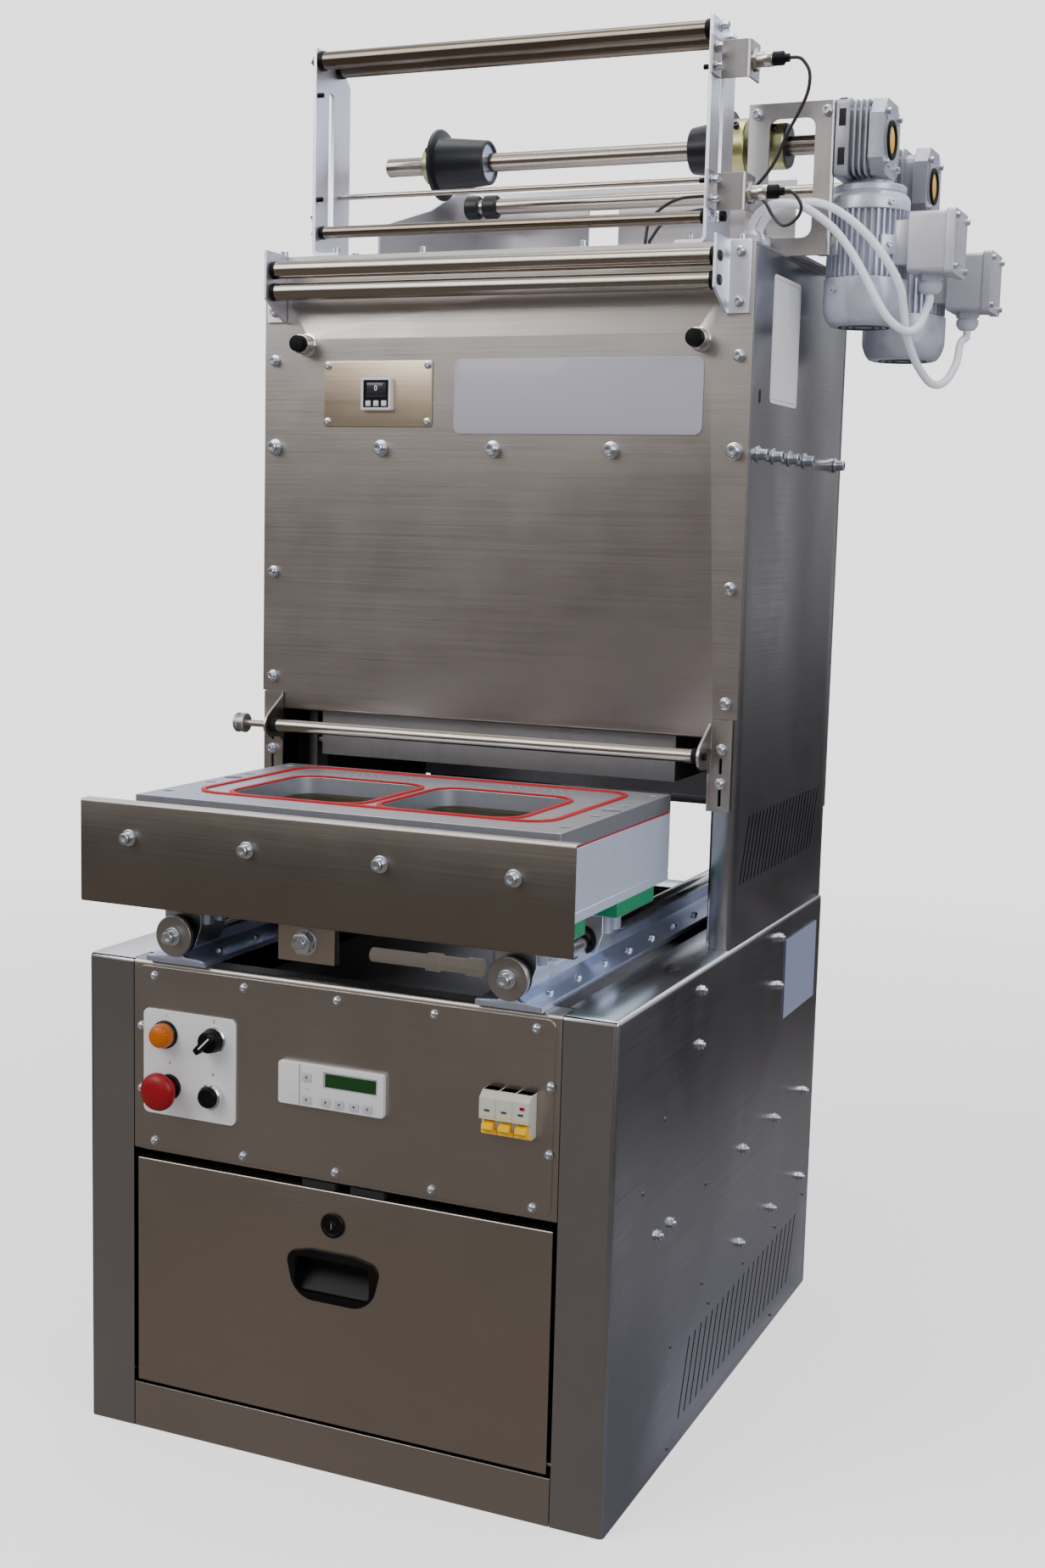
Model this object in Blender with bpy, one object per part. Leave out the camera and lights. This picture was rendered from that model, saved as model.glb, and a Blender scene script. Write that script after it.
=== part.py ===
"""Vacuum tray sealer: a stainless floor-standing base, a press column with a film frame on top,
and a drawer with a two-cavity tool that slides into the column on two round rails.

Metres, +Z up. X runs to the right as seen from the front, Y runs to the back.
The origin is on the floor, under the middle of the base. Depths below are measured
from the base's front face, which a datum empty carries, with everything parented to it.
"""

import math

import bmesh
import bpy
from mathutils import Matrix, Vector

# General clearances
GAP = 0.0003            # between pieces that touch
RUN = 0.005             # between pieces that move past each other
BORE_PLAY = 0.0003      # radial, round a journal

# Base cabinet
BASE_WIDTH = 0.614
BASE_DEPTH = 0.750
BASE_HEIGHT = 0.529
BASE_SHEET = 0.003
BASE_FLANGE = 0.0575    # front flange of each side
BASE_RETURN = 0.025     # rear flange of each side
BEND = 0.005
PLINTH_HEIGHT = 0.051
PANEL_HEIGHT = 0.212
DOOR_SIDE_PLAY = 0.005
DOOR_FOOT_PLAY = 0.0035
DOOR_HEAD_PLAY = 0.0083
DOOR_HEIGHT = BASE_HEIGHT - PANEL_HEIGHT - DOOR_HEAD_PLAY - DOOR_FOOT_PLAY - PLINTH_HEIGHT
DOOR_SHEET = 0.002
DOOR_DEPTH = 0.016
DOOR_PIVOT_IN = 0.008   # pivot line, behind the front face and above the door's foot
DOOR_PIN_RADIUS = 0.0025
PANEL_LIP = 0.028
FACE_PLATE_EDGE = 0.0065
FACE_PLATE_PROUD = 0.0015
FACE_PLATE_RADIUS = 0.008
DECK_OPENING_HALF = 0.2437
DECK_REAR_STRIP = 0.060
VENT_COUNT = 22
VENT_WIDTH = 0.0038
VENT_LEAN = 0.031       # how far back a slot's top stands of its foot
BASE_VENT_Y = (0.2262, 0.6539)
BASE_VENT_Z = (0.0295, 0.1125)

# Controls on the base
BUTTON_PLATE_SIDE = 0.115
BUTTON_PLATE_X = -0.1768
BUTTON_PLATE_Z = BASE_HEIGHT - 0.1095
BUTTON_PLATE_SHEET = 0.002
BEZEL_DEPTH = 0.004
LAMP_XZ = (-0.206, BASE_HEIGHT - 0.078)
LAMP_RADIUS = 0.015
LAMP_DEPTH = 0.019
KNOB_XZ = (-0.145, BASE_HEIGHT - 0.076)
KNOB_RADIUS = 0.0125
KNOB_DEPTH = 0.020
STOP_XZ = (-0.201, BASE_HEIGHT - 0.135)
STOP_RADIUS = 0.0205
STOP_DEPTH = 0.029
STOP_STEM = 0.0105
BUTTON_SEAT = 0.001     # how deep a button's stem stands in its well
BUTTON_WELL = 0.0048
PUSH_XZ = (-0.147, BASE_HEIGHT - 0.137)
PUSH_RADIUS = 0.0105
PUSH_DEPTH = 0.011
DISPLAY_X = -0.0035
DISPLAY_Z = BASE_HEIGHT - 0.1085
DISPLAY_WIDTH = 0.123
DISPLAY_HEIGHT = 0.045
DISPLAY_DEPTH = 0.006
KEY_RADIUS = 0.0048
KEY_PLACES = ((-0.027, 0.0092), (-0.027, -0.0145), (-0.0045, -0.0145), (0.0115, -0.0145), (0.0285, -0.0145),
              (0.0445, -0.0145))
BREAKER_X = 0.198
BREAKER_Z = BASE_HEIGHT - 0.1035
BREAKER_WIDTH = 0.054
BREAKER_HEIGHT = 0.045
BREAKER_DEPTH = 0.012
BREAKER_NOSE = 0.020
DOOR_TOP = PLINTH_HEIGHT + DOOR_FOOT_PLAY + DOOR_HEIGHT
LOCK_XZ = (-0.002, DOOR_TOP - 0.0357)
LOCK_RADIUS = 0.0135
HANDLE_X = -0.002
HANDLE_Z = DOOR_TOP - 0.0952
HANDLE_WIDTH = 0.110
HANDLE_HEIGHT = 0.053
HANDLE_POCKET = 0.024

# Drawer rails
RAIL_X = 0.193
RAIL_RADIUS = 0.010
RAIL_AXIS_UP = 0.0307   # above the base top
RAIL_FOOT_WIDTH = 0.072
RAIL_FOOT_HEIGHT = 0.006
RAIL_NECK = 0.010
RAIL_START = 0.004
RAIL_END = BASE_DEPTH - 0.015
STOP_DISC_RADIUS = 0.022
STOP_DISC_DEPTH = 0.006
BUFFER_DEPTH = 0.008

# Drawer: tool, carriages, cover
TOOL_HALF = 0.243
TOOL_FRONT = -0.0115
TOOL_BACK = 0.314
TOOL_TOP = BASE_HEIGHT + 0.178
TOOL_PLATE = 0.0182
SEAM = 0.0018
TOOL_BOTTOM = BASE_HEIGHT + 0.0825
PLATE_FRONT = -0.005
CAVITY_INNER = 0.0105
CAVITY_OUTER = 0.1675
CAVITY_FRONT = 0.050
CAVITY_BACK = 0.219
CAVITY_RADIUS = 0.028
CAVITY_FLOOR = TOOL_BOTTOM + 0.0225
SEAL_WIDTH = 0.005
SEAL_PROUD = 0.0015
SEAL_OUTER_HALF = 0.209
SEAL_FRONT = 0.043
SEAL_BACK = 0.297
SEAL_OUTER_RADIUS = 0.034
DOWEL_HOLE = 0.0105
DOWEL_X = 0.230
DOWEL_Y = 0.166
CARRIAGE_WIDTH = 0.045
CARRIAGE_JAW = 0.030     # across the jaws, at the mouth
CARRIAGE_LENGTH = 0.050
CARRIAGE_TOP = TOOL_BOTTOM - 0.015
CARRIAGE_FOOT_UP = 0.012   # underside of a carriage, below the rail's axis
CARRIAGE_MOUTH = 0.015
CARRIAGE_FRONT_Y = 0.009
CARRIAGE_REAR_Y = 0.187
PAD_INNER = 0.166
PAD_FRONT_END = 0.067
PAD_REAR_START = 0.156
PAD_REAR_END = 0.268
COVER_HALF = 0.2785
COVER_FRONT = -0.0525
COVER_TOP = TOOL_TOP - 0.001
COVER_BOTTOM = COVER_TOP - 0.109
COVER_SHEET = 0.002
COVER_LIP = 0.014
COVER_FOOT = 0.012
COVER_BOLT_X = (-0.2175, -0.0755, 0.0755, 0.2175)
COVER_BOLT_Z = COVER_TOP - 0.037
SPACER_RADIUS = 0.007
DRIVE_X = -0.0445
DRIVE_WIDTH = 0.067
DRIVE_Y = 0.012
DRIVE_SHEET = 0.010
DRIVE_BOTTOM = BASE_HEIGHT + 0.0157
DRIVE_NUT_Z = BASE_HEIGHT + 0.0375
DRIVE_NUT_RADIUS = 0.014

# Column
COLUMN_HALF = 0.304
COLUMN_FRONT = 0.351
COLUMN_TOP = BASE_HEIGHT + 0.778
COLUMN_SHEET = 0.003
COLUMN_FLANGE = 0.028
COLUMN_RETURN = 0.033
COLUMN_VENT_Y = (0.385, 0.683)
COLUMN_VENT_Z = (BASE_HEIGHT + 0.0705, BASE_HEIGHT + 0.1465)
FRONT_PANEL_BOTTOM = BASE_HEIGHT + 0.239
FRONT_PANEL_NOTCH = 0.022
FRONT_PANEL_LIP = 0.010
BACK_PANEL_BOTTOM = BASE_HEIGHT + 0.116
GAUGE_PLATE_LOW = (-0.222, COLUMN_TOP - 0.198)
GAUGE_PLATE_HIGH = (-0.079, COLUMN_TOP - 0.122)
GAUGE_PLATE_SHEET = 0.0015
GAUGE_XZ = (-0.149, COLUMN_TOP - 0.1605)
GAUGE_WIDTH = 0.040
GAUGE_HEIGHT = 0.038
GAUGE_DEPTH = 0.007
START_X = COLUMN_HALF - 0.058
START_Z = COLUMN_TOP - 0.103
START_RADIUS = 0.011
START_SLEEVE = 0.018
START_CAP = 0.010
START_CAP_RADIUS = 0.0095

# Upper tool
UPPER_HALF = COLUMN_HALF - 0.0755
UPPER_FRONT = 0.3665
UPPER_BACK = BASE_DEPTH - 0.050
UPPER_BOTTOM = TOOL_TOP + 0.0071
UPPER_TOP = UPPER_BOTTOM + 0.1009
GUIDE_RADIUS = 0.014
GUIDE_X = 0.190
GUIDE_Y = 0.531
GUIDE_TOP = UPPER_TOP + 0.145
HEAD_PLATE_Z = UPPER_TOP + 0.055
HEAD_PLATE_SHEET = 0.020

# Rollers and their brackets on the front
HIGH_ROLLER_Y = COLUMN_FRONT - 0.035
HIGH_ROLLER_Z = (COLUMN_TOP - 0.020, COLUMN_TOP - 0.045)
HIGH_ROLLER_RADIUS = 0.010
HIGH_BRACKET_LOW = COLUMN_TOP - 0.0765
HIGH_BRACKET_HIGH = COLUMN_TOP + 0.0015
HIGH_BRACKET_OUTER = COLUMN_HALF - 0.004
BRACKET_FOLD = COLUMN_HALF - 0.028
BRACKET_SHEET = 0.003
HIGH_EAR = COLUMN_FRONT - 0.051
LOW_ROLLER_Y = COLUMN_FRONT - 0.030
LOW_ROLLER_Z = FRONT_PANEL_BOTTOM - 0.017
LOW_ROLLER_RADIUS = 0.0075
LOW_BRACKET_LOW = FRONT_PANEL_BOTTOM - 0.081
LOW_BRACKET_HIGH = FRONT_PANEL_BOTTOM + 0.0215
LOW_EAR = COLUMN_FRONT - 0.046
SLOT_WIDTH = 0.0036
SLOT_UPPER = (FRONT_PANEL_BOTTOM - 0.0385, FRONT_PANEL_BOTTOM - 0.021)
SLOT_LOWER = (FRONT_PANEL_BOTTOM - 0.075, FRONT_PANEL_BOTTOM - 0.056)
KNOB_DISC_RADIUS = 0.012
KNOB_DISC_X = (-COLUMN_HALF - 0.018, -COLUMN_HALF - 0.004)

# Film frame
FRAME_HALF = COLUMN_HALF - 0.059
FRAME_SHEET = 0.004
FRAME_FRONT = COLUMN_FRONT + 0.006
FRAME_BACK = FRAME_FRONT + 0.083
FRAME_HEIGHT = 0.2385
FRAME_TOP = COLUMN_TOP + FRAME_HEIGHT
FRAME_CHAMFER = 0.030
FRAME_SLOT_FRONT = FRAME_FRONT + 0.031
FRAME_SLOT_BACK = FRAME_SLOT_FRONT + 0.012
FRAME_SLOT_LOW = COLUMN_TOP + 0.028
FRAME_SLOT_HIGH = FRAME_TOP - 0.0455
FRAME_FOOT = 0.036
FILM_ROLLER_RADIUS = 0.010
FILM_ROLLER_Z = FRAME_TOP - 0.0135
FILM_ROLLER_FRONT_Y = FRAME_FRONT + 0.011
FILM_ROLLER_REAR_Y = FRAME_FRONT + 0.055
GUIDE_ROD_Y = FRAME_FRONT + 0.057
GUIDE_ROD_Z = COLUMN_TOP + 0.077
GUIDE_ROD_RADIUS = 0.0032
FRAME_ROLLER_Y = FRAME_FRONT + 0.014
FRAME_ROLLER_Z = COLUMN_TOP + 0.0295
FRAME_ROLLER_RADIUS = 0.007

# Unwind and rewind drives; the cables' heights are above the column's top
BRACKET_X = (COLUMN_HALF - 0.054, COLUMN_HALF + 0.046)
BRACKET_Y = (0.480, 0.736)
BRACKET_TOP = COLUMN_TOP + 0.1685
BRACKET_PLATE = 0.0035
WINDOW_X = (COLUMN_HALF - 0.0295, COLUMN_HALF + 0.0235)
WINDOW_Z = (COLUMN_TOP + 0.0205, COLUMN_TOP + 0.1515)
WINDOW_RADIUS = 0.011
UNWIND_Y = 0.515
UNWIND_Z = COLUMN_TOP + 0.128
UNWIND_RADIUS = 0.011
UNWIND_LEFT = -0.226
CHUCK_DISC_RADIUS = 0.0425
CHUCK_CONE_RADII = (0.032, 0.026)
CHUCK_COLLAR_RADIUS = 0.0225
BRAKE_RADIUS = 0.033
HUB_RADIUS = 0.0255
REWIND_Y = 0.680
REWIND_Z = COLUMN_TOP + 0.104
REWIND_RADIUS = 0.010
REWIND_LEFT = -0.196
REWIND_COLLAR_RADIUS = 0.015
CHEEK_X = -0.2085
CHEEK_SHEET = 0.003
REAR_SHEET_Y = 0.733
REAR_SHEET_TOP = COLUMN_TOP + 0.130
REAR_SHEET_RIGHT = COLUMN_HALF - 0.068
GEARBOX_WIDTH = 0.0555
GEARBOX_HEIGHT = 0.084
GEARBOX_DEPTH = 0.080
GEAR_OFFSET = 0.025     # motor axis behind the output axis
MOTOR_RADIUS = 0.0475
MOTOR_LENGTH = 0.160
SHAFT_SOCKET = 0.022    # depth of the bore the shaft runs in
MOTOR_FINS = 28
TERMINAL_DROP = 0.0365  # top of the terminal box below the gearbox
TERMINAL_WIDTH = 0.066
TERMINAL_HEIGHT = 0.0665
TERMINAL_DEPTH = 0.042
GLAND_RADIUS = 0.0135
GLAND_LENGTH = 0.022
REWIND_GEAR_X = COLUMN_HALF + 0.0505
REWIND_SCALE = 1.05     # the rewind motor is a frame size up
CABLE_RADIUS = 0.0046
SENSOR_CABLE_RADIUS = 0.0019
COLUMN_GLANDS = ((COLUMN_HALF - 0.030, 0.4285), (COLUMN_HALF - 0.030, 0.4600))
SENSOR_ENTRY = (0.150, 0.432)
UNWIND_CABLE = (
    (0.281, 0.429, 0.0400), (0.2945, 0.432, 0.0493), (0.3090, 0.438, 0.0518), (0.3229, 0.4450, 0.0501),
    (0.3422, 0.4520, 0.0393), (0.3622, 0.4570, 0.0225), (0.3801, 0.4600, 0.0000), (0.3955, 0.4620, -0.0254),
    (0.4107, 0.4650, -0.0534), (0.4246, 0.4720, -0.0740), (0.4397, 0.4850, -0.0842), (0.4505, 0.5000, -0.0772))
REWIND_CABLE = (
    (0.2805, 0.4600, 0.0395), (0.2925, 0.4600, 0.0490), (0.3119, 0.4600, 0.0540), (0.3369, 0.4610, 0.0550),
    (0.3590, 0.4630, 0.0470), (0.3805, 0.4650, 0.0322), (0.4011, 0.4680, 0.0125), (0.4195, 0.4740, -0.0123),
    (0.4315, 0.4840, -0.0371), (0.4335, 0.4960, -0.0600), (0.4350, 0.5080, -0.0835), (0.4377, 0.5250, -0.1018),
    (0.4432, 0.5480, -0.1203), (0.4515, 0.5800, -0.1346), (0.4592, 0.6150, -0.1297), (0.4642, 0.6500, -0.1063),
    (0.4633, 0.6750, -0.0800))

# Sensors
SENSOR_RADIUS = 0.0082
SENSOR_Y = FRAME_FRONT + 0.037
SENSOR_Z = (FRAME_TOP - 0.0425, COLUMN_TOP + 0.057)
SENSOR_PLATE = 0.0025
SENSOR_TIP_X = FRAME_HALF + 0.0025
SENSOR_END_X = SENSOR_TIP_X + 0.0725
UPPER_SENSOR_CABLE = (
    (0.3330, 0.3960, 0.1940), (0.3410, 0.3990, 0.1810), (0.3390, 0.4030, 0.1620), (0.3290, 0.4080, 0.1430),
    (0.3140, 0.4140, 0.1200), (0.3030, 0.4200, 0.0990), (0.2900, 0.4270, 0.0830), (0.2700, 0.4400, 0.0690),
    (0.2540, 0.4510, 0.0650), (0.2380, 0.4530, 0.0650), (0.2098, 0.4470, 0.0650), (0.1831, 0.4410, 0.0620),
    (0.1640, 0.4370, 0.0520), (0.1505, 0.4340, 0.0370))
LOWER_SENSOR_CABLE = (
    (0.3330, 0.3950, 0.0520), (0.3390, 0.3970, 0.0400), (0.3330, 0.3990, 0.0280), (0.3180, 0.4020, 0.0220),
    (0.3040, 0.4080, 0.0340), (0.2900, 0.4190, 0.0520), (0.2720, 0.4400, 0.0580), (0.2500, 0.4510, 0.0560),
    (0.2300, 0.4520, 0.0530), (0.2050, 0.4430, 0.0490), (0.1820, 0.4350, 0.0430), (0.1660, 0.4320, 0.0330))

parts = None
cutters = None
datum = None


def clear_scene():
    for obj in list(bpy.data.objects):
        bpy.data.objects.remove(obj, do_unlink=True)


def make_collections():
    global parts, cutters, datum
    parts = bpy.data.collections.new("vacuum_tray_sealer")
    cutters = bpy.data.collections.new("cutters")
    bpy.context.scene.collection.children.link(parts)
    bpy.context.scene.collection.children.link(cutters)
    datum = bpy.data.objects.new("base_front", None)
    datum.location = (0.0, -BASE_DEPTH / 2, 0.0)
    parts.objects.link(datum)


def finish(name, colour, roughness, metallic):
    material = bpy.data.materials.new(name)
    material.use_nodes = True
    shader = material.node_tree.nodes["Principled BSDF"]
    shader.inputs["Base Color"].default_value = (*colour, 1.0)
    shader.inputs["Roughness"].default_value = roughness
    shader.inputs["Metallic"].default_value = metallic
    return material


# Solids, measured from the datum
def mesh_object(bm, name="solid"):
    for vert in bm.verts:
        vert.co = [round(value, 6) for value in vert.co]
    mesh = bpy.data.meshes.new(name)
    bm.to_mesh(mesh)
    bm.free()
    obj = bpy.data.objects.new(name, mesh)
    obj.parent = datum
    cutters.objects.link(obj)
    return obj


def box(low, high):
    low, high = (Vector(map(pick, low, high)) for pick in (min, max))
    bm = bmesh.new()
    size = Matrix.Diagonal((*(high - low), 1.0))
    bmesh.ops.create_cube(bm, size=1.0, matrix=Matrix.Translation((low + high) / 2) @ size)
    return mesh_object(bm)


def rod(start, end, radius, end_radius=None, sides=28):
    start, end = Vector(start), Vector(end)
    along = end - start
    turn = along.to_track_quat("Z", "Y").to_matrix().to_4x4()
    bm = bmesh.new()
    bmesh.ops.create_cone(
        bm, cap_ends=True, segments=sides, radius1=radius,
        radius2=radius if end_radius is None else end_radius,
        depth=along.length, matrix=Matrix.Translation((start + end) / 2) @ turn,
    )
    return mesh_object(bm)


AXIS_TURNS = {
    "X": Matrix(((0, 0, 1, 0), (1, 0, 0, 0), (0, 1, 0, 0), (0, 0, 0, 1))),
    "Y": Matrix(((1, 0, 0, 0), (0, 0, -1, 0), (0, 1, 0, 0), (0, 0, 0, 1))),
    "Z": Matrix.Identity(4),
}


def slab(axis, low, high, outline, *holes):
    """A flat outline with holes, extruded along an axis from low to high.

    Points are (y, z) for axis X, (x, z) for axis Y and (x, y) for axis Z.
    """
    curve = bpy.data.curves.new("outline", "CURVE")
    curve.dimensions = "2D"
    curve.fill_mode = "BOTH"
    curve.extrude = (high - low) / 2
    for points in (outline, *holes):
        spline = curve.splines.new("POLY")
        spline.points.add(len(points) - 1)
        for point, (u, v) in zip(spline.points, points):
            point.co = (u, v, 0.0, 1.0)
        spline.use_cyclic_u = True
    guide = bpy.data.objects.new("outline", curve)
    cutters.objects.link(guide)
    bpy.context.view_layer.update()
    mesh = bpy.data.meshes.new_from_object(guide.evaluated_get(bpy.context.evaluated_depsgraph_get()))
    bpy.data.objects.remove(guide)
    bm = bmesh.new()
    bm.from_mesh(mesh)
    bmesh.ops.remove_doubles(bm, verts=bm.verts, dist=1e-6)
    bmesh.ops.dissolve_limit(bm, angle_limit=0.0005, verts=bm.verts, edges=bm.edges)
    middle = (low + high) / 2
    shift = {"X": (middle, 0, 0), "Y": (0, middle, 0), "Z": (0, 0, middle)}[axis]
    bm.transform(Matrix.Translation(shift) @ AXIS_TURNS[axis])
    return mesh_object(bm)


def turned(profile, centre, axis, sides=28):
    """A solid of revolution: profile holds (radius, distance along the axis), in any order of travel."""
    curve_bm = bmesh.new()
    ring = [curve_bm.verts.new((radius, 0.0, along)) for radius, along in profile]
    for first, second in zip(ring, ring[1:]):
        curve_bm.edges.new((first, second))
    bmesh.ops.spin(
        curve_bm, geom=curve_bm.verts[:] + curve_bm.edges[:], cent=(0, 0, 0), axis=(0, 0, 1),
        angle=math.tau, steps=sides, use_merge=True,
    )
    bmesh.ops.remove_doubles(curve_bm, verts=curve_bm.verts, dist=1e-6)
    bmesh.ops.recalc_face_normals(curve_bm, faces=curve_bm.faces)
    turn = Vector(axis).to_track_quat("Z", "Y").to_matrix().to_4x4()
    curve_bm.transform(Matrix.Translation(centre) @ turn)
    return mesh_object(curve_bm)


def rounded(x0, z0, x1, z1, radius, steps=4):
    """Outline of a rectangle with round corners."""
    corners = ((x1 - radius, z0 + radius, -90), (x1 - radius, z1 - radius, 0),
               (x0 + radius, z1 - radius, 90), (x0 + radius, z0 + radius, 180))
    points = []
    for x, z, start in corners:
        for i in range(steps + 1):
            angle = math.radians(start + 90 * i / steps)
            points.append((x + radius * math.cos(angle), z + radius * math.sin(angle)))
    return points


def circle(x, z, radius, sides=24):
    return [(x + radius * math.cos(math.tau * i / sides), z + radius * math.sin(math.tau * i / sides))
            for i in range(sides)]


def rectangle(x0, z0, x1, z1):
    return [(x0, z0), (x1, z0), (x1, z1), (x0, z1)]


def folded(path, thickness, bend=BEND, steps=3):
    """Outline of a sheet folded along path, its thickness on the left of the direction of travel."""
    points = [Vector(point) for point in path]
    outer, inner = [], []
    for i, point in enumerate(points):
        before = (point - points[i - 1]).normalized() if i else None
        after = (points[i + 1] - point).normalized() if i + 1 < len(points) else None
        if before is None or after is None:
            along = after or before
            left = Vector((-along.y, along.x))
            outer.append(point)
            inner.append(point + left * thickness)
            continue
        turn = before.angle_signed(after)
        angle = -turn
        side = 1 if angle > 0 else -1
        left = Vector((-before.y, before.x))
        reach = bend * math.tan(abs(angle) / 2)
        centre = point - before * reach + left * bend * side
        for k in range(steps + 1):
            swing = Matrix.Rotation(angle * k / steps, 2) @ (-left * side)
            outer.append(centre + swing * bend)
            inner.append(centre + swing * (bend - side * thickness))
    return [tuple(p) for p in outer + inner[::-1]]


def bent_shell(low, high, thickness, bend):
    """A sheet bent over one side, both ends and the top of a block, open toward the middle and below."""
    low, high = Vector(low), Vector(high)
    bm = bmesh.new()
    bmesh.ops.create_cube(bm, size=1.0, matrix=Matrix.Translation((low + high) / 2)
                          @ Matrix.Diagonal((*(high - low), 1.0)))
    bm.normal_update()
    open_faces = [face for face in bm.faces if face.normal.x < -0.5 or face.normal.z < -0.5]
    bmesh.ops.delete(bm, geom=open_faces, context="FACES")
    folds = [edge for edge in bm.edges if len(edge.link_faces) == 2]
    bmesh.ops.bevel(bm, geom=folds, offset=bend, segments=3, profile=0.5, affect="EDGES", material=-1)
    outer = list(bm.faces)
    copy = bmesh.ops.duplicate(bm, geom=bm.verts[:] + bm.edges[:] + bm.faces[:])["geom"]
    inner = [face for face in copy if isinstance(face, bmesh.types.BMFace)]
    inner_verts = {vert for face in inner for vert in face.verts}
    for vert in inner_verts:
        vert.co = inset_point(vert.co, low, high, thickness)
    bmesh.ops.reverse_faces(bm, faces=inner)
    rims = [edge for edge in bm.edges if len(edge.link_faces) == 1]
    bmesh.ops.bridge_loops(bm, edges=rims)
    bmesh.ops.recalc_face_normals(bm, faces=bm.faces)
    return mesh_object(bm)


def inset_point(point, low, high, thickness):
    """Scale a point of the shell's outside about the block, so that it lies one thickness inside."""
    size = high - low
    x = low.x + (point.x - low.x) * (size.x - thickness) / size.x
    y = low.y + thickness + (point.y - low.y) * (size.y - 2 * thickness) / size.y
    z = low.z + (point.z - low.z) * (size.z - thickness) / size.z
    return Vector((x, y, z))


def mirrored(obj):
    """A copy of a solid on the other side of the plane x = 0."""
    bm = bmesh.new()
    bm.from_mesh(obj.data)
    bm.transform(Matrix.Diagonal((-1, 1, 1, 1)))
    bmesh.ops.reverse_faces(bm, faces=bm.faces)
    return mesh_object(bm)


class Body:
    """A rigid group: an empty on its joint's axis, which carries its pieces."""

    def __init__(self, name, pivot=(0.0, 0.0, 0.0)):
        self.pivot = Vector(pivot)
        self.empty = bpy.data.objects.new(name + "_axis", None)
        self.empty.parent = datum
        self.empty.location = self.pivot
        parts.objects.link(self.empty)

    def piece(self, name, material, main, add=(), cut=(), smooth=None):
        """Make a solid the piece called name, joined with add and cut by cut."""
        main.name = name
        main.data.name = name
        cutters.objects.unlink(main)
        parts.objects.link(main)
        main.parent = self.empty
        main.location = -self.pivot
        main.data.materials.append(material)
        for operation, tools in (("UNION", add), ("DIFFERENCE", cut)):
            for tool in tools:
                tool.hide_render = True
                tool.display_type = "WIRE"
                step = main.modifiers.new(operation.lower(), "BOOLEAN")
                step.operation = operation
                step.solver = "EXACT"
                step.object = tool
        if smooth:
            main.data.shade_smooth()
            main.data.set_sharp_from_angle(angle=math.radians(smooth))
        return main


def tube(points, radius, sides=2):
    """A cable along a smooth curve through points."""
    curve = bpy.data.curves.new("cable", "CURVE")
    curve.dimensions = "3D"
    curve.bevel_depth = radius
    curve.bevel_resolution = sides
    curve.use_fill_caps = True
    spline = curve.splines.new("POLY")
    spline.points.add(len(points) - 1)
    for point, place in zip(spline.points, points):
        point.co = (*place, 1.0)
    guide = bpy.data.objects.new("cable", curve)
    cutters.objects.link(guide)
    bpy.context.view_layer.update()
    mesh = bpy.data.meshes.new_from_object(guide.evaluated_get(bpy.context.evaluated_depsgraph_get()))
    bpy.data.objects.remove(guide)
    bm = bmesh.new()
    bm.from_mesh(mesh)
    bmesh.ops.remove_doubles(bm, verts=bm.verts, dist=1e-6)
    bmesh.ops.recalc_face_normals(bm, faces=bm.faces)
    return mesh_object(bm)


def smooth_route(route, spacing):
    """Points every spacing along a smooth curve through the route's own points."""
    knots = [Vector(p) for p in route]
    ends = [knots[0] * 2 - knots[1], *knots, knots[-1] * 2 - knots[-2]]
    dense = []
    for a, b, c, d in zip(ends, ends[1:], ends[2:], ends[3:]):
        for k in range(24):
            t = k / 24
            dense.append(0.5 * (2 * b + (c - a) * t + (2 * a - 5 * b + 4 * c - d) * t * t
                                + (3 * b - a - 3 * c + d) * t ** 3))
    dense.append(knots[-1])
    length = sum((q - p).length for p, q in zip(dense, dense[1:]))
    count = max(2, round(length / spacing))
    step, run, made = length / count, 0.0, [dense[0]]
    for p, q in zip(dense, dense[1:]):
        reach = (q - p).length
        while run + reach >= step * len(made) and len(made) < count:
            made.append(p.lerp(q, (step * len(made) - run) / reach))
        run += reach
    return made + [dense[-1]]


BASE_HALF = BASE_WIDTH / 2
PANEL_HALF = BASE_HALF - BASE_FLANGE - 0.001
PANEL_BOTTOM = BASE_HEIGHT - PANEL_HEIGHT
PANEL_TOP = BASE_HEIGHT
RAIL_AXIS_Z = BASE_HEIGHT + GAP + RAIL_AXIS_UP
DOOR_BOTTOM = PLINTH_HEIGHT + DOOR_FOOT_PLAY
DOOR_HALF = BASE_HALF - BASE_FLANGE - DOOR_SIDE_PLAY
DOOR_PIVOT = (0.0, DOOR_PIVOT_IN, DOOR_BOTTOM + DOOR_PIVOT_IN)


def vents(x, y_range, z_range, lean):
    """Cutters for a row of leaning slots through a side sheet."""
    first, last = y_range
    low, high = z_range
    pitch = (last - first) / (VENT_COUNT - 1)
    return [slab("X", x - 0.01, x + 0.01, [
        (y - VENT_WIDTH / 2, low), (y + VENT_WIDTH / 2, low), (y + lean + VENT_WIDTH / 2, high),
        (y + lean - VENT_WIDTH / 2, high)]) for y in (first + pitch * i for i in range(VENT_COUNT))]


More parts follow.
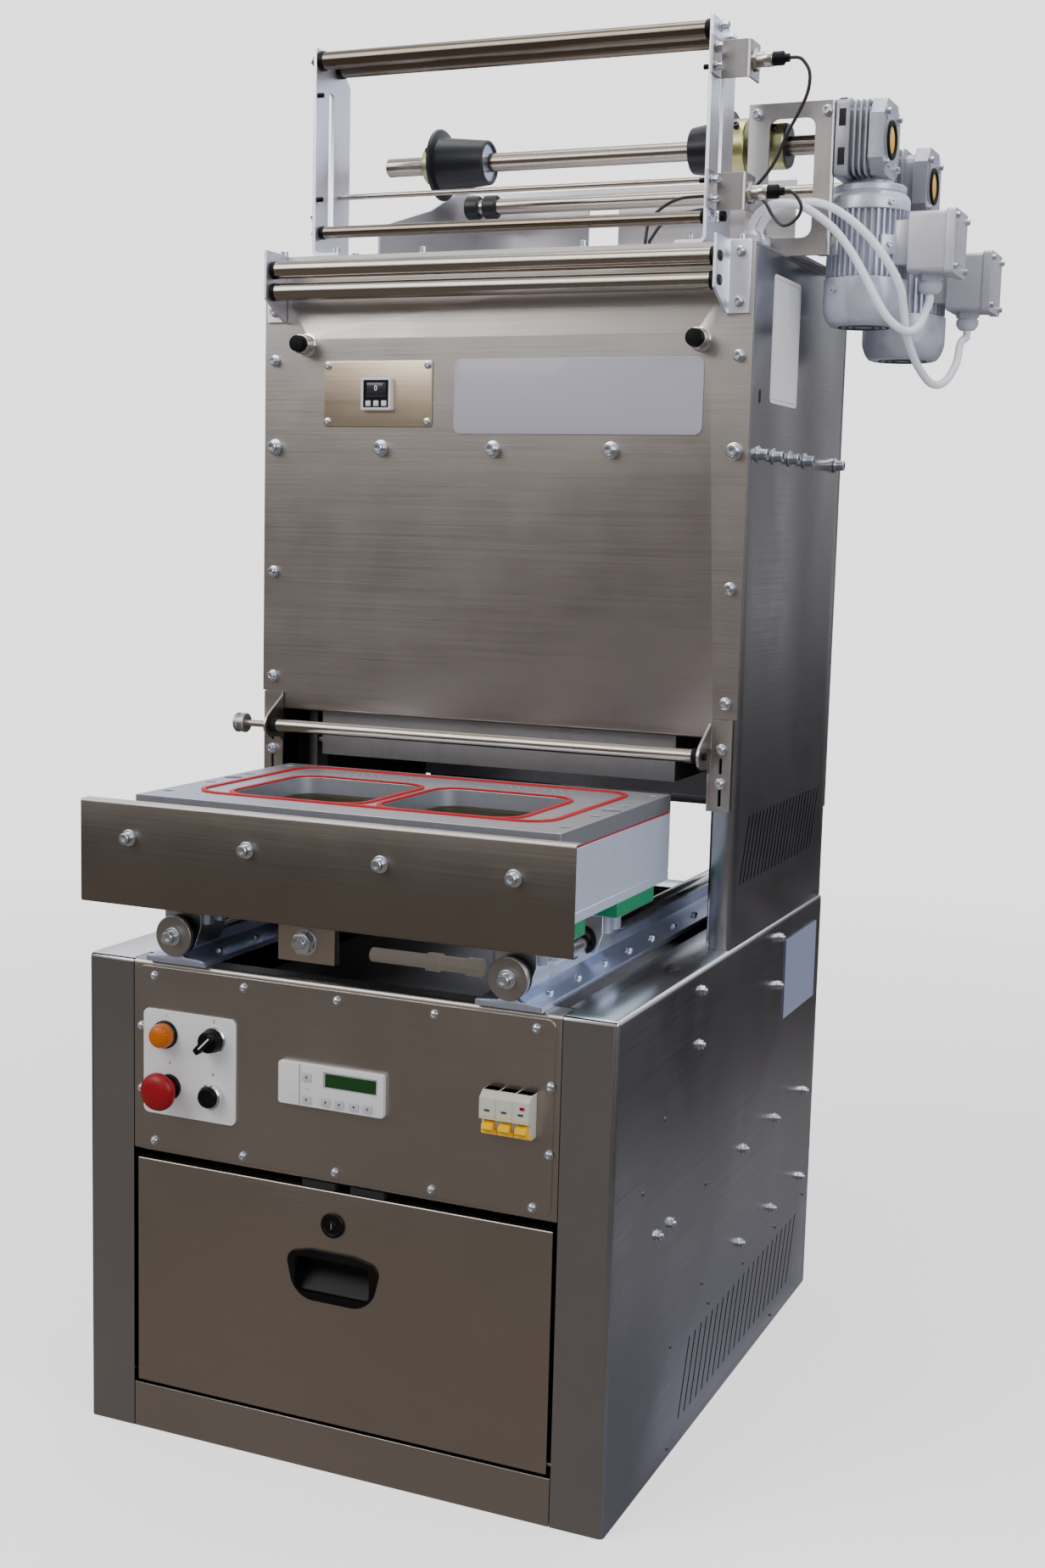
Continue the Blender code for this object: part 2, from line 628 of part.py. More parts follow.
def build_base(machine, steel):
    """Two wrapped sides, back, plinth with floor pan, control panel and deck."""
    lug_inner = DOOR_HALF + DOOR_SIDE_PLAY + 0.002
    far = BASE_HALF + 0.01
    for name, flip in (("base_right_side", False), ("base_left_side", True)):
        side = bent_shell((DECK_OPENING_HALF, 0.0, 0.0), (BASE_HALF, BASE_DEPTH, BASE_HEIGHT), BASE_SHEET, BEND)
        front_trim = box((DECK_OPENING_HALF - 0.01, -0.01, -0.01), (BASE_HALF - BASE_FLANGE, 0.02, BASE_HEIGHT + 0.01))
        rear_trim = box((DECK_OPENING_HALF - 0.01, BASE_DEPTH - 0.02, -0.01),
                        (BASE_HALF - BASE_RETURN, BASE_DEPTH + 0.01, BASE_HEIGHT - BASE_SHEET - 0.002))
        top_trim = box((DECK_OPENING_HALF - 0.01, -0.01, BASE_HEIGHT - 0.02),
                       (BASE_HALF - BASE_FLANGE, PANEL_LIP + BASE_SHEET + 0.001, BASE_HEIGHT + 0.01))
        lug = rod((lug_inner, DOOR_PIVOT[1], DOOR_PIVOT[2]), (lug_inner + 0.008, DOOR_PIVOT[1], DOOR_PIVOT[2]), 0.006)
        web = box((lug_inner, BASE_SHEET - 0.001, DOOR_PIVOT[2] - 0.006),
                  (lug_inner + 0.008, DOOR_PIVOT[1], DOOR_PIVOT[2] + 0.006))
        hole = rod((lug_inner - 0.01, DOOR_PIVOT[1], DOOR_PIVOT[2]),
                   (lug_inner + 0.005, DOOR_PIVOT[1], DOOR_PIVOT[2]), DOOR_PIN_RADIUS + BORE_PLAY, sides=16)
        solids = [side, lug, web, hole, front_trim, rear_trim, top_trim]
        if flip:
            solids = [mirrored(solid) for solid in solids]
        else:
            solids += vents(BASE_HALF, BASE_VENT_Y, BASE_VENT_Z, VENT_LEAN)
        machine.piece(name, steel, solids[0], add=solids[1:3], cut=solids[3:])

    back_half = BASE_HALF - BASE_RETURN - GAP
    back_y = BASE_DEPTH - BASE_SHEET
    machine.piece("base_back_panel", steel, slab(
        "Z", BASE_SHEET + GAP, BASE_HEIGHT - 0.012,
        folded([(-back_half, back_y - 0.020), (-back_half, back_y + BASE_SHEET), (back_half, back_y + BASE_SHEET),
                (back_half, back_y - 0.020)][::-1], BASE_SHEET)))

    inside = BASE_HALF - BASE_SHEET - GAP
    plinth_half = BASE_HALF - BASE_FLANGE - 0.001
    ledge = BASE_SHEET + GAP
    end = BASE_DEPTH - BASE_SHEET - GAP
    floor = slab("Z", 0.0, BASE_SHEET, [
        (-plinth_half, 0.0), (plinth_half, 0.0), (plinth_half, ledge + BEND), (inside - BEND, ledge),
        (inside, ledge + BEND + 0.001), (inside, end - BEND), (inside - BEND, end), (-inside + BEND, end),
        (-inside, end - BEND), (-inside, ledge + BEND + 0.001), (-inside + BEND, ledge), (-plinth_half, ledge + BEND)])
    front = box((-plinth_half, 0.0, BASE_SHEET - 0.001), (plinth_half, BASE_SHEET, PLINTH_HEIGHT))
    machine.piece("plinth", steel, floor, add=[front])

    panel_path = [(PANEL_LIP, PANEL_BOTTOM), (0.0, PANEL_BOTTOM), (0.0, PANEL_TOP), (PANEL_LIP, PANEL_TOP)]
    panel = slab("X", -PANEL_HALF, PANEL_HALF, folded(panel_path[::-1], BASE_SHEET))
    plate = slab("Y", -FACE_PLATE_PROUD, 0.001, rounded(
        -PANEL_HALF + FACE_PLATE_EDGE, PANEL_BOTTOM + FACE_PLATE_EDGE,
        PANEL_HALF - FACE_PLATE_EDGE, PANEL_TOP - FACE_PLATE_EDGE, FACE_PLATE_RADIUS))
    tabs = []
    for sign in (-1, 1):
        edge = sign * PANEL_HALF
        tabs.append(box((edge - sign * 0.010, 0.001, PANEL_BOTTOM + 0.012),
                        (edge - sign * 0.003, BASE_SHEET + GAP + 0.0035, PANEL_TOP - 0.012)))
        tabs.append(box((edge - sign * 0.006, BASE_SHEET + GAP, PANEL_BOTTOM + 0.014),
                        (edge + sign * 0.018, BASE_SHEET + GAP + 0.003, PANEL_TOP - 0.014)))
    machine.piece("control_panel", steel, panel, add=[plate, *tabs])

    inner = DECK_OPENING_HALF - GAP
    rear = BASE_DEPTH - BASE_SHEET - GAP
    strip = slab("X", -inner, inner, folded([
        (rear - DECK_REAR_STRIP, BASE_HEIGHT - 0.040), (rear - DECK_REAR_STRIP, BASE_HEIGHT), (rear, BASE_HEIGHT),
        (rear, BASE_HEIGHT - 0.020)][::-1], BASE_SHEET))
    ledges = [box((sign * (inner - 0.006), rear - DECK_REAR_STRIP + 0.006, BASE_HEIGHT - BASE_SHEET - GAP - 0.004),
                  (sign * (BASE_HALF - BEND - BASE_SHEET), rear - 0.006, BASE_HEIGHT - BASE_SHEET - GAP))
              for sign in (-1, 1)]
    ties = [box((sign * (inner - 0.012), rear - DECK_REAR_STRIP + 0.008, BASE_HEIGHT - BASE_SHEET - 0.006),
                (sign * (inner - 0.003), rear - 0.008, BASE_HEIGHT - 0.001)) for sign in (-1, 1)]
    machine.piece("deck_rear", steel, strip, add=[*ties, *ledges])


def build_door(door, steel):
    """Drop-down service door with a pocket handle and a cam lock."""
    top = DOOR_BOTTOM + DOOR_HEIGHT
    path = [(DOOR_DEPTH, DOOR_BOTTOM), (0.0, DOOR_BOTTOM), (0.0, top), (DOOR_DEPTH, top)]
    sheet = slab("X", -DOOR_HALF, DOOR_HALF, folded(path[::-1], DOOR_SHEET, bend=0.003))
    cheeks = [box((sign * DOOR_HALF - (DOOR_SHEET if sign > 0 else 0), 0.001, DOOR_BOTTOM + 0.001),
                  (sign * DOOR_HALF + (DOOR_SHEET if sign < 0 else 0), DOOR_DEPTH - 0.001, top - 0.001))
              for sign in (-1, 1)]
    pins = [rod((sign * (DOOR_HALF - 0.001), DOOR_PIVOT[1], DOOR_PIVOT[2]),
                (sign * (DOOR_HALF + DOOR_SIDE_PLAY + 0.006), DOOR_PIVOT[1], DOOR_PIVOT[2]), DOOR_PIN_RADIUS, sides=16)
            for sign in (-1, 1)]
    half, low, high = HANDLE_WIDTH / 2, HANDLE_Z - HANDLE_HEIGHT / 2, HANDLE_Z + HANDLE_HEIGHT / 2
    rim = slab("Y", -0.002, HANDLE_POCKET, rounded(HANDLE_X - half, low, HANDLE_X + half, high, 0.012))
    pocket = slab("Y", -0.010, HANDLE_POCKET - 0.002, rounded(
        HANDLE_X - half + 0.011, low + 0.009, HANDLE_X + half - 0.011, high - 0.006, 0.008))
    lock = turned([(0.0, 0.004), (0.010, 0.004), (LOCK_RADIUS, 0.0025), (LOCK_RADIUS, -0.012), (0.0, -0.012)],
                  (LOCK_XZ[0], 0.0, LOCK_XZ[1]), (0, -1, 0))
    door.piece("service_door", steel, sheet, add=[*cheeks, *pins, rim, lock], cut=[pocket])


def disc_on_face(xz, profile, face_y):
    """A turned solid standing out of the front at (x, z), its profile measured out from face_y."""
    return turned(profile, (xz[0], face_y, xz[1]), (0, -1, 0))


PLATE_FACE = -FACE_PLATE_PROUD
BUTTON_FACE = PLATE_FACE - GAP - BUTTON_PLATE_SHEET
BEZEL_FACE = BUTTON_FACE - BEZEL_DEPTH


def build_controls(machine, bodies, looks):
    half = BUTTON_PLATE_SIDE / 2
    plate = slab("Y", BUTTON_FACE, PLATE_FACE - GAP, rounded(
        BUTTON_PLATE_X - half, BUTTON_PLATE_Z - half, BUTTON_PLATE_X + half, BUTTON_PLATE_Z + half, 0.005))
    bezels = []
    for xz, radius in ((LAMP_XZ, LAMP_RADIUS), (KNOB_XZ, 0.0145), (STOP_XZ, 0.014), (PUSH_XZ, 0.0145)):
        bezels.append(disc_on_face(xz, [(0.0, BEZEL_DEPTH), (radius - 0.001, BEZEL_DEPTH), (radius, BEZEL_DEPTH - 0.001),
                                        (radius, -0.001), (0.0, -0.001)], BUTTON_FACE))
    face = BEZEL_FACE - GAP
    wells = [rod((x, face - 0.01, z), (x, BEZEL_FACE + BUTTON_WELL, z), radius + BORE_PLAY)
             for (x, z), radius in ((STOP_XZ, STOP_STEM), (PUSH_XZ, PUSH_RADIUS))]
    machine.piece("button_plate", looks["white"], plate, add=bezels, cut=wells)
    seat = BEZEL_FACE + BUTTON_SEAT
    machine.piece("signal_lamp", looks["amber"], disc_on_face(LAMP_XZ, [
        (0.0, LAMP_DEPTH - BEZEL_DEPTH), (0.006, LAMP_DEPTH - BEZEL_DEPTH - 0.0008),
        (0.0105, LAMP_DEPTH - BEZEL_DEPTH - 0.003), (0.0130, LAMP_DEPTH - BEZEL_DEPTH - 0.008),
        (0.0135, 0.001), (0.0130, 0.0), (0.0, 0.0)], face), smooth=40)
    knob = disc_on_face(KNOB_XZ, [(0.0, KNOB_DEPTH), (0.0105, KNOB_DEPTH), (0.0112, KNOB_DEPTH - 0.001),
                                  (KNOB_RADIUS, 0.003), (KNOB_RADIUS, 0.0), (0.0, 0.0)], face)
    waists = []
    turn = Matrix.Translation((KNOB_XZ[0], 0, KNOB_XZ[1])) @ Matrix.Rotation(math.radians(45), 4, "Y")
    for sign in (-1, 1):
        waist = box((-0.02, face - KNOB_DEPTH - 0.01, sign * 0.0045), (0.02, face - 0.008, sign * 0.02))
        waist.data.transform(turn)
        waists.append(waist)
    bodies["selector"].piece("selector_knob", looks["black"], knob, cut=waists)
    bodies["emergency"].piece("emergency_stop", looks["red"], disc_on_face(STOP_XZ, [
        (0.0, STOP_DEPTH), (0.008, STOP_DEPTH - 0.0002), (0.014, STOP_DEPTH - 0.0012), (0.0185, STOP_DEPTH - 0.0035),
        (STOP_RADIUS, STOP_DEPTH - 0.007), (STOP_RADIUS, STOP_DEPTH - 0.012), (0.0165, STOP_DEPTH - 0.015),
        (STOP_STEM, STOP_DEPTH - 0.017), (STOP_STEM, 0.0), (0.0, 0.0)], seat), smooth=40)
    bodies["push"].piece("push_button", looks["black"], disc_on_face(PUSH_XZ, [
        (0.0, PUSH_DEPTH), (0.0095, PUSH_DEPTH), (PUSH_RADIUS, PUSH_DEPTH - 0.001), (PUSH_RADIUS, 0.0),
        (0.0, 0.0)], seat), smooth=40)

    face = PLATE_FACE - GAP
    half_w, half_h = DISPLAY_WIDTH / 2, DISPLAY_HEIGHT / 2
    panel = slab("Y", face - DISPLAY_DEPTH, face, rounded(
        DISPLAY_X - half_w, DISPLAY_Z - half_h, DISPLAY_X + half_w, DISPLAY_Z + half_h, 0.003))
    keys = [disc_on_face((x, z), [(0.0, 0.0015), (KEY_RADIUS - 0.0005, 0.0015), (KEY_RADIUS, 0.001),
                                  (KEY_RADIUS, -0.001), (0.0, -0.001)], face - DISPLAY_DEPTH)
            for x, z in ((DISPLAY_X + u, DISPLAY_Z + v) for u, v in KEY_PLACES)]
    machine.piece("operator_panel", looks["white"], panel, add=keys)

    low_x, high_x = BREAKER_X - BREAKER_WIDTH / 2, BREAKER_X + BREAKER_WIDTH / 2
    low_z, high_z = BREAKER_Z - BREAKER_HEIGHT / 2, BREAKER_Z + BREAKER_HEIGHT / 2
    section = [(face, low_z), (face, high_z), (face - BREAKER_DEPTH, high_z), (face - BREAKER_NOSE, high_z - 0.006),
               (face - BREAKER_NOSE, low_z + 0.016), (face - BREAKER_DEPTH, low_z + 0.012),
               (face - BREAKER_DEPTH, low_z)]
    body = slab("X", low_x, high_x, section)
    toggles = [box((low_x + 0.0055 + 0.018 * i, face - BREAKER_NOSE + 0.002, low_z + 0.003),
                   (low_x + 0.0125 + 0.018 * i, face - BREAKER_DEPTH + 0.002, low_z + 0.010)) for i in range(3)]
    machine.piece("circuit_breaker", looks["white"], body, add=toggles)


def build_rails(machine, steel):
    """Round rails on their foot profiles, each with a stop disc and a rubber buffer at the front."""
    foot = BASE_HEIGHT + GAP
    axis = RAIL_AXIS_Z
    swing = math.asin(RAIL_NECK / 2 / RAIL_RADIUS)
    arc = [(RAIL_RADIUS * math.sin(a), axis - RAIL_RADIUS * math.cos(a))
           for a in (swing + (math.tau - 2 * swing) * i / 20 for i in range(21))]
    half = RAIL_FOOT_WIDTH / 2
    outline = [(-half, foot), (half, foot), (half, foot + RAIL_FOOT_HEIGHT), (0.012, foot + RAIL_FOOT_HEIGHT + 0.002),
               (RAIL_NECK / 2, foot + RAIL_FOOT_HEIGHT + 0.006), *arc,
               (-RAIL_NECK / 2, foot + RAIL_FOOT_HEIGHT + 0.006), (-0.012, foot + RAIL_FOOT_HEIGHT + 0.002),
               (-half, foot + RAIL_FOOT_HEIGHT)]
    for name, x in (("rail_left", -RAIL_X), ("rail_right", RAIL_X)):
        rail = slab("Y", RAIL_START, RAIL_END, [(x + u, v) for u, v in outline])
        disc_back = RAIL_START - BUFFER_DEPTH
        disc = rod((x, disc_back - STOP_DISC_DEPTH, axis), (x, disc_back, axis), STOP_DISC_RADIUS, sides=36)
        buffer = rod((x, disc_back - 0.001, axis), (x, RAIL_START + 0.001, axis), STOP_DISC_RADIUS - 0.001, sides=36)
        sole = box((x - half, disc_back - STOP_DISC_DEPTH + 0.004, foot), (x + half, RAIL_START + 0.001, foot + RAIL_FOOT_HEIGHT))
        machine.piece(name, steel, rail, add=[buffer, disc, sole])


def build_drawer(drawer, looks):
    """Lower tool with two cavities, its seals, carriages, front cover and drive plate."""
    plate_bottom = TOOL_TOP - TOOL_PLATE
    cavities = [rounded(CAVITY_INNER, CAVITY_FRONT, CAVITY_OUTER, CAVITY_BACK, CAVITY_RADIUS),
                rounded(-CAVITY_OUTER, CAVITY_FRONT, -CAVITY_INNER, CAVITY_BACK, CAVITY_RADIUS)]
    dowels = [circle(sign * DOWEL_X, DOWEL_Y, DOWEL_HOLE, 16) for sign in (-1, 1)]
    drawer.piece("tool_plate", looks["aluminium"], slab(
        "Z", plate_bottom, TOOL_TOP, rectangle(-TOOL_HALF, PLATE_FRONT, TOOL_HALF, TOOL_BACK), *cavities, *dowels))
    drawer.piece("seam_gasket", looks["red"], slab(
        "Z", plate_bottom - SEAM, plate_bottom - GAP, rectangle(-TOOL_HALF, TOOL_FRONT, TOOL_HALF, TOOL_BACK), *cavities))
    body_top = plate_bottom - SEAM - GAP
    body = box((-TOOL_HALF, TOOL_FRONT, TOOL_BOTTOM), (TOOL_HALF, TOOL_BACK, body_top))
    wells = [slab("Z", CAVITY_FLOOR, body_top + 0.01, outline) for outline in cavities]
    groove_z = TOOL_BOTTOM + 0.010
    groove = [box((-TOOL_HALF - 0.01, TOOL_FRONT - 0.01, groove_z), (-TOOL_HALF + 0.001, TOOL_BACK + 0.01, groove_z + 0.001)),
              box((TOOL_HALF - 0.001, TOOL_FRONT - 0.01, groove_z), (TOOL_HALF + 0.01, TOOL_BACK + 0.01, groove_z + 0.001))]
    drawer.piece("tool_body", looks["aluminium"], body, cut=[*wells, *groove])

    w = SEAL_WIDTH
    top = TOOL_TOP + GAP
    loop = slab("Z", top, top + SEAL_PROUD, rounded(
        -SEAL_OUTER_HALF, SEAL_FRONT, SEAL_OUTER_HALF, SEAL_BACK, SEAL_OUTER_RADIUS),
        rounded(-SEAL_OUTER_HALF + w, SEAL_FRONT + w, SEAL_OUTER_HALF - w, SEAL_BACK - w, SEAL_OUTER_RADIUS - w))
    rings = []
    for low, high in ((CAVITY_INNER, CAVITY_OUTER), (-CAVITY_OUTER, -CAVITY_INNER)):
        rings.append(slab("Z", top, top + SEAL_PROUD, rounded(
            low - w - 0.001, SEAL_FRONT + 0.001, high + w + 0.001, CAVITY_BACK + w + 0.001, CAVITY_RADIUS + w),
            rounded(low - 0.001, CAVITY_FRONT - 0.001, high + 0.001, CAVITY_BACK + 0.001, CAVITY_RADIUS)))
    drawer.piece("tool_seal", looks["red"], loop, add=rings)

    axis = RAIL_AXIS_Z
    low, high = axis - CARRIAGE_FOOT_UP, CARRIAGE_TOP
    half = CARRIAGE_WIDTH / 2
    bore = RAIL_RADIUS + BORE_PLAY
    swing = math.asin(CARRIAGE_MOUTH / 2 / bore)
    arc = [(bore * math.sin(a), axis - bore * math.cos(a))
           for a in (swing + (math.tau - 2 * swing) * i / 20 for i in range(21))]
    jaw = CARRIAGE_JAW / 2
    section = [(-jaw, low), (-CARRIAGE_MOUTH / 2, low), *arc[::-1], (CARRIAGE_MOUTH / 2, low), (jaw, low),
               (half, low + 0.021), (half, high), (-half, high), (-half, low + 0.021)]
    for row, y, pad_y in (("front", CARRIAGE_FRONT_Y, (CARRIAGE_FRONT_Y, PAD_FRONT_END)),
                          ("rear", CARRIAGE_REAR_Y, (PAD_REAR_START, PAD_REAR_END))):
        for side, sign in (("left", -1), ("right", 1)):
            carriage = slab("Y", y, y + CARRIAGE_LENGTH, [(sign * RAIL_X + u, v) for u, v in section])
            pad = box((min(sign * PAD_INNER, sign * TOOL_HALF), pad_y[0], CARRIAGE_TOP - 0.001),
                      (max(sign * PAD_INNER, sign * TOOL_HALF), pad_y[1], TOOL_BOTTOM - GAP))
            drawer.piece(f"carriage_{row}_{side}", looks["green"], carriage, add=[pad])

    path = [(COVER_FRONT + COVER_LIP, COVER_TOP), (COVER_FRONT, COVER_TOP), (COVER_FRONT, COVER_BOTTOM),
            (COVER_FRONT + COVER_FOOT, COVER_BOTTOM)]
    cover = slab("X", -COVER_HALF, COVER_HALF, folded(path, COVER_SHEET, bend=0.003))
    spacers = [rod((x, COVER_FRONT + COVER_SHEET - 0.001, COVER_BOLT_Z), (x, TOOL_FRONT - GAP, COVER_BOLT_Z),
                   SPACER_RADIUS, sides=20) for x in COVER_BOLT_X]
    drawer.piece("drawer_cover", looks["steel"], cover, add=spacers)

    half = DRIVE_WIDTH / 2
    plate = box((DRIVE_X - half, DRIVE_Y, DRIVE_BOTTOM), (DRIVE_X + half, DRIVE_Y + DRIVE_SHEET, TOOL_BOTTOM - GAP))
    nut = turned([(0.0, 0.010), (0.006, 0.010), (0.006, 0.0075), (0.0095, 0.0065), (0.0095, 0.0025),
                  (DRIVE_NUT_RADIUS, 0.0025), (DRIVE_NUT_RADIUS, -0.001), (0.0, -0.001)],
                 (DRIVE_X, DRIVE_Y, DRIVE_NUT_Z), (0, -1, 0), sides=24)
    drawer.piece("drive_plate", looks["steel"], plate, add=[nut])


def cable_gland(foot, axis, radius=GLAND_RADIUS, length=GLAND_LENGTH):
    """A compression gland: hexagon, dome nut and a mouth for the cable."""
    body = turned([(0.0, 0.0), (radius, 0.0), (radius, length * 0.35), (radius * 0.92, length * 0.4),
                   (radius, length * 0.45), (radius * 0.96, length * 0.8), (radius * 0.75, length), (0.0, length)],
                  foot, axis, sides=20)
    return body


def build_column(machine, steel):
    flange_y = COLUMN_FRONT + COLUMN_SHEET + GAP
    fold = COLUMN_HALF - COLUMN_FLANGE
    back_fold = COLUMN_HALF - COLUMN_FLANGE
    path = [(fold, flange_y + COLUMN_RETURN), (fold, flange_y), (COLUMN_HALF, flange_y),
            (COLUMN_HALF, BASE_DEPTH), (back_fold, BASE_DEPTH)]
    low, high = BASE_HEIGHT + GAP, COLUMN_TOP - COLUMN_SHEET - GAP
    for name, flip in (("column_right_side", False), ("column_left_side", True)):
        side = slab("Z", low, high, folded(path, COLUMN_SHEET, bend=0.004))
        slots = [] if flip else vents(COLUMN_HALF, COLUMN_VENT_Y, COLUMN_VENT_Z, VENT_LEAN)
        machine.piece(name, steel, mirrored(side) if flip else side, cut=slots)

    path = [(COLUMN_FRONT, COLUMN_TOP), (COLUMN_FRONT, FRONT_PANEL_BOTTOM),
            (COLUMN_FRONT + FRONT_PANEL_LIP, FRONT_PANEL_BOTTOM)]
    panel = slab("X", -COLUMN_HALF, COLUMN_HALF, folded(path, COLUMN_SHEET, bend=0.004))
    notches = [box((sign * fold, COLUMN_FRONT - 0.01, FRONT_PANEL_BOTTOM - 0.01),
                   (sign * (COLUMN_HALF + 0.01), COLUMN_FRONT + 0.03, FRONT_PANEL_BOTTOM + FRONT_PANEL_NOTCH))
               for sign in (-1, 1)]
    sleeves = [turned([(0.0, START_SLEEVE), (START_RADIUS - 0.001, START_SLEEVE), (START_RADIUS, START_SLEEVE - 0.001),
                       (START_RADIUS, -0.001), (0.0, -0.001)], (sign * START_X, COLUMN_FRONT, START_Z), (0, -1, 0))
               for sign in (-1, 1)]
    wells = [rod((sign * START_X, COLUMN_FRONT - START_SLEEVE - 0.01, START_Z),
                 (sign * START_X, COLUMN_FRONT - START_SLEEVE + BUTTON_WELL, START_Z), START_CAP_RADIUS + BORE_PLAY)
             for sign in (-1, 1)]
    machine.piece("column_front_panel", steel, panel, add=sleeves, cut=[*notches, *wells])

    inner = COLUMN_HALF - COLUMN_SHEET - GAP
    path = [(COLUMN_FRONT + COLUMN_SHEET + GAP, COLUMN_TOP), (BASE_DEPTH + GAP + COLUMN_SHEET, COLUMN_TOP),
            (BASE_DEPTH + GAP + COLUMN_SHEET, BACK_PANEL_BOTTOM)]
    glands = [cable_gland((x, y, COLUMN_TOP - 0.001), (0, 0, 1), radius=0.0125) for x, y in COLUMN_GLANDS]
    entry = turned([(0.0, 0.0), (0.010, 0.0), (0.010, 0.006), (0.0065, 0.010), (0.0, 0.010)],
                   (*SENSOR_ENTRY, COLUMN_TOP - 0.001), (0, 0, 1), sides=20)
    machine.piece("column_top_and_back", steel, slab(
        "X", -COLUMN_HALF, COLUMN_HALF, folded(path[::-1], COLUMN_SHEET, bend=COLUMN_SHEET + GAP / 2)),
                  add=[*glands, entry])
    head = box((-inner, flange_y + COLUMN_RETURN + 0.004, HEAD_PLATE_Z),
               (inner, BASE_DEPTH - COLUMN_SHEET - 0.001, HEAD_PLATE_Z + HEAD_PLATE_SHEET))
    holes = [rod((sign * GUIDE_X, GUIDE_Y, HEAD_PLATE_Z - 0.01),
                 (sign * GUIDE_X, GUIDE_Y, HEAD_PLATE_Z + HEAD_PLATE_SHEET + 0.01), GUIDE_RADIUS + BORE_PLAY)
             for sign in (-1, 1)]
    machine.piece("head_plate", steel, head, cut=holes)


def build_column_fittings(machine, bodies, looks):
    face = COLUMN_FRONT - GAP
    plate = slab("Y", face - GAUGE_PLATE_SHEET, face, rounded(*GAUGE_PLATE_LOW, *GAUGE_PLATE_HIGH, 0.003))
    x, z = GAUGE_XZ
    bezel = slab("Y", face - GAUGE_PLATE_SHEET - GAUGE_DEPTH, face - 0.001, rounded(
        x - GAUGE_WIDTH / 2, z - GAUGE_HEIGHT / 2, x + GAUGE_WIDTH / 2, z + GAUGE_HEIGHT / 2, 0.002))
    machine.piece("vacuum_gauge", looks["brass_steel"], plate, add=[bezel])
    for name, sign in (("left", -1), ("right", 1)):
        bodies[f"start_{name}"].piece(f"start_button_{name}", looks["black"], turned(
            [(0.0, START_CAP), (START_CAP_RADIUS - 0.001, START_CAP), (START_CAP_RADIUS, START_CAP - 0.001),
             (START_CAP_RADIUS, -BUTTON_SEAT), (0.0, -BUTTON_SEAT)],
            (sign * START_X, COLUMN_FRONT - START_SLEEVE, START_Z), (0, -1, 0)), smooth=40)


def bracket_outline(ear_y, fold=BRACKET_FOLD, outer=HIGH_BRACKET_OUTER):
    front = COLUMN_FRONT - GAP
    return folded([(fold, ear_y), (fold, front - BRACKET_SHEET), (outer, front - BRACKET_SHEET)], BRACKET_SHEET, bend=0.001)


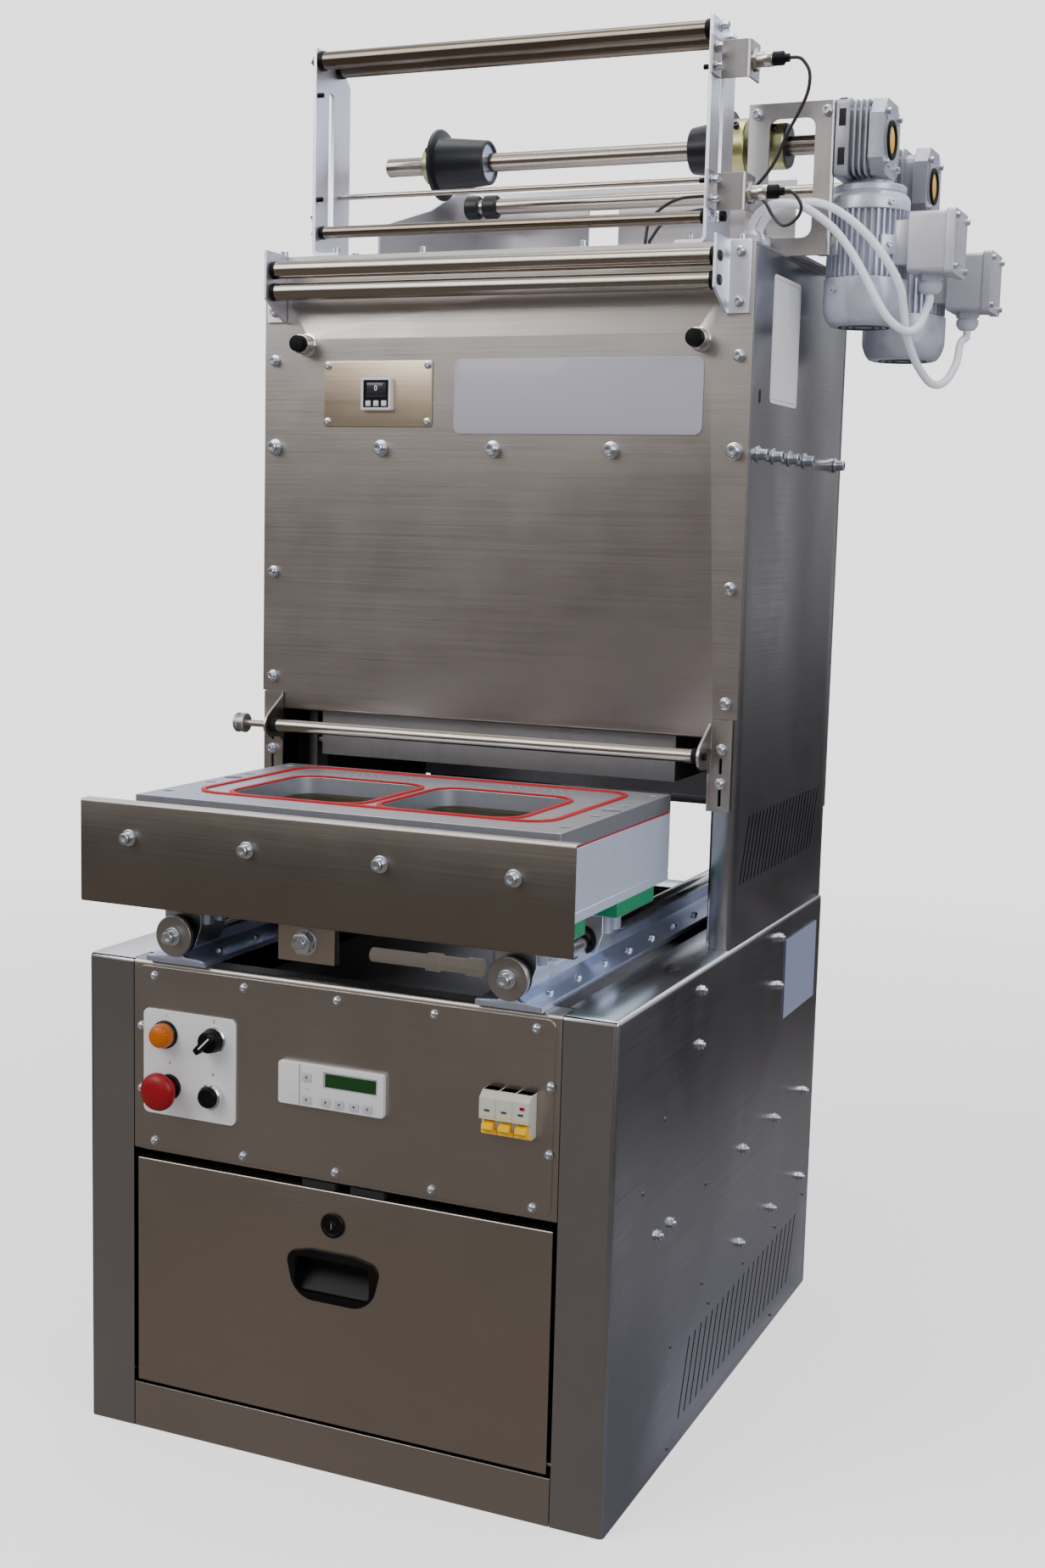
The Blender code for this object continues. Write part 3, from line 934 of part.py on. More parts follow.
def build_front_rollers(machine, bodies, looks):
    """Folded brackets on the column's front and the rollers between their ears."""
    high = slab("Z", HIGH_BRACKET_LOW, HIGH_BRACKET_HIGH, bracket_outline(HIGH_EAR))
    chamfer = slab("X", BRACKET_FOLD - 0.02, BRACKET_FOLD + 0.001, [
        (HIGH_EAR - 0.01, HIGH_BRACKET_LOW - 0.01), (COLUMN_FRONT - 0.008, HIGH_BRACKET_LOW - 0.01),
        (COLUMN_FRONT - 0.008, HIGH_BRACKET_LOW), (HIGH_EAR - 0.01, HIGH_BRACKET_LOW + 0.028)])
    machine.piece("high_bracket_left", looks["steel"], mirrored(high), cut=[mirrored(chamfer)])
    machine.piece("high_bracket_right", looks["steel"], high, cut=[chamfer])
    span = BRACKET_FOLD - BRACKET_SHEET - GAP
    for name, z in zip(("upper_front_roller", "middle_front_roller"), HIGH_ROLLER_Z):
        bodies[name].piece(name, looks["steel"], rod((-span, HIGH_ROLLER_Y, z), (span, HIGH_ROLLER_Y, z),
                                                     HIGH_ROLLER_RADIUS, sides=32), smooth=40)

    low = slab("Z", LOW_BRACKET_LOW, LOW_BRACKET_HIGH, bracket_outline(LOW_EAR))
    root = COLUMN_FRONT - 0.0045
    trim = slab("X", BRACKET_FOLD - 0.02, BRACKET_FOLD + 0.001, [
        (LOW_EAR - 0.01, LOW_BRACKET_LOW - 0.01), (root, LOW_BRACKET_LOW - 0.01), (root, LOW_ROLLER_Z - 0.022),
        (root - 0.008, LOW_ROLLER_Z - 0.016), (LOW_EAR + 0.012, LOW_ROLLER_Z - 0.015),
        (LOW_EAR + 0.004, LOW_ROLLER_Z - 0.010), (LOW_EAR, LOW_ROLLER_Z - 0.003), (LOW_EAR - 0.01, LOW_ROLLER_Z - 0.003)])
    crown = slab("X", BRACKET_FOLD - 0.02, BRACKET_FOLD + 0.001, [
        (LOW_EAR - 0.01, LOW_ROLLER_Z + 0.003), (LOW_EAR, LOW_ROLLER_Z + 0.003), (LOW_EAR + 0.005, LOW_ROLLER_Z + 0.011),
        (LOW_EAR + 0.014, LOW_ROLLER_Z + 0.017), (root, LOW_ROLLER_Z + 0.034), (root, LOW_BRACKET_HIGH + 0.01),
        (LOW_EAR - 0.01, LOW_BRACKET_HIGH + 0.01)])
    slot_x = (BRACKET_FOLD + HIGH_BRACKET_OUTER) / 2
    slots = [box((slot_x - SLOT_WIDTH / 2, COLUMN_FRONT - 0.02, bottom), (slot_x + SLOT_WIDTH / 2, COLUMN_FRONT, top))
             for bottom, top in (SLOT_UPPER, SLOT_LOWER)]
    hole = rod((BRACKET_FOLD - 0.02, LOW_ROLLER_Y, LOW_ROLLER_Z), (BRACKET_FOLD + 0.02, LOW_ROLLER_Y, LOW_ROLLER_Z),
               0.004 + BORE_PLAY, sides=20)
    machine.piece("low_bracket_right", looks["steel"], low, cut=[trim, crown, *slots])
    machine.piece("low_bracket_left", looks["steel"], mirrored(low),
                  cut=[*[mirrored(solid) for solid in (trim, crown, *slots)], mirrored(hole)])
    profile = [(0.0, KNOB_DISC_X[0]), (KNOB_DISC_RADIUS - 0.001, KNOB_DISC_X[0]), (KNOB_DISC_RADIUS, KNOB_DISC_X[0] + 0.001),
               (KNOB_DISC_RADIUS, KNOB_DISC_X[1]), (0.004, KNOB_DISC_X[1]), (0.004, -span - 0.0001),
               (LOW_ROLLER_RADIUS, -span), (LOW_ROLLER_RADIUS, span), (0.0, span)]
    bodies["lower_front_roller"].piece("lower_front_roller", looks["steel"], turned(
        profile, (0.0, LOW_ROLLER_Y, LOW_ROLLER_Z), (1, 0, 0), sides=28), smooth=40)


def build_upper_tool(press, looks):
    block = box((-UPPER_HALF, UPPER_FRONT, UPPER_BOTTOM), (UPPER_HALF, UPPER_BACK, UPPER_TOP))
    guides = [rod((sign * GUIDE_X, GUIDE_Y, UPPER_TOP - 0.002), (sign * GUIDE_X, GUIDE_Y, GUIDE_TOP), GUIDE_RADIUS)
              for sign in (-1, 1)]
    press.piece("upper_tool", looks["aluminium"], block, add=guides)


def build_film_frame(machine, bodies, looks):
    """Two slotted side plates with bent feet, the film rollers and the fixed rod between them."""
    inner, outer = FRAME_HALF - FRAME_SHEET, FRAME_HALF
    low = COLUMN_TOP + GAP
    path = [(outer - FRAME_FOOT, low), (outer, low), (outer, FRAME_TOP)]
    for name, flip in (("film_frame_right", False), ("film_frame_left", True)):
        plate = slab("Y", FRAME_FRONT, FRAME_BACK, folded(path, FRAME_SHEET, bend=0.008))
        slot = slab("X", inner - 0.01, outer + 0.01, rounded(
            FRAME_SLOT_FRONT, FRAME_SLOT_LOW, FRAME_SLOT_BACK, FRAME_SLOT_HIGH, 0.003, steps=2))
        corner = slab("X", inner - 0.01, outer + 0.01, [
            (FRAME_BACK + 0.01, FRAME_TOP - FRAME_CHAMFER - 0.01), (FRAME_BACK + 0.01, FRAME_TOP + 0.01),
            (FRAME_BACK - FRAME_CHAMFER - 0.01, FRAME_TOP + 0.01)])
        solids = [mirrored(s) for s in (plate, slot, corner)] if flip else [plate, slot, corner]
        machine.piece(name, looks["steel"], solids[0], cut=solids[1:])
    span = inner - GAP
    for name, y, z, radius in (
            ("film_roller_front", FILM_ROLLER_FRONT_Y, FILM_ROLLER_Z, FILM_ROLLER_RADIUS),
            ("film_roller_rear", FILM_ROLLER_REAR_Y, FILM_ROLLER_Z, FILM_ROLLER_RADIUS),
            ("frame_roller", FRAME_ROLLER_Y, FRAME_ROLLER_Z, FRAME_ROLLER_RADIUS)):
        bodies[name].piece(name, looks["steel"], rod((-span, y, z), (span, y, z), radius, sides=28), smooth=40)
    machine.piece("guide_rod", looks["steel"], rod(
        (-span, GUIDE_ROD_Y, GUIDE_ROD_Z), (span, GUIDE_ROD_Y, GUIDE_ROD_Z), GUIDE_ROD_RADIUS, sides=16), smooth=40)


def build_drives(machine, bodies, looks):
    """Motor bracket, gear motors, unwind and rewind shafts."""
    low = COLUMN_TOP + GAP
    left, right = BRACKET_X
    front, back = BRACKET_Y
    t = BRACKET_PLATE
    first_end = UNWIND_Y + GEAR_OFFSET + MOTOR_RADIUS + RUN
    second_start = REWIND_Y + GEAR_OFFSET - MOTOR_RADIUS * REWIND_SCALE - RUN
    rail_low = UNWIND_Z - GEARBOX_HEIGHT / 2 + 0.002
    sheet = slab("Z", low + 0.0005, BRACKET_TOP, folded([(left, front), (right, front), (right, back)], t))
    top = box((left + 0.002, front + t - 0.001, BRACKET_TOP - t - 0.0005),
              (right - t + 0.001, front + 0.058, BRACKET_TOP - 0.0005))
    foot = slab("Z", low, low + t, [
        (left + 0.001, front + 0.001), (COLUMN_HALF + 0.012, front + 0.001), (COLUMN_HALF + 0.012, first_end),
        (right - 0.001, first_end + 0.001), (right - 0.001, second_start - 0.001), (left + 0.001, second_start)])
    window = slab("Y", front - 0.01, front + 0.01, rounded(WINDOW_X[0], WINDOW_Z[0], WINDOW_X[1], WINDOW_Z[1], WINDOW_RADIUS))
    ways = [box((right - 0.01, first_start, low - 0.01), (right + 0.01, end, rail_low))
            for first_start, end in ((front + BEND, first_end), (second_start, back + 0.01))]
    holes = [rod((right - 0.01, y, z), (right + 0.01, y, z), radius + 0.003)
             for y, z, radius in ((UNWIND_Y, UNWIND_Z, UNWIND_RADIUS), (REWIND_Y, REWIND_Z, REWIND_RADIUS))]
    machine.piece("motor_bracket", looks["steel"], sheet, add=[top, foot], cut=[window, *ways, *holes])

    for name, y, z, x0, width, motor_scale, bore in (
            ("unwind", UNWIND_Y, UNWIND_Z, right + GAP, GEARBOX_WIDTH, 1.0, UNWIND_RADIUS),
            ("rewind", REWIND_Y, REWIND_Z, REWIND_GEAR_X, GEARBOX_WIDTH * 1.18, REWIND_SCALE, REWIND_RADIUS)):
        height = GEARBOX_HEIGHT / 2
        y0, y1 = y - GEARBOX_DEPTH / 2 + 0.004, y + GEARBOX_DEPTH / 2 + 0.004
        x1 = x0 + width
        plate = slab("X", x0, x0 + 0.016, rounded(y0, z - height, y1, z + height, 0.006, steps=2))
        core = slab("X", x0 + 0.010, x1 - 0.010, rounded(
            y0 + 0.007, z - height + 0.007, y1 - 0.007, z + height - 0.007, 0.012, steps=2))
        fins = [slab("X", x0 + at, x0 + at + 0.0022, rounded(y0 + 0.001, z - height + 0.001, y1 - 0.001, z + height - 0.001,
                                                           0.010, steps=2)) for at in (0.0205, 0.027, 0.0335)]
        head = slab("X", x1 - 0.018, x1, [
            (y0 + 0.016, z - height + 0.002), (y1 - 0.016, z - height + 0.002), (y1, z - height + 0.018),
            (y1, z + height - 0.018), (y1 - 0.016, z + height), (y0 + 0.016, z + height), (y0, z + height - 0.018),
            (y0, z - height + 0.018)])
        spacer = rod((right + GAP, y, z), (x0 + 0.001, y, z), 0.030) if x0 > right + 0.001 else None
        motor_y = y + GEAR_OFFSET
        motor_x = (x0 + x1) / 2
        cap = turned([(0.0, -0.001), (0.0215, -0.001), (0.0215, 0.0025), (0.0165, 0.0025), (0.0155, 0.0005),
                      (0.0, 0.0015)], (x1, y, z), (1, 0, 0))
        radius = MOTOR_RADIUS * motor_scale
        top_z = z - height
        neck_radius = 0.0265 * motor_scale
        flange = 0.0415 * motor_scale
        body = turned([(0.0, top_z + 0.012), (neck_radius, top_z + 0.012), (neck_radius, top_z - 0.003),
                       (flange - 0.001, top_z - 0.004),
                       (flange, top_z - 0.0055), (flange, top_z - 0.012), (radius - 0.004, top_z - 0.015),
                       (radius - 0.001, top_z - 0.020), (radius - 0.001, top_z - 0.033), (radius - 0.0065, top_z - 0.034),
                       (radius - 0.0065, top_z - 0.106), (radius, top_z - 0.107),
                       (radius, top_z - MOTOR_LENGTH + 0.020), (radius - 0.006, top_z - MOTOR_LENGTH + 0.004),
                       (radius - 0.010, top_z - MOTOR_LENGTH), (0.0, top_z - MOTOR_LENGTH)],
                      (motor_x, motor_y, 0.0), (0, 0, 1), sides=32)
        ribs = slab("Z", top_z - 0.1065, top_z - 0.0325, [
            (motor_x + reach * math.cos(a), motor_y + reach * math.sin(a))
            for i in range(MOTOR_FINS) for reach, turn in ((radius - 0.008, 0.0), (radius - 0.001, 0.12),
                                                          (radius - 0.001, 0.42), (radius - 0.008, 0.54))
            for a in (math.tau * (i + turn) / MOTOR_FINS,)])
        box_top = top_z - TERMINAL_DROP
        case_x = motor_x + radius + 0.006
        neck = box((motor_x + radius - 0.012, motor_y - 0.026, box_top - TERMINAL_HEIGHT + 0.009),
                   (case_x + 0.002, motor_y + 0.026, box_top - 0.008))
        case = slab("X", case_x, case_x + TERMINAL_DEPTH, rounded(
            motor_y - TERMINAL_WIDTH / 2, box_top - TERMINAL_HEIGHT, motor_y + TERMINAL_WIDTH / 2, box_top, 0.005, steps=2))
        lid = slab("X", case_x + TERMINAL_DEPTH - 0.001, case_x + TERMINAL_DEPTH + 0.011, rounded(
            motor_y - TERMINAL_WIDTH / 2 - 0.002, box_top - TERMINAL_HEIGHT - 0.002,
            motor_y + TERMINAL_WIDTH / 2 + 0.002, box_top + 0.002, 0.004, steps=2))
        gland = cable_gland((case_x + TERMINAL_DEPTH / 2, motor_y, box_top - TERMINAL_HEIGHT + 0.001), (0, 0, -1))
        joined = [body, ribs, plate, *fins, head, *([spacer] if spacer else []), cap, neck, case, lid, gland]
        socket = rod((right - 0.01, y, z), (x0 + SHAFT_SOCKET, y, z), bore + BORE_PLAY)
        machine.piece(f"{name}_gear_motor", looks["grey"], core, add=joined, cut=[socket], smooth=40)

    shaft_end = right + SHAFT_SOCKET - GAP
    shaft = rod((UNWIND_LEFT, UNWIND_Y, UNWIND_Z), (shaft_end, UNWIND_Y, UNWIND_Z), UNWIND_RADIUS)
    axis_point = (0.0, UNWIND_Y, UNWIND_Z)
    chuck_left = turned([(0.0, -0.171), (CHUCK_COLLAR_RADIUS, -0.171), (CHUCK_COLLAR_RADIUS, -0.155), (CHUCK_DISC_RADIUS - 0.001, -0.155),
                         (CHUCK_DISC_RADIUS, -0.153), (CHUCK_DISC_RADIUS - 0.002, -0.150), (CHUCK_CONE_RADII[0], -0.148),
                         (CHUCK_CONE_RADII[1], -0.088), (0.0, -0.088)], axis_point, (1, 0, 0), sides=32)
    chuck_right = turned([(0.0, 0.173), (CHUCK_CONE_RADII[1], 0.173), (CHUCK_CONE_RADII[0], 0.214), (CHUCK_DISC_RADIUS - 0.002, 0.216),
                          (CHUCK_DISC_RADIUS, 0.219), (CHUCK_DISC_RADIUS - 0.001, 0.2225), (BRAKE_RADIUS, 0.2225), (BRAKE_RADIUS, 0.243),
                          (0.018, 0.243), (0.018, 0.264), (HUB_RADIUS, 0.264), (HUB_RADIUS, 0.289), (0.0, 0.289)],
                         axis_point, (1, 0, 0), sides=32)
    bodies["unwind_shaft"].piece("unwind_shaft", looks["steel"], shaft, add=[chuck_left, chuck_right], smooth=40)
    rewind = rod((REWIND_LEFT, REWIND_Y, REWIND_Z), (shaft_end, REWIND_Y, REWIND_Z), REWIND_RADIUS)
    collars = [rod((x, REWIND_Y, REWIND_Z), (x + 0.018, REWIND_Y, REWIND_Z), REWIND_COLLAR_RADIUS)
               for x in (REWIND_LEFT + 0.001, REWIND_LEFT + 0.0265)]
    bodies["rewind_shaft"].piece("rewind_shaft", looks["steel"], rewind, add=collars, smooth=40)

    cheek = slab("X", CHEEK_X - CHEEK_SHEET, CHEEK_X, [
        (0.460, low), (REAR_SHEET_Y + 0.001, low), (REAR_SHEET_Y + 0.001, REAR_SHEET_TOP),
        (0.677, COLUMN_TOP + 0.1235), (0.600, COLUMN_TOP + 0.089), (0.510, COLUMN_TOP + 0.063),
        (0.460, COLUMN_TOP + 0.048)])
    rear = slab("Y", REAR_SHEET_Y, REAR_SHEET_Y + CHEEK_SHEET, rectangle(CHEEK_X - CHEEK_SHEET, low, REAR_SHEET_RIGHT, REAR_SHEET_TOP),
                rounded(-0.044, low + 0.020, -0.002, REAR_SHEET_TOP - 0.012, 0.006, steps=2))
    machine.piece("rewind_bracket", looks["steel"], rear, add=[cheek])


def build_sensors(machine, looks):
    """Threaded proximity sensors in folded brackets on the right side plate."""
    outer = FRAME_HALF + GAP
    for name, z in zip(("upper_sensor", "lower_sensor"), SENSOR_Z):
        low, high = z - 0.020, z + 0.020
        path = [(outer, SENSOR_Y - 0.044), (outer, SENSOR_Y - 0.0125), (outer + 0.033, SENSOR_Y - 0.0125),
                (outer + 0.033, SENSOR_Y + 0.020)]
        bracket = slab("Z", low, high, folded(path[::-1], SENSOR_PLATE, bend=0.003))
        barrel = turned([(0.0, SENSOR_TIP_X + 0.006), (SENSOR_RADIUS, SENSOR_TIP_X + 0.006), (SENSOR_RADIUS, SENSOR_END_X - 0.018),
                         (0.0075, SENSOR_END_X - 0.018), (0.0075, SENSOR_END_X - 0.006), (0.0045, SENSOR_END_X - 0.004),
                         (0.0045, SENSOR_END_X), (0.0, SENSOR_END_X)], (0.0, SENSOR_Y, z), (1, 0, 0), sides=24)
        nut = rod((outer + 0.034, SENSOR_Y, z), (outer + 0.0405, SENSOR_Y, z), 0.0125, sides=6)
        machine.piece(name, looks["steel"], bracket, add=[barrel, nut])


def build_cables(machine, looks):
    """Motor and sensor cables, each from its gland on the column's top to what it feeds."""
    top = COLUMN_TOP - 0.001 + GLAND_LENGTH + GAP
    for name, (x, y), route, end in (
            ("unwind_motor_cable", COLUMN_GLANDS[0], UNWIND_CABLE, motor_gland_mouth(UNWIND_Y, UNWIND_Z, False)),
            ("rewind_motor_cable", COLUMN_GLANDS[1], REWIND_CABLE, motor_gland_mouth(REWIND_Y, REWIND_Z, True))):
        run = [(x, y, top + 0.007), *raised(route), (end[0], end[1], end[2] - 0.008)]
        cable = tube([(x, y, top), *smooth_route(run, 0.011), end], CABLE_RADIUS, 3)
        machine.piece(name, looks["cable"], cable, smooth=60)
    x, y = SENSOR_ENTRY
    for name, z, route, shift in (("upper_sensor_cable", SENSOR_Z[0], UPPER_SENSOR_CABLE, -0.0025),
                                  ("lower_sensor_cable", SENSOR_Z[1], LOWER_SENSOR_CABLE, 0.0025)):
        start = (SENSOR_END_X + GAP, SENSOR_Y, z)
        foot = (x + shift, y, COLUMN_TOP + 0.009 + GAP)
        run = [(SENSOR_END_X + 0.006, SENSOR_Y, z), *raised(route), (foot[0], foot[1], foot[2] + 0.006)]
        cable = tube([start, *smooth_route(run, 0.0075), foot], SENSOR_CABLE_RADIUS, 2)
        machine.piece(name, looks["black"], cable, smooth=60)


def raised(route):
    """A route's points, lifted onto the column's top."""
    return [(x, y, z + COLUMN_TOP) for x, y, z in route]


def motor_gland_mouth(y, z, rewind):
    """Where a motor's cable meets its gland."""
    x0, width, scale = ((REWIND_GEAR_X, GEARBOX_WIDTH * 1.18, REWIND_SCALE) if rewind
                        else (BRACKET_X[1] + GAP, GEARBOX_WIDTH, 1.0))
    case_x = x0 + width / 2 + MOTOR_RADIUS * scale + 0.006
    foot = z - GEARBOX_HEIGHT / 2 - TERMINAL_DROP - TERMINAL_HEIGHT + 0.001
    return (case_x + TERMINAL_DEPTH / 2, y + GEAR_OFFSET, foot - GLAND_LENGTH - GAP)


def main():
    clear_scene()
    make_collections()
    looks = {
        "steel": finish("brushed stainless steel", (0.55, 0.52, 0.48), 0.32, 1.0),
        "aluminium": finish("milled aluminium", (0.66, 0.70, 0.76), 0.38, 1.0),
        "red": finish("red silicone", (0.72, 0.05, 0.06), 0.55, 0.0),
        "green": finish("green polymer", (0.02, 0.42, 0.28), 0.5, 0.0),
        "white": finish("white plastic", (0.85, 0.85, 0.83), 0.45, 0.0),
        "black": finish("black plastic", (0.02, 0.02, 0.022), 0.4, 0.0),
        "amber": finish("amber lens", (0.95, 0.45, 0.05), 0.25, 0.0),
        "cable": finish("grey cable sheath", (0.42, 0.43, 0.46), 0.5, 0.0),
        "grey": finish("grey paint", (0.52, 0.53, 0.56), 0.45, 0.2),
        "brass_steel": finish("tinted steel", (0.66, 0.58, 0.40), 0.35, 1.0),
    }
    machine = Body("machine")
    drawer = Body("drawer", (0.0, TOOL_FRONT, RAIL_AXIS_Z))
    door = Body("door", DOOR_PIVOT)
    press = Body("press", (0.0, GUIDE_Y, UPPER_BOTTOM))
    face = BEZEL_FACE - GAP
    bodies = {
        "selector": Body("selector", (KNOB_XZ[0], face, KNOB_XZ[1])),
        "emergency": Body("emergency", (STOP_XZ[0], face, STOP_XZ[1])),
        "push": Body("push", (PUSH_XZ[0], face, PUSH_XZ[1])),
        "start_left": Body("start_left", (-START_X, COLUMN_FRONT - START_SLEEVE, START_Z)),
        "start_right": Body("start_right", (START_X, COLUMN_FRONT - START_SLEEVE, START_Z)),
        "upper_front_roller": Body("upper_front_roller", (0.0, HIGH_ROLLER_Y, HIGH_ROLLER_Z[0])),
        "middle_front_roller": Body("middle_front_roller", (0.0, HIGH_ROLLER_Y, HIGH_ROLLER_Z[1])),
        "lower_front_roller": Body("lower_front_roller", (0.0, LOW_ROLLER_Y, LOW_ROLLER_Z)),
        "film_roller_front": Body("film_roller_front", (0.0, FILM_ROLLER_FRONT_Y, FILM_ROLLER_Z)),
        "film_roller_rear": Body("film_roller_rear", (0.0, FILM_ROLLER_REAR_Y, FILM_ROLLER_Z)),
        "frame_roller": Body("frame_roller", (0.0, FRAME_ROLLER_Y, FRAME_ROLLER_Z)),
        "unwind_shaft": Body("unwind_shaft", (0.0, UNWIND_Y, UNWIND_Z)),
        "rewind_shaft": Body("rewind_shaft", (0.0, REWIND_Y, REWIND_Z)),
    }
    build_base(machine, looks["steel"])
    build_door(door, looks["steel"])
    build_controls(machine, bodies, looks)
    build_rails(machine, looks["steel"])
    build_drawer(drawer, looks)
    build_column(machine, looks["steel"])
    build_column_fittings(machine, bodies, looks)
    build_front_rollers(machine, bodies, looks)
    build_upper_tool(press, looks)
    build_film_frame(machine, bodies, looks)
    build_drives(machine, bodies, looks)
    build_sensors(machine, looks)
    build_cables(machine, looks)
    for obj in list(cutters.objects):
        obj.hide_render = True
        obj.display_type = "WIRE"


main()
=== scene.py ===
"""Looks, light and camera for a stainless vacuum tray sealer."""
import logging
import math
from dataclasses import dataclass, field
from enum import Enum
from typing import Callable, Iterable, Sequence, Union

import bmesh
import bpy
from mathutils import Matrix, Vector, geometry


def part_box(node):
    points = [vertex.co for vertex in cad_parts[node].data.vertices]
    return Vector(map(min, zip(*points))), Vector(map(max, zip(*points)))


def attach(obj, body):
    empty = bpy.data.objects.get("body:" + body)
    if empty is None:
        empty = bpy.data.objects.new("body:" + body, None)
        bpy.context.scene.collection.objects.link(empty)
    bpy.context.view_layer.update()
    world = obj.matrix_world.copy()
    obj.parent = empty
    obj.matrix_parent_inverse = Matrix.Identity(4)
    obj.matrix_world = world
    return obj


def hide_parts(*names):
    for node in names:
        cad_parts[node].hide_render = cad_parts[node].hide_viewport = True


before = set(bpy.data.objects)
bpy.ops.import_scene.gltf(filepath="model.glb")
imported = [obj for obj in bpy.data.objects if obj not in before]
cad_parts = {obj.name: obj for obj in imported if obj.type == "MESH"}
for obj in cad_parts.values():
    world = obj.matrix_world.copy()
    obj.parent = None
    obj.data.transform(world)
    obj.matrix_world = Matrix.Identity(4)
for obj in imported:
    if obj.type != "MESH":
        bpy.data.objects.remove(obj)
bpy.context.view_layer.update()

log = logging.getLogger("tray_sealer")
Colour = tuple[float, float, float]
Point = Sequence[float]
GAP = 0.0003
GLAND_LENGTH = 0.022
UNWIND_AXIS = (0.515, 1.435)
REWIND_AXIS = (0.68, 1.411)
SENSORS = {"upper_sensor": 1.503, "lower_sensor": 1.364}
SENSOR_Y = 0.394
RAIL_X = 0.193
RAIL_Z = 0.56
MOTOR_GLANDS = ((0.274, 0.4285), (0.274, 0.46))
COLUMN_TOP = 1.307
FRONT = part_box("base_left_side")[0].y


def at(x: float, y: float, z: float) -> Vector:
    """Give a point whose y is measured from the cabinet's front face."""
    return Vector((x, FRONT + y, z))


class Grain(Enum):
    """The way a sheet was brushed, as noise scales along x, y and z."""

    ALONG_X = (6.0, 520.0, 520.0)
    ALONG_Y = (520.0, 6.0, 520.0)
    ALONG_Z = (520.0, 520.0, 6.0)
    RINGS_X = (900.0, 3.0, 3.0)
    RINGS_Y = (3.0, 900.0, 3.0)


class Side(Enum):
    """The two sides of the machine."""

    LEFT = -1
    RIGHT = 1


# Shader sums
def joined(operation: str, swapped: bool = False) -> Callable[["Wire", "Value"], "Wire"]:
    """Make a method of Wire that adds one Math node.

    Args:
        operation: The Math node's operation.
        swapped: Whether the wire is its second value.

    Returns:
        The method.
    """
    def join(wire: "Wire", other: "Value") -> "Wire":
        """Join a wire and a value."""
        first, second = (other, wire) if swapped else (wire, other)
        return wire.graph.node("ShaderNodeMath", {"operation": operation}, {0: first, 1: second})

    return join


class Wire:
    """A shader socket that Python arithmetic can use."""

    def __init__(self, graph: "Graph", socket: bpy.types.NodeSocket) -> None:
        """Keep the graph that the socket belongs to."""
        self.graph = graph
        self.socket = socket

    __add__ = __radd__ = joined("ADD")
    __sub__ = joined("SUBTRACT")
    __rsub__ = joined("SUBTRACT", swapped=True)
    __mul__ = __rmul__ = joined("MULTIPLY")
    __truediv__ = joined("DIVIDE")
    __pow__ = joined("POWER")
    above = joined("GREATER_THAN")
    at_least = joined("MAXIMUM")
    at_most = joined("MINIMUM")

    def clamped(self) -> "Wire":
        """Keep this between 0 and 1."""
        return self.at_least(0.0).at_most(1.0)


Value = Union[Wire, float, int, tuple]


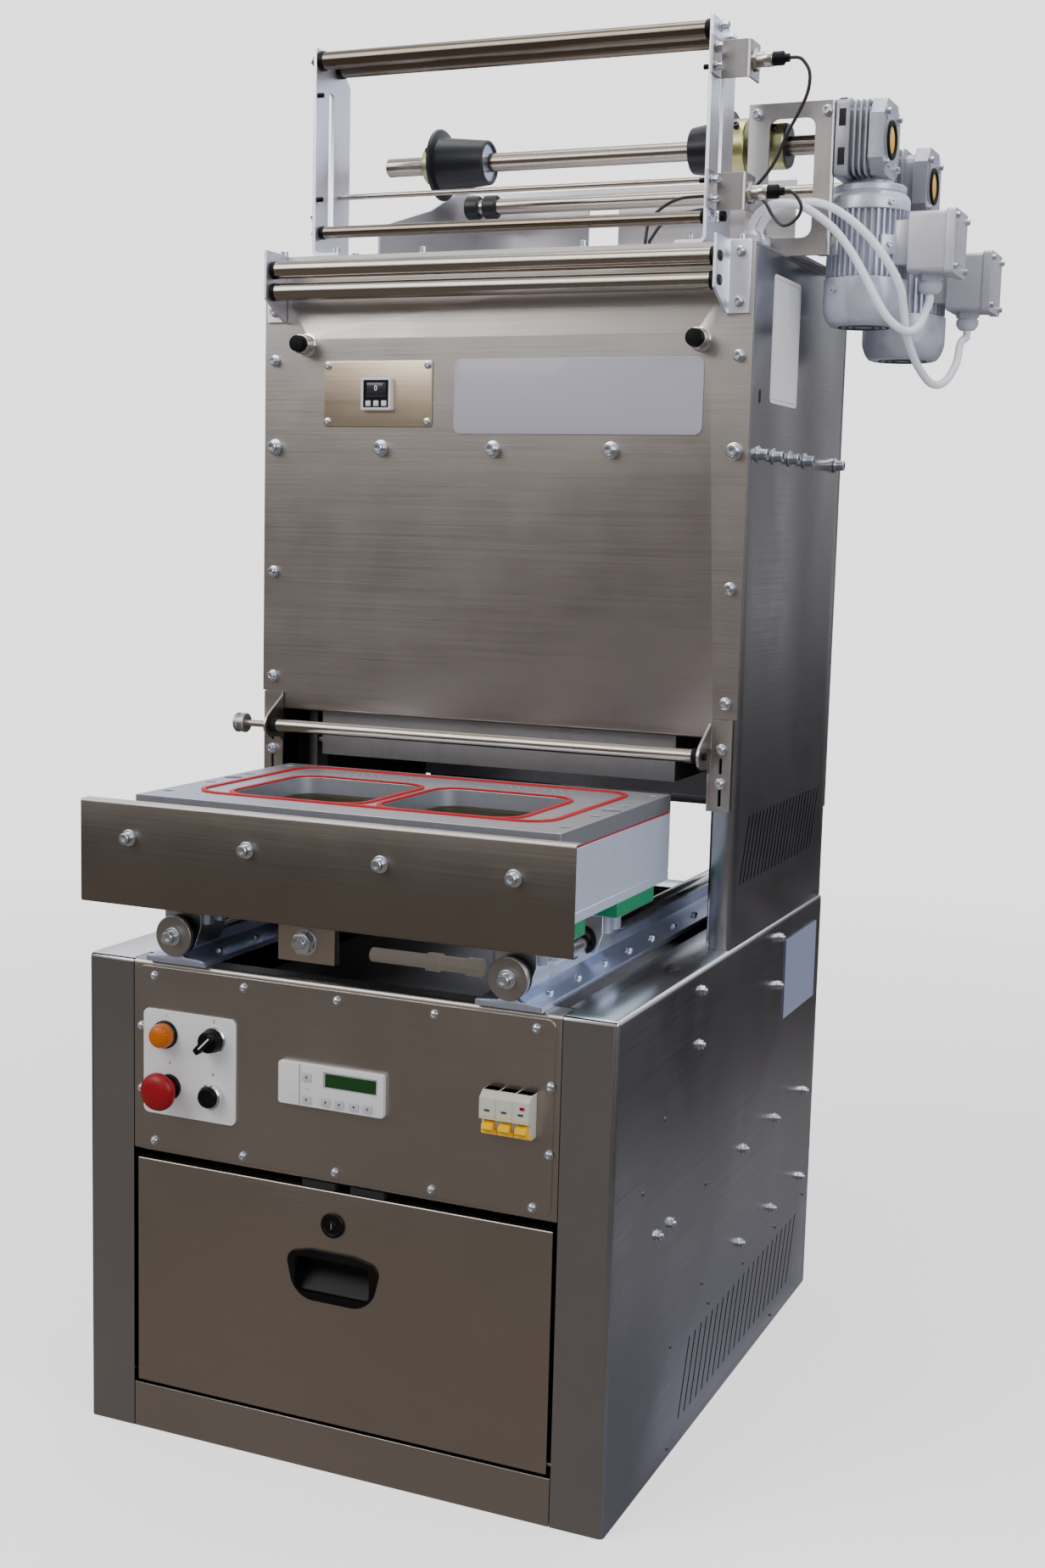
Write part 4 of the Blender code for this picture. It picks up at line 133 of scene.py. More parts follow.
class Graph:
    """The nodes of a material or of the world."""

    def __init__(self, owner: bpy.types.Material | bpy.types.World) -> None:
        """Switch on the owner's nodes, and find its Principled shader if it has one."""
        owner.use_nodes = True
        self.tree = owner.node_tree
        self.shader = self.tree.nodes.get("Principled BSDF")

    def node(self, kind: str, settings: dict | None = None, values: dict | None = None, result: int | str = 0) -> Wire:
        """Add a node of any type.

        Args:
            kind: The node's type name.
            settings: What is set on the node first; "stops" fills a colour ramp.
            values: Numbers, colours or wires for its inputs, by name or place.
            result: Which output to give back.

        Returns:
            That output.
        """
        made = self.tree.nodes.new(kind)
        for key, value in (settings or {}).items():
            if key == "stops":
                self._fill_ramp(made, value)
            else:
                setattr(made, key, value)
        for key, value in (values or {}).items():
            self.feed(made.inputs[key], value)
        return Wire(self, made.outputs[result])

    @staticmethod
    def _fill_ramp(made: bpy.types.Node, stops: Sequence[tuple[float, tuple]]) -> None:
        """Set a ramp's stops, each a place and a colour."""
        elements = made.color_ramp.elements
        while len(elements) > len(stops):
            elements.remove(elements[-1])
        while len(elements) < len(stops):
            elements.new(1.0)
        for element, (place, colour) in zip(elements, stops):
            element.position = place
            element.color = (*colour, 1.0)

    def feed(self, socket: bpy.types.NodeSocket, value: Value) -> None:
        """Link a wire to a socket, or set its number."""
        if isinstance(value, Wire):
            self.tree.links.new(value.socket, socket)
        elif isinstance(value, tuple) and socket.type == "RGBA":
            socket.default_value = (*value[:3], 1.0)
        else:
            socket.default_value = value

    def set(self, **values: Value) -> None:
        """Feed the shader's own sockets, named with underscores for spaces."""
        for key, value in values.items():
            self.feed(self.shader.inputs[key.replace("_", " ")], value)

    def place(self) -> Wire:
        """Give the point on the object that is being shaded."""
        return self.node("ShaderNodeTexCoord", result="Object")

    def parts(self, vector: Wire) -> tuple[Wire, Wire, Wire]:
        """Split a vector into x, y and z."""
        split = self.tree.nodes.new("ShaderNodeSeparateXYZ")
        self.feed(split.inputs[0], vector)
        return tuple(Wire(self, split.outputs[i]) for i in range(3))

    def stretched(self, scale: Sequence[float]) -> Wire:
        """Give the shaded point with each axis scaled on its own."""
        return self.node("ShaderNodeMapping", {"vector_type": "POINT"}, {"Vector": self.place(), "Scale": tuple(scale)})

    def noise(self, scale: Sequence[float] | float, detail: float = 3.0) -> Wire:
        """Give soft noise from 0 to 1.

        Args:
            scale: One scale, or one for each axis.
            detail: How many finer layers it has.

        Returns:
            The noise.
        """
        spread = (scale,) * 3 if isinstance(scale, (int, float)) else scale
        return self.node("ShaderNodeTexNoise", None, {"Vector": self.stretched(spread), "Scale": 1.0, "Detail": detail})

    def blend(self, share: Value, first: Value, second: Value) -> Wire:
        """Mix two colours."""
        return self.node("ShaderNodeMix", {"data_type": "RGBA"}, {0: share, 6: first, 7: second}, 2)

    def ramp(self, share: Wire, *stops: tuple[float, tuple]) -> Wire:
        """Turn a number into a colour."""
        return self.node("ShaderNodeValToRGB", {"stops": stops}, {0: share})

    def bumped(self, height: Wire, distance: float, strength: float = 1.0) -> None:
        """Roughen the surface by a height in metres."""
        bump = self.node("ShaderNodeBump", None, {"Height": height, "Distance": distance, "Strength": strength})
        self.set(Normal=bump)


# Finishes
@dataclass(frozen=True)
class Finish:
    """A surface finish. Each kind fills in its own shader."""

    name: str
    colour: Colour
    roughness: float = 0.4
    slot: str = "stainless"
    # Box inside which the colour is darkened as painted shade, the shade of a cavity.
    shade_box: tuple[Point, Point] | None = None

    def varied(self, noise: Wire, span: float) -> Wire:
        """Let the roughness follow a noise, over a span."""
        return (self.roughness + (noise - 0.5) * span).clamped()

    def shaded_in_box(self, graph: Graph, tone: Value) -> Value:
        """Darken a tone to dark brown inside the finish's box, if it has one, as painted shade in its cavities."""
        if not self.shade_box:
            return tone
        inside: Value = 1.0
        for place, low, high in zip(graph.parts(graph.place()), *self.shade_box):
            inside = place.above(low) * (high - place).above(0.0) * inside
        # The dark brown inside the box is painted shade.
        return graph.blend(inside, tone, (0.085, 0.075, 0.055))

    def material(self) -> bpy.types.Material:
        """Give the finish's material, made once."""
        made = bpy.data.materials.get(f"shown_{self.name}")
        if made is None:
            made = bpy.data.materials.new(f"shown_{self.name}")
            self.fill(Graph(made))
        return made

    def fill(self, graph: Graph) -> None:
        """Fill in the shader."""
        raise NotImplementedError


@dataclass(frozen=True)
class BrushedSheet(Finish):
    """Brushed stainless sheet with grain and hand marks; a slow change of tone with height, if it has one, is painted
    light; the faces inside its outer skin, if it has one, are near black as painted shade.
    """

    shade: Colour = (0.3, 0.27, 0.24)
    grain: Grain = Grain.ALONG_X
    scratch: float = 0.35
    painted_light_span: tuple[float, float] = (0.0, 1.5)
    painted_light_colour: Colour | None = None
    shade_shell: tuple[float, float, float, float] | None = None

    def fill(self, graph: Graph) -> None:
        """Brushed lines in the bump and roughness, slow clouds in the colour; painted light by height and painted shade
        on the inner faces.
        """
        lines = graph.noise(self.grain.value, 5.0)
        fine = graph.noise(tuple(3.1 * scale for scale in self.grain.value), 2.0)
        cloud = graph.noise(3.2, 4.0)
        marks = graph.noise(17.0, 5.0)
        share = (lines * 0.55 + cloud * 0.75 + marks * 0.35 - 0.42).clamped()
        tone = graph.blend(share, self.colour, self.shade)
        # Painted light: the tone lightens towards the painted-light colour over a span of height, a painted reflection
        # on the column's front and a painted highlight along top folds.
        if self.painted_light_colour:
            low, high = self.painted_light_span
            height = graph.parts(graph.place())[2]
            tone = graph.blend(((height - low) / (high - low) + (cloud - 0.5) * 0.25).clamped(), tone,
                self.painted_light_colour)
        # Painted shade: faces inside the outer skin, as in the vents, turn near black.
        if self.shade_shell:
            half, front, back, top = self.shade_shell
            x, y, z = graph.parts(graph.place())
            reach = (x * x) ** 0.5
            skin = (reach.above(half - 0.0003) + (0.0 - y).above(-front - 0.001) + y.above(back - 0.001)
                + z.above(top - 0.001) + (reach - y).above(half - front - 0.0042) + (reach + y).above(half
                + back - 0.0042) + (reach + z).above(half + top - 0.0042)).clamped()
            tone = graph.blend(skin, (0.012, 0.011, 0.01), tone)
        graph.set(Base_Color=tone, Metallic=1.0, Roughness=(self.roughness + (lines - 0.5) * 0.16
            + (marks - 0.5) * 0.14).clamped())
        graph.bumped(lines * 0.7 + fine * 0.3, 0.00022, self.scratch)


@dataclass(frozen=True)
class GroundBar(Finish):
    """A turned or centreless-ground bar along x, y or z, with fine rings."""

    slot: str = "roller_steel"
    rings: Grain = Grain.RINGS_X

    def fill(self, graph: Graph) -> None:
        """Fine rings round the bar and faint marks along it."""
        rings = graph.noise(self.rings.value, 2.0)
        marks = graph.noise(26.0, 4.0)
        tone = graph.blend(marks * 0.5 + rings * 0.5, self.colour, tuple(0.66 * channel for channel in self.colour))
        graph.set(Base_Color=tone, Metallic=1.0, Roughness=(self.roughness + (marks - 0.5) * 0.1
            + (rings - 0.5) * 0.1).clamped())
        graph.bumped(rings, 0.00002, 0.12)


@dataclass(frozen=True)
class MilledAluminium(Finish):
    """Milled aluminium plate, with cutter arcs and darker stains."""

    slot: str = "aluminium"
    arc: float = 46.0
    stain: Colour = (0.42, 0.45, 0.5)
    metal: float = 0.9

    def fill(self, graph: Graph) -> None:
        """Arcs from the cutter in the bump, clouds and small stains in the colour."""
        swirl = graph.node("ShaderNodeTexWave", {"wave_type": "RINGS", "rings_direction": "Z"},
            {"Vector": graph.stretched((1.0, 1.0, 0.1)), "Scale": self.arc, "Distortion": 2.5, "Detail": 3.0,
            "Detail Scale": 2.0})
        cloud = graph.noise(9.0, 5.0)
        specks = graph.noise(140.0, 3.0)
        share = ((cloud - 0.42) * 1.9 + (specks - 0.5) * 0.6).clamped()
        # Inside the shade box, if the finish has one, the tone turns dark brown as painted shade.
        graph.set(Base_Color=self.shaded_in_box(graph, graph.blend(share, self.colour, self.stain)), Metallic=self.metal,
            Roughness=self.varied(cloud, 0.18))
        graph.bumped(swirl * 0.4 + specks * 0.6, 0.00006, 0.5)


@dataclass(frozen=True)
class Moulded(Finish):
    """Moulded plastic or rubber with a fine spark-eroded grain."""

    slot: str = "black_plastic"
    texture: float = 900.0
    depth: float = 0.00008
    dust: Colour = (0.45, 0.44, 0.42)
    dusty: float = 0.12
    coat: float = 0.0
    glow: float = 0.0
    subsurface: float = 0.0
    shine: float = 0.5

    def fill(self, graph: Graph) -> None:
        """Fine grain in the bump, faint dust in the colour."""
        grain = graph.noise(self.texture, 2.0)
        cloud = graph.noise(14.0, 5.0)
        share = ((cloud - 0.45) * 2.0 * self.dusty).clamped()
        # Inside the shade box, if the finish has one, the tone turns dark brown as painted shade.
        tone = self.shaded_in_box(graph, graph.blend(share, self.colour, self.dust))
        graph.set(Base_Color=tone, Roughness=self.varied(cloud, 0.14), Coat_Weight=self.coat,
            Subsurface_Weight=self.subsurface, Subsurface_Scale=0.002, Specular_IOR_Level=self.shine)
        # Glow is emission; on the hose it is painted light.
        if self.glow:
            graph.set(Emission_Color=tone, Emission_Strength=self.glow)
        graph.bumped(grain, self.depth, 0.5)


@dataclass(frozen=True)
class Plated(Finish):
    """Bright zinc, chrome or yellow zinc on small turned parts."""

    slot: str = "roller_steel"
    second: Colour = (0.6, 0.66, 0.74)
    mottle: float = 90.0

    def fill(self, graph: Graph) -> None:
        """Two tones of plating in small clouds."""
        cloud = graph.noise(self.mottle, 3.0)
        graph.set(Base_Color=graph.blend(((cloud - 0.38) * 3.0).clamped(), self.colour, self.second), Metallic=1.0,
            Roughness=self.varied(cloud, 0.2))
        graph.bumped(graph.noise(1300.0, 2.0), 0.00003, 0.35)


@dataclass(frozen=True)
class CastPaint(Finish):
    """Grey paint over a die casting, with dust in clouds."""

    slot: str = "grey_paint"
    dirt: Colour = (0.2, 0.19, 0.19)

    def fill(self, graph: Graph) -> None:
        """An uneven coat, dulled in clouds."""
        skin = graph.noise(620.0, 3.0)
        cloud = graph.noise(30.0, 6.0)
        share = ((cloud - 0.48) * 1.6).clamped()
        graph.set(Base_Color=graph.blend(share, self.colour, self.dirt), Metallic=0.35,
            Roughness=self.varied(cloud, 0.22), Coat_Weight=0.15)
        graph.bumped(skin, 0.00012, 0.4)


@dataclass(frozen=True)
class TwoToned(Finish):
    """A bearing block of bare aluminium that carries a green polymer pad above one height."""

    slot: str = "green_polymer"
    metal: Colour = (0.62, 0.66, 0.72)
    seam: float = 0.5965

    def fill(self, graph: Graph) -> None:
        """The pad's colour above the seam, machined metal below it."""
        height = graph.parts(graph.place())[2]
        pad = height.above(self.seam)
        cloud = graph.noise(60.0, 4.0)
        block = graph.blend(cloud, self.metal, tuple(0.7 * channel for channel in self.metal))
        graph.set(Base_Color=graph.blend(pad, block, graph.blend(cloud * 0.4, self.colour, (0.0, 0.16, 0.07))),
            Metallic=1.0 - pad, Roughness=0.34 + pad * 0.2 + (cloud - 0.5) * 0.1)
        graph.bumped(graph.noise(500.0, 2.0), 0.00008, 0.4)


@dataclass(frozen=True)
class StudioFloor(Finish):
    """A pale matt floor that turns into the backdrop's glow far from the middle."""

    near: float = 1.2
    far: float = 3.4
    glow: float = 0.8
    backdrop: float = 2.2

    def fill(self, graph: Graph) -> None:
        """Matt near the machine, glowing like the backdrop further off."""
        across, along, _ = graph.parts(graph.place())
        reach = (across * across + along * along) ** 0.5
        share = ((reach - self.near) / (self.far - self.near)).clamped()
        glow = graph.blend(share, (self.glow,) * 3, (self.backdrop,) * 3)
        graph.set(Base_Color=graph.blend(share, self.colour, (0.0, 0.0, 0.0)), Roughness=self.roughness,
            Specular_IOR_Level=0.0, Emission_Color=glow, Emission_Strength=1.0)


@dataclass(frozen=True)
class Display(Finish):
    """A small liquid crystal window with a faint grid of cells."""

    slot: str = "white_plastic"
    line: Colour = (0.01, 0.05, 0.02)
    pitch: float = 0.0028
    glow: float = 0.25

    def fill(self, graph: Graph) -> None:
        """Cells in the colour under a glossy coat."""
        across, _, up = graph.parts(graph.place())
        cells = graph.node("ShaderNodeMath", {"operation": "FRACT"}, {0: across / self.pitch}).above(0.82)
        rows = graph.node("ShaderNodeMath", {"operation": "FRACT"}, {0: up / (self.pitch * 1.9)}).above(0.88)
        share = (cells + rows).clamped() * 0.55 + graph.noise(40.0, 2.0) * 0.2
        tone = graph.blend(share, self.colour, self.line)
        graph.set(Base_Color=tone, Roughness=self.roughness, Coat_Weight=0.25, Specular_IOR_Level=0.3,
            Emission_Color=tone, Emission_Strength=self.glow)


# Column front sheet: lighter towards the top as a painted reflection.
FRONT_SHEET = BrushedSheet("front_sheet", (0.4, 0.36, 0.335), 0.36, shade=(0.28, 0.25, 0.235), painted_light_span=(1.04, 1.31),
    painted_light_colour=(0.56, 0.53, 0.51))
CABINET_SHEET = BrushedSheet("cabinet_sheet", (0.47, 0.43, 0.4), 0.34, shade=(0.33, 0.3, 0.28))
# Base side sheet: the pale band along the top fold is a painted highlight, and the faces inside the vents are painted
# shade.
SIDE_SHEET = BrushedSheet("base_side_sheet", (0.44, 0.44, 0.46), 0.22, shade=(0.31, 0.31, 0.33), grain=Grain.ALONG_Y,
    scratch=0.14, painted_light_span=(0.5272, 0.5284), painted_light_colour=(0.92, 0.9, 0.9), shade_shell=(0.307, FRONT, -FRONT, 0.529))
# Column side sheet: the faces inside its vents are painted shade.
COLUMN_SIDE = BrushedSheet("column_side_sheet", (0.44, 0.44, 0.46), 0.2, shade=(0.32, 0.32, 0.34),
    grain=Grain.ALONG_Y, scratch=0.14, shade_shell=(0.304, FRONT + 0.3543, -FRONT, 1.3037))
BRIGHT_SHEET = BrushedSheet("bright_sheet", (0.7, 0.69, 0.72), 0.34, shade=(0.54, 0.53, 0.57), grain=Grain.ALONG_Z,
    scratch=0.12)
# Dark stainless; as the cabinet's shade sheet it is painted shade.
DARK_SHEET = BrushedSheet("inner_sheet", (0.2, 0.19, 0.19), 0.5, shade=(0.11, 0.105, 0.1))
BAR = GroundBar("ground_bar", (0.4, 0.36, 0.315), 0.22)
RAIL_BAR = GroundBar("rail_bar", (0.72, 0.71, 0.7), 0.16, rings=Grain.RINGS_Y)
ALUMINIUM = MilledAluminium("milled_aluminium", (0.6, 0.63, 0.7), 0.36)
# Tool side: its bright bluish tone is partly painted light, the cool light on that side, and its cavity walls are
# painted shade.
ALUMINIUM_SIDE = MilledAluminium("sawn_aluminium", (0.76, 0.85, 1.0), 0.46, arc=9.0, stain=(0.58, 0.66, 0.86),
    metal=0.65, shade_box=((-0.2, FRONT - 0.0105, 0.6), (0.2, FRONT + 0.313, 0.6868)))
DARK_ALUMINIUM = MilledAluminium("upper_tool_aluminium", (0.27, 0.26, 0.265), 0.48, stain=(0.18, 0.175, 0.18))
CAST_ALUMINIUM = MilledAluminium("extruded_aluminium", (0.6, 0.67, 0.86), 0.34, arc=3.0, stain=(0.42, 0.46, 0.62))
# Red silicone: darkened inside the tool's box as painted shade.
SILICONE = Moulded("red_silicone", (0.46, 0.003, 0.008), 0.42, "red_silicone", dusty=0.02, shine=0.3,
    shade_box=((-0.2, FRONT - 0.0105, 0.6), (0.2, FRONT + 0.313, 0.69)))
GREEN = TwoToned("green_pad_block", (0.0, 0.23, 0.1))
WHITE = Moulded("white_plastic", (0.68, 0.67, 0.68), 0.42, "white_plastic", dusty=0.08, coat=0.1)
KEY_GREY = Moulded("key_caps", (0.5, 0.46, 0.52), 0.5, "white_plastic")
BLACK = Moulded("black_plastic", (0.004, 0.004, 0.0045), 0.4, dusty=0.008, shine=0.12)
RUBBER = Moulded("black_rubber", (0.004, 0.004, 0.0045), 0.62, dusty=0.02, shine=0.15)
RED_CAP = Moulded("red_cap", (0.25, 0.0, 0.005), 0.4, "red_plastic", dusty=0.01, coat=0.1, shine=0.25)
AMBER = Moulded("amber_lens", (0.46, 0.1, 0.0), 0.26, "amber_lens", dusty=0.01, coat=0.25, glow=0.04, texture=160.0,
    depth=0.0003, shine=0.25)
BREAKER_WHITE = Moulded("breaker_case", (0.54, 0.52, 0.45), 0.45, "white_plastic", dusty=0.06)
TOGGLE = Moulded("yellow_toggle", (0.93, 0.52, 0.0), 0.35, "amber_lens", dusty=0.04, coat=0.2)
BAND = Moulded("faded_yellow_band", (0.62, 0.56, 0.24), 0.45, "white_plastic")
CAP_YELLOW = Moulded("yellow_shaft_cap", (0.9, 0.48, 0.01), 0.35, "amber_lens", dusty=0.05)
INK = Moulded("printed_ink", (0.03, 0.03, 0.04), 0.55)
NAME_PLATE = Moulded("bare_name_plate", (0.37, 0.35, 0.42), 0.36, "white_plastic", dusty=0.06, coat=0.2)
LABEL = Moulded("bare_label", (0.86, 0.85, 0.89), 0.4, "white_plastic", dusty=0.05)
LABEL_LINE = Moulded("label_border", (0.62, 0.2, 0.22), 0.5, "red_plastic")
GLAND = Moulded("grey_gland", (0.52, 0.51, 0.6), 0.42, "grey_sheath", dusty=0.08)
SHEATH = Moulded("grey_cable_sheath", (0.9, 0.9, 1.0), 0.46, "grey_sheath", dusty=0.06)
BLACK_SHEATH = Moulded("black_cable_sheath", (0.018, 0.018, 0.02), 0.45, "black_sheath", dusty=0.05)
# The hose's glow is painted light that lifts it out of its shadow.
HOSE = Moulded("tan_hose_painted_glow", (0.92, 0.82, 0.68), 0.6, "grey_sheath", glow=0.1)
ZINC = Plated("bright_zinc", (0.72, 0.76, 0.82), 0.24)
CHROME = Plated("chrome_ring", (0.8, 0.8, 0.82), 0.14, second=(0.7, 0.71, 0.74), mottle=20.0)
YELLOW_ZINC = Plated("yellow_zinc", (0.5, 0.46, 0.2), 0.34, second=(0.42, 0.44, 0.26), mottle=45.0)
BRASS = Plated("nickel_brass", (0.62, 0.59, 0.53), 0.22, second=(0.48, 0.45, 0.4))
TOOL_STEEL = Plated("turned_steel", (0.4, 0.375, 0.35), 0.42, second=(0.32, 0.3, 0.28), mottle=30.0)
BLACK_STEEL = Plated("black_oxide", (0.05, 0.048, 0.05), 0.4, second=(0.1, 0.1, 0.11))
DRIVE_STEEL = BrushedSheet("drive_steel", (0.54, 0.48, 0.42), 0.38, shade=(0.42, 0.37, 0.32))
DOOR_SHEET = BrushedSheet("door_sheet", (0.47, 0.42, 0.375), 0.3, shade=(0.34, 0.3, 0.265))
# Drawer cover: the pale band along the top edge is a painted highlight.
COVER_SHEET = BrushedSheet("cover_sheet", (0.29, 0.255, 0.23), 0.34, shade=(0.21, 0.185, 0.165),
    painted_light_span=(0.7046, 0.7058), painted_light_colour=(0.78, 0.74, 0.72))
DATA_PLATE = Moulded("bare_data_plate", (0.27, 0.3, 0.45), 0.42, "stainless", dusty=0.03)
GAUGE_PLATE = BrushedSheet("gauge_plate", (0.72, 0.6, 0.47), 0.34, "gauge_steel", shade=(0.6, 0.48, 0.36))
GREY_PAINT = CastPaint("grey_paint", (0.58, 0.6, 0.7), 0.32)
# Gearbox paint: the motor's grey paint darkened as painted shade among its fins, with darker clouds.
GEARBOX_SHADED_PAINT = CastPaint("gearbox_paint", (0.34, 0.345, 0.4), 0.3, dirt=(0.1, 0.1, 0.11))
BOX_PAINT = CastPaint("terminal_box_paint", (0.52, 0.52, 0.57), 0.4, dirt=(0.36, 0.36, 0.39))
LCD = Display("green_display", (0.006, 0.045, 0.005), 0.3, glow=0.05)
SCREEN = Display("dark_display", (0.012, 0.014, 0.02), 0.12, "black_plastic", line=(0.05, 0.05, 0.06), glow=0.0)
RUBBER_DISC = Moulded("black_nylon", (0.011, 0.012, 0.016), 0.34, dusty=0.04, shine=0.3)
GAUGE_GREY = Moulded("gauge_grey", (0.6, 0.6, 0.62), 0.4, "white_plastic")
FILM_BAR = GroundBar("film_bar", (0.21, 0.175, 0.14), 0.2)
FILM_PLATE = BrushedSheet("film_plate", (0.92, 0.92, 1.0), 0.42, shade=(0.76, 0.76, 0.86), grain=Grain.ALONG_Z)
BRACKET_SHEET = BrushedSheet("bracket_sheet", (0.46, 0.44, 0.44), 0.34, shade=(0.34, 0.32, 0.31), grain=Grain.ALONG_Z)
FLOOR = StudioFloor("studio_floor", (0.86, 0.86, 0.86), 0.8)
# Near-black fill that stands in for the shade inside holes, slots and openings: painted shade.
SHADE_FILL = Moulded("painted_shade_fill", (0.008, 0.008, 0.009), 0.8, dusty=0.0)


# Shapes
Profile = Sequence[tuple[float, float]]


def linked(name: str, data: bpy.types.ID) -> bpy.types.Object:
    """Put a new object in the scene."""
    made = bpy.data.objects.new(name, data)
    bpy.context.scene.collection.objects.link(made)
    return made


class Form:
    """A mesh being shaped, in the machine's own coordinates."""

    def __init__(self) -> None:
        """Start with nothing."""
        self.bm = bmesh.new()
        self.turned: list[bmesh.types.BMVert] = []

    def _broken(self, edges: Sequence[bmesh.types.BMEdge], offset: float, segments: int = 2) -> None:
        """Round some edges by an offset, unless it is zero."""
        if offset:
            bmesh.ops.bevel(self.bm, geom=edges, offset=offset, offset_type="OFFSET", affect="EDGES",
                segments=segments, profile=0.5, material=-1)

    def _grown(self, faces: Sequence[bmesh.types.BMFace], axis: str, distance: float) -> list:
        """Extrude faces along an axis, and give what that adds."""
        grown = bmesh.ops.extrude_face_region(self.bm, geom=faces)["geom"]
        verts = [item for item in grown if isinstance(item, bmesh.types.BMVert)]
        bmesh.ops.translate(self.bm, vec=[distance * (axis == name) for name in "XYZ"], verts=verts)
        return grown

    def _loop(self, outline: Sequence[Point], axis: str, level: float) -> list[bmesh.types.BMVert]:
        """Add the corners of a flat outline at a level on an axis."""
        place = {"X": lambda u, v: (level, u, v), "Y": lambda u, v: (u, level, v), "Z": lambda u,
            v: (u, v, level)}[axis]
        return [self.bm.verts.new(place(u, v)) for u, v in outline]

    def block(self, low: Point, high: Point, edge: float = 0.0) -> "Form":
        """Add a box between two corners, its edges rounded."""
        low, high = Vector(low), Vector(high)
        made = bmesh.ops.create_cube(self.bm, size=1.0, matrix=Matrix.Translation((low + high) / 2)
            @ Matrix.Diagonal((*(high - low), 1.0)))
        self._broken(list({e for vert in made["verts"] for e in vert.link_edges}), edge)
        return self

    def lathe(self, profile: Profile, origin: Point, direction: Point, segments: int = 48) -> "Form":
        """Turn a profile of (radius, distance) pairs about an axis.

        Args:
            profile: The outline, from one end of the axis to the other.
            origin: Where distance is zero.
            direction: The way of the axis.
            segments: How many faces go round.

        Returns:
            This form.
        """
        before = set(self.bm.verts)
        place = Matrix.Translation(origin) @ Vector(direction).to_track_quat("Z", "Y").to_matrix().to_4x4()
        ring = [self.bm.verts.new(place @ Vector((radius, 0.0, along))) for radius, along in profile]
        edges = [self.bm.edges.new(pair) for pair in zip(ring, ring[1:])]
        bmesh.ops.spin(self.bm, geom=[*ring, *edges], cent=origin, axis=Vector(direction).normalized(),
            angle=math.tau, steps=segments, use_merge=True)
        bmesh.ops.remove_doubles(self.bm, verts=[vert for vert in self.bm.verts if vert not in before], dist=1e-6)
        self.turned = [vert for vert in self.bm.verts if vert not in before]
        return self

    def rod(self, start: Point, end: Point, radius: float, edge: float = 0.0, segments: int = 48) -> "Form":
        """Add a round bar with broken edges between two points."""
        start, end = Vector(start), Vector(end)
        length = (end - start).length
        profile = [(0.0, 0.0), (radius - edge, 0.0), (radius, edge), (radius, length - edge), (radius - edge, length),
            (0.0, length)]
        return self.lathe(profile, start, end - start, segments)

    def prism(self, outline: Sequence[Point], low: float, high: float, axis: str = "Y", edge: float = 0.0) -> "Form":
        """Extrude a flat outline.

        Args:
            outline: Points (x, z) for axis Y, (y, z) for X and (x, y) for Z.
            low: Where it starts on the axis.
            high: Where it ends.
            axis: The axis of the extrusion.
            edge: How far its outer edges are rounded.

        Returns:
            This form.
        """
        face = self.bm.faces.new(self._loop(outline, axis, low))
        cap = next(item for item in self._grown([face], axis, high - low) if isinstance(item, bmesh.types.BMFace))
        self._broken(list({*face.edges, *cap.edges}), edge)
        return self

    def plate(self, outline: Sequence[Point], low: float, high: float, axis: str = "Y",
            holes: Sequence[Sequence[Point]] = (), edge: float = 0.0) -> "Form":
        """Extrude a flat outline that has holes through it.

        Args:
            outline: Points (x, z) for axis Y, (y, z) for X and (x, y) for Z.
            low: Where it starts on the axis.
            high: Where it ends.
            axis: The axis of the extrusion.
            holes: The outline of each hole.
            edge: How far the rims of the outline are rounded.

        Returns:
            This form.
        """
        bounds, rim = [], []
        for loop in (outline, *holes):
            verts = self._loop(loop, axis, low)
            edges = [self.bm.edges.new(pair) for pair in zip(verts, verts[1:] + verts[:1])]
            rim = rim or edges
            bounds += edges
        filled = bmesh.ops.triangle_fill(self.bm, edges=bounds, use_beauty=True, use_dissolve=True)["geom"]
        self._grown([item for item in filled if isinstance(item, bmesh.types.BMFace)], axis, high - low)
        self._broken([item for item in rim if item.is_valid], edge, 3)
        return self

    def without(self, doomed: Callable[[list[Vector]], bool]) -> "Form":
        """Drop the faces whose corners pass a test."""
        faces = [face for face in self.bm.faces if doomed([vert.co for vert in face.verts])]
        bmesh.ops.delete(self.bm, geom=faces, context="FACES")
        return self

    def ribbed(self, centre: Point, inner: float, depth: float) -> "Form":
        """Draw every other line of a shape turned about y inwards, outside a radius, so that it is ribbed."""
        for vert in self.bm.verts:
            u, v = vert.co.x - centre[0], vert.co.z - centre[2]
            reach = math.hypot(u, v)
            if reach > inner and round(math.atan2(v, u) / math.tau * 48) % 2:
                vert.co.x -= u / reach * depth
                vert.co.z -= v / reach * depth
        return self

    def stamp(self, mesh: bpy.types.Mesh, places: Iterable[Matrix]) -> "Form":
        """Add copies of a finished mesh at each place."""
        for matrix in places:
            copied = mesh.copy()
            copied.transform(matrix)
            self.bm.from_mesh(copied)
            bpy.data.meshes.remove(copied)
        return self

    def copy_of(self, node: str) -> "Form":
        """Add a welded copy of a solid's mesh, its flat faces made whole again."""
        self.bm.from_mesh(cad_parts[node].data)
        bmesh.ops.remove_doubles(self.bm, verts=self.bm.verts, dist=2e-6)
        bmesh.ops.dissolve_limit(self.bm, angle_limit=math.radians(0.4), verts=self.bm.verts, edges=self.bm.edges)
        return self

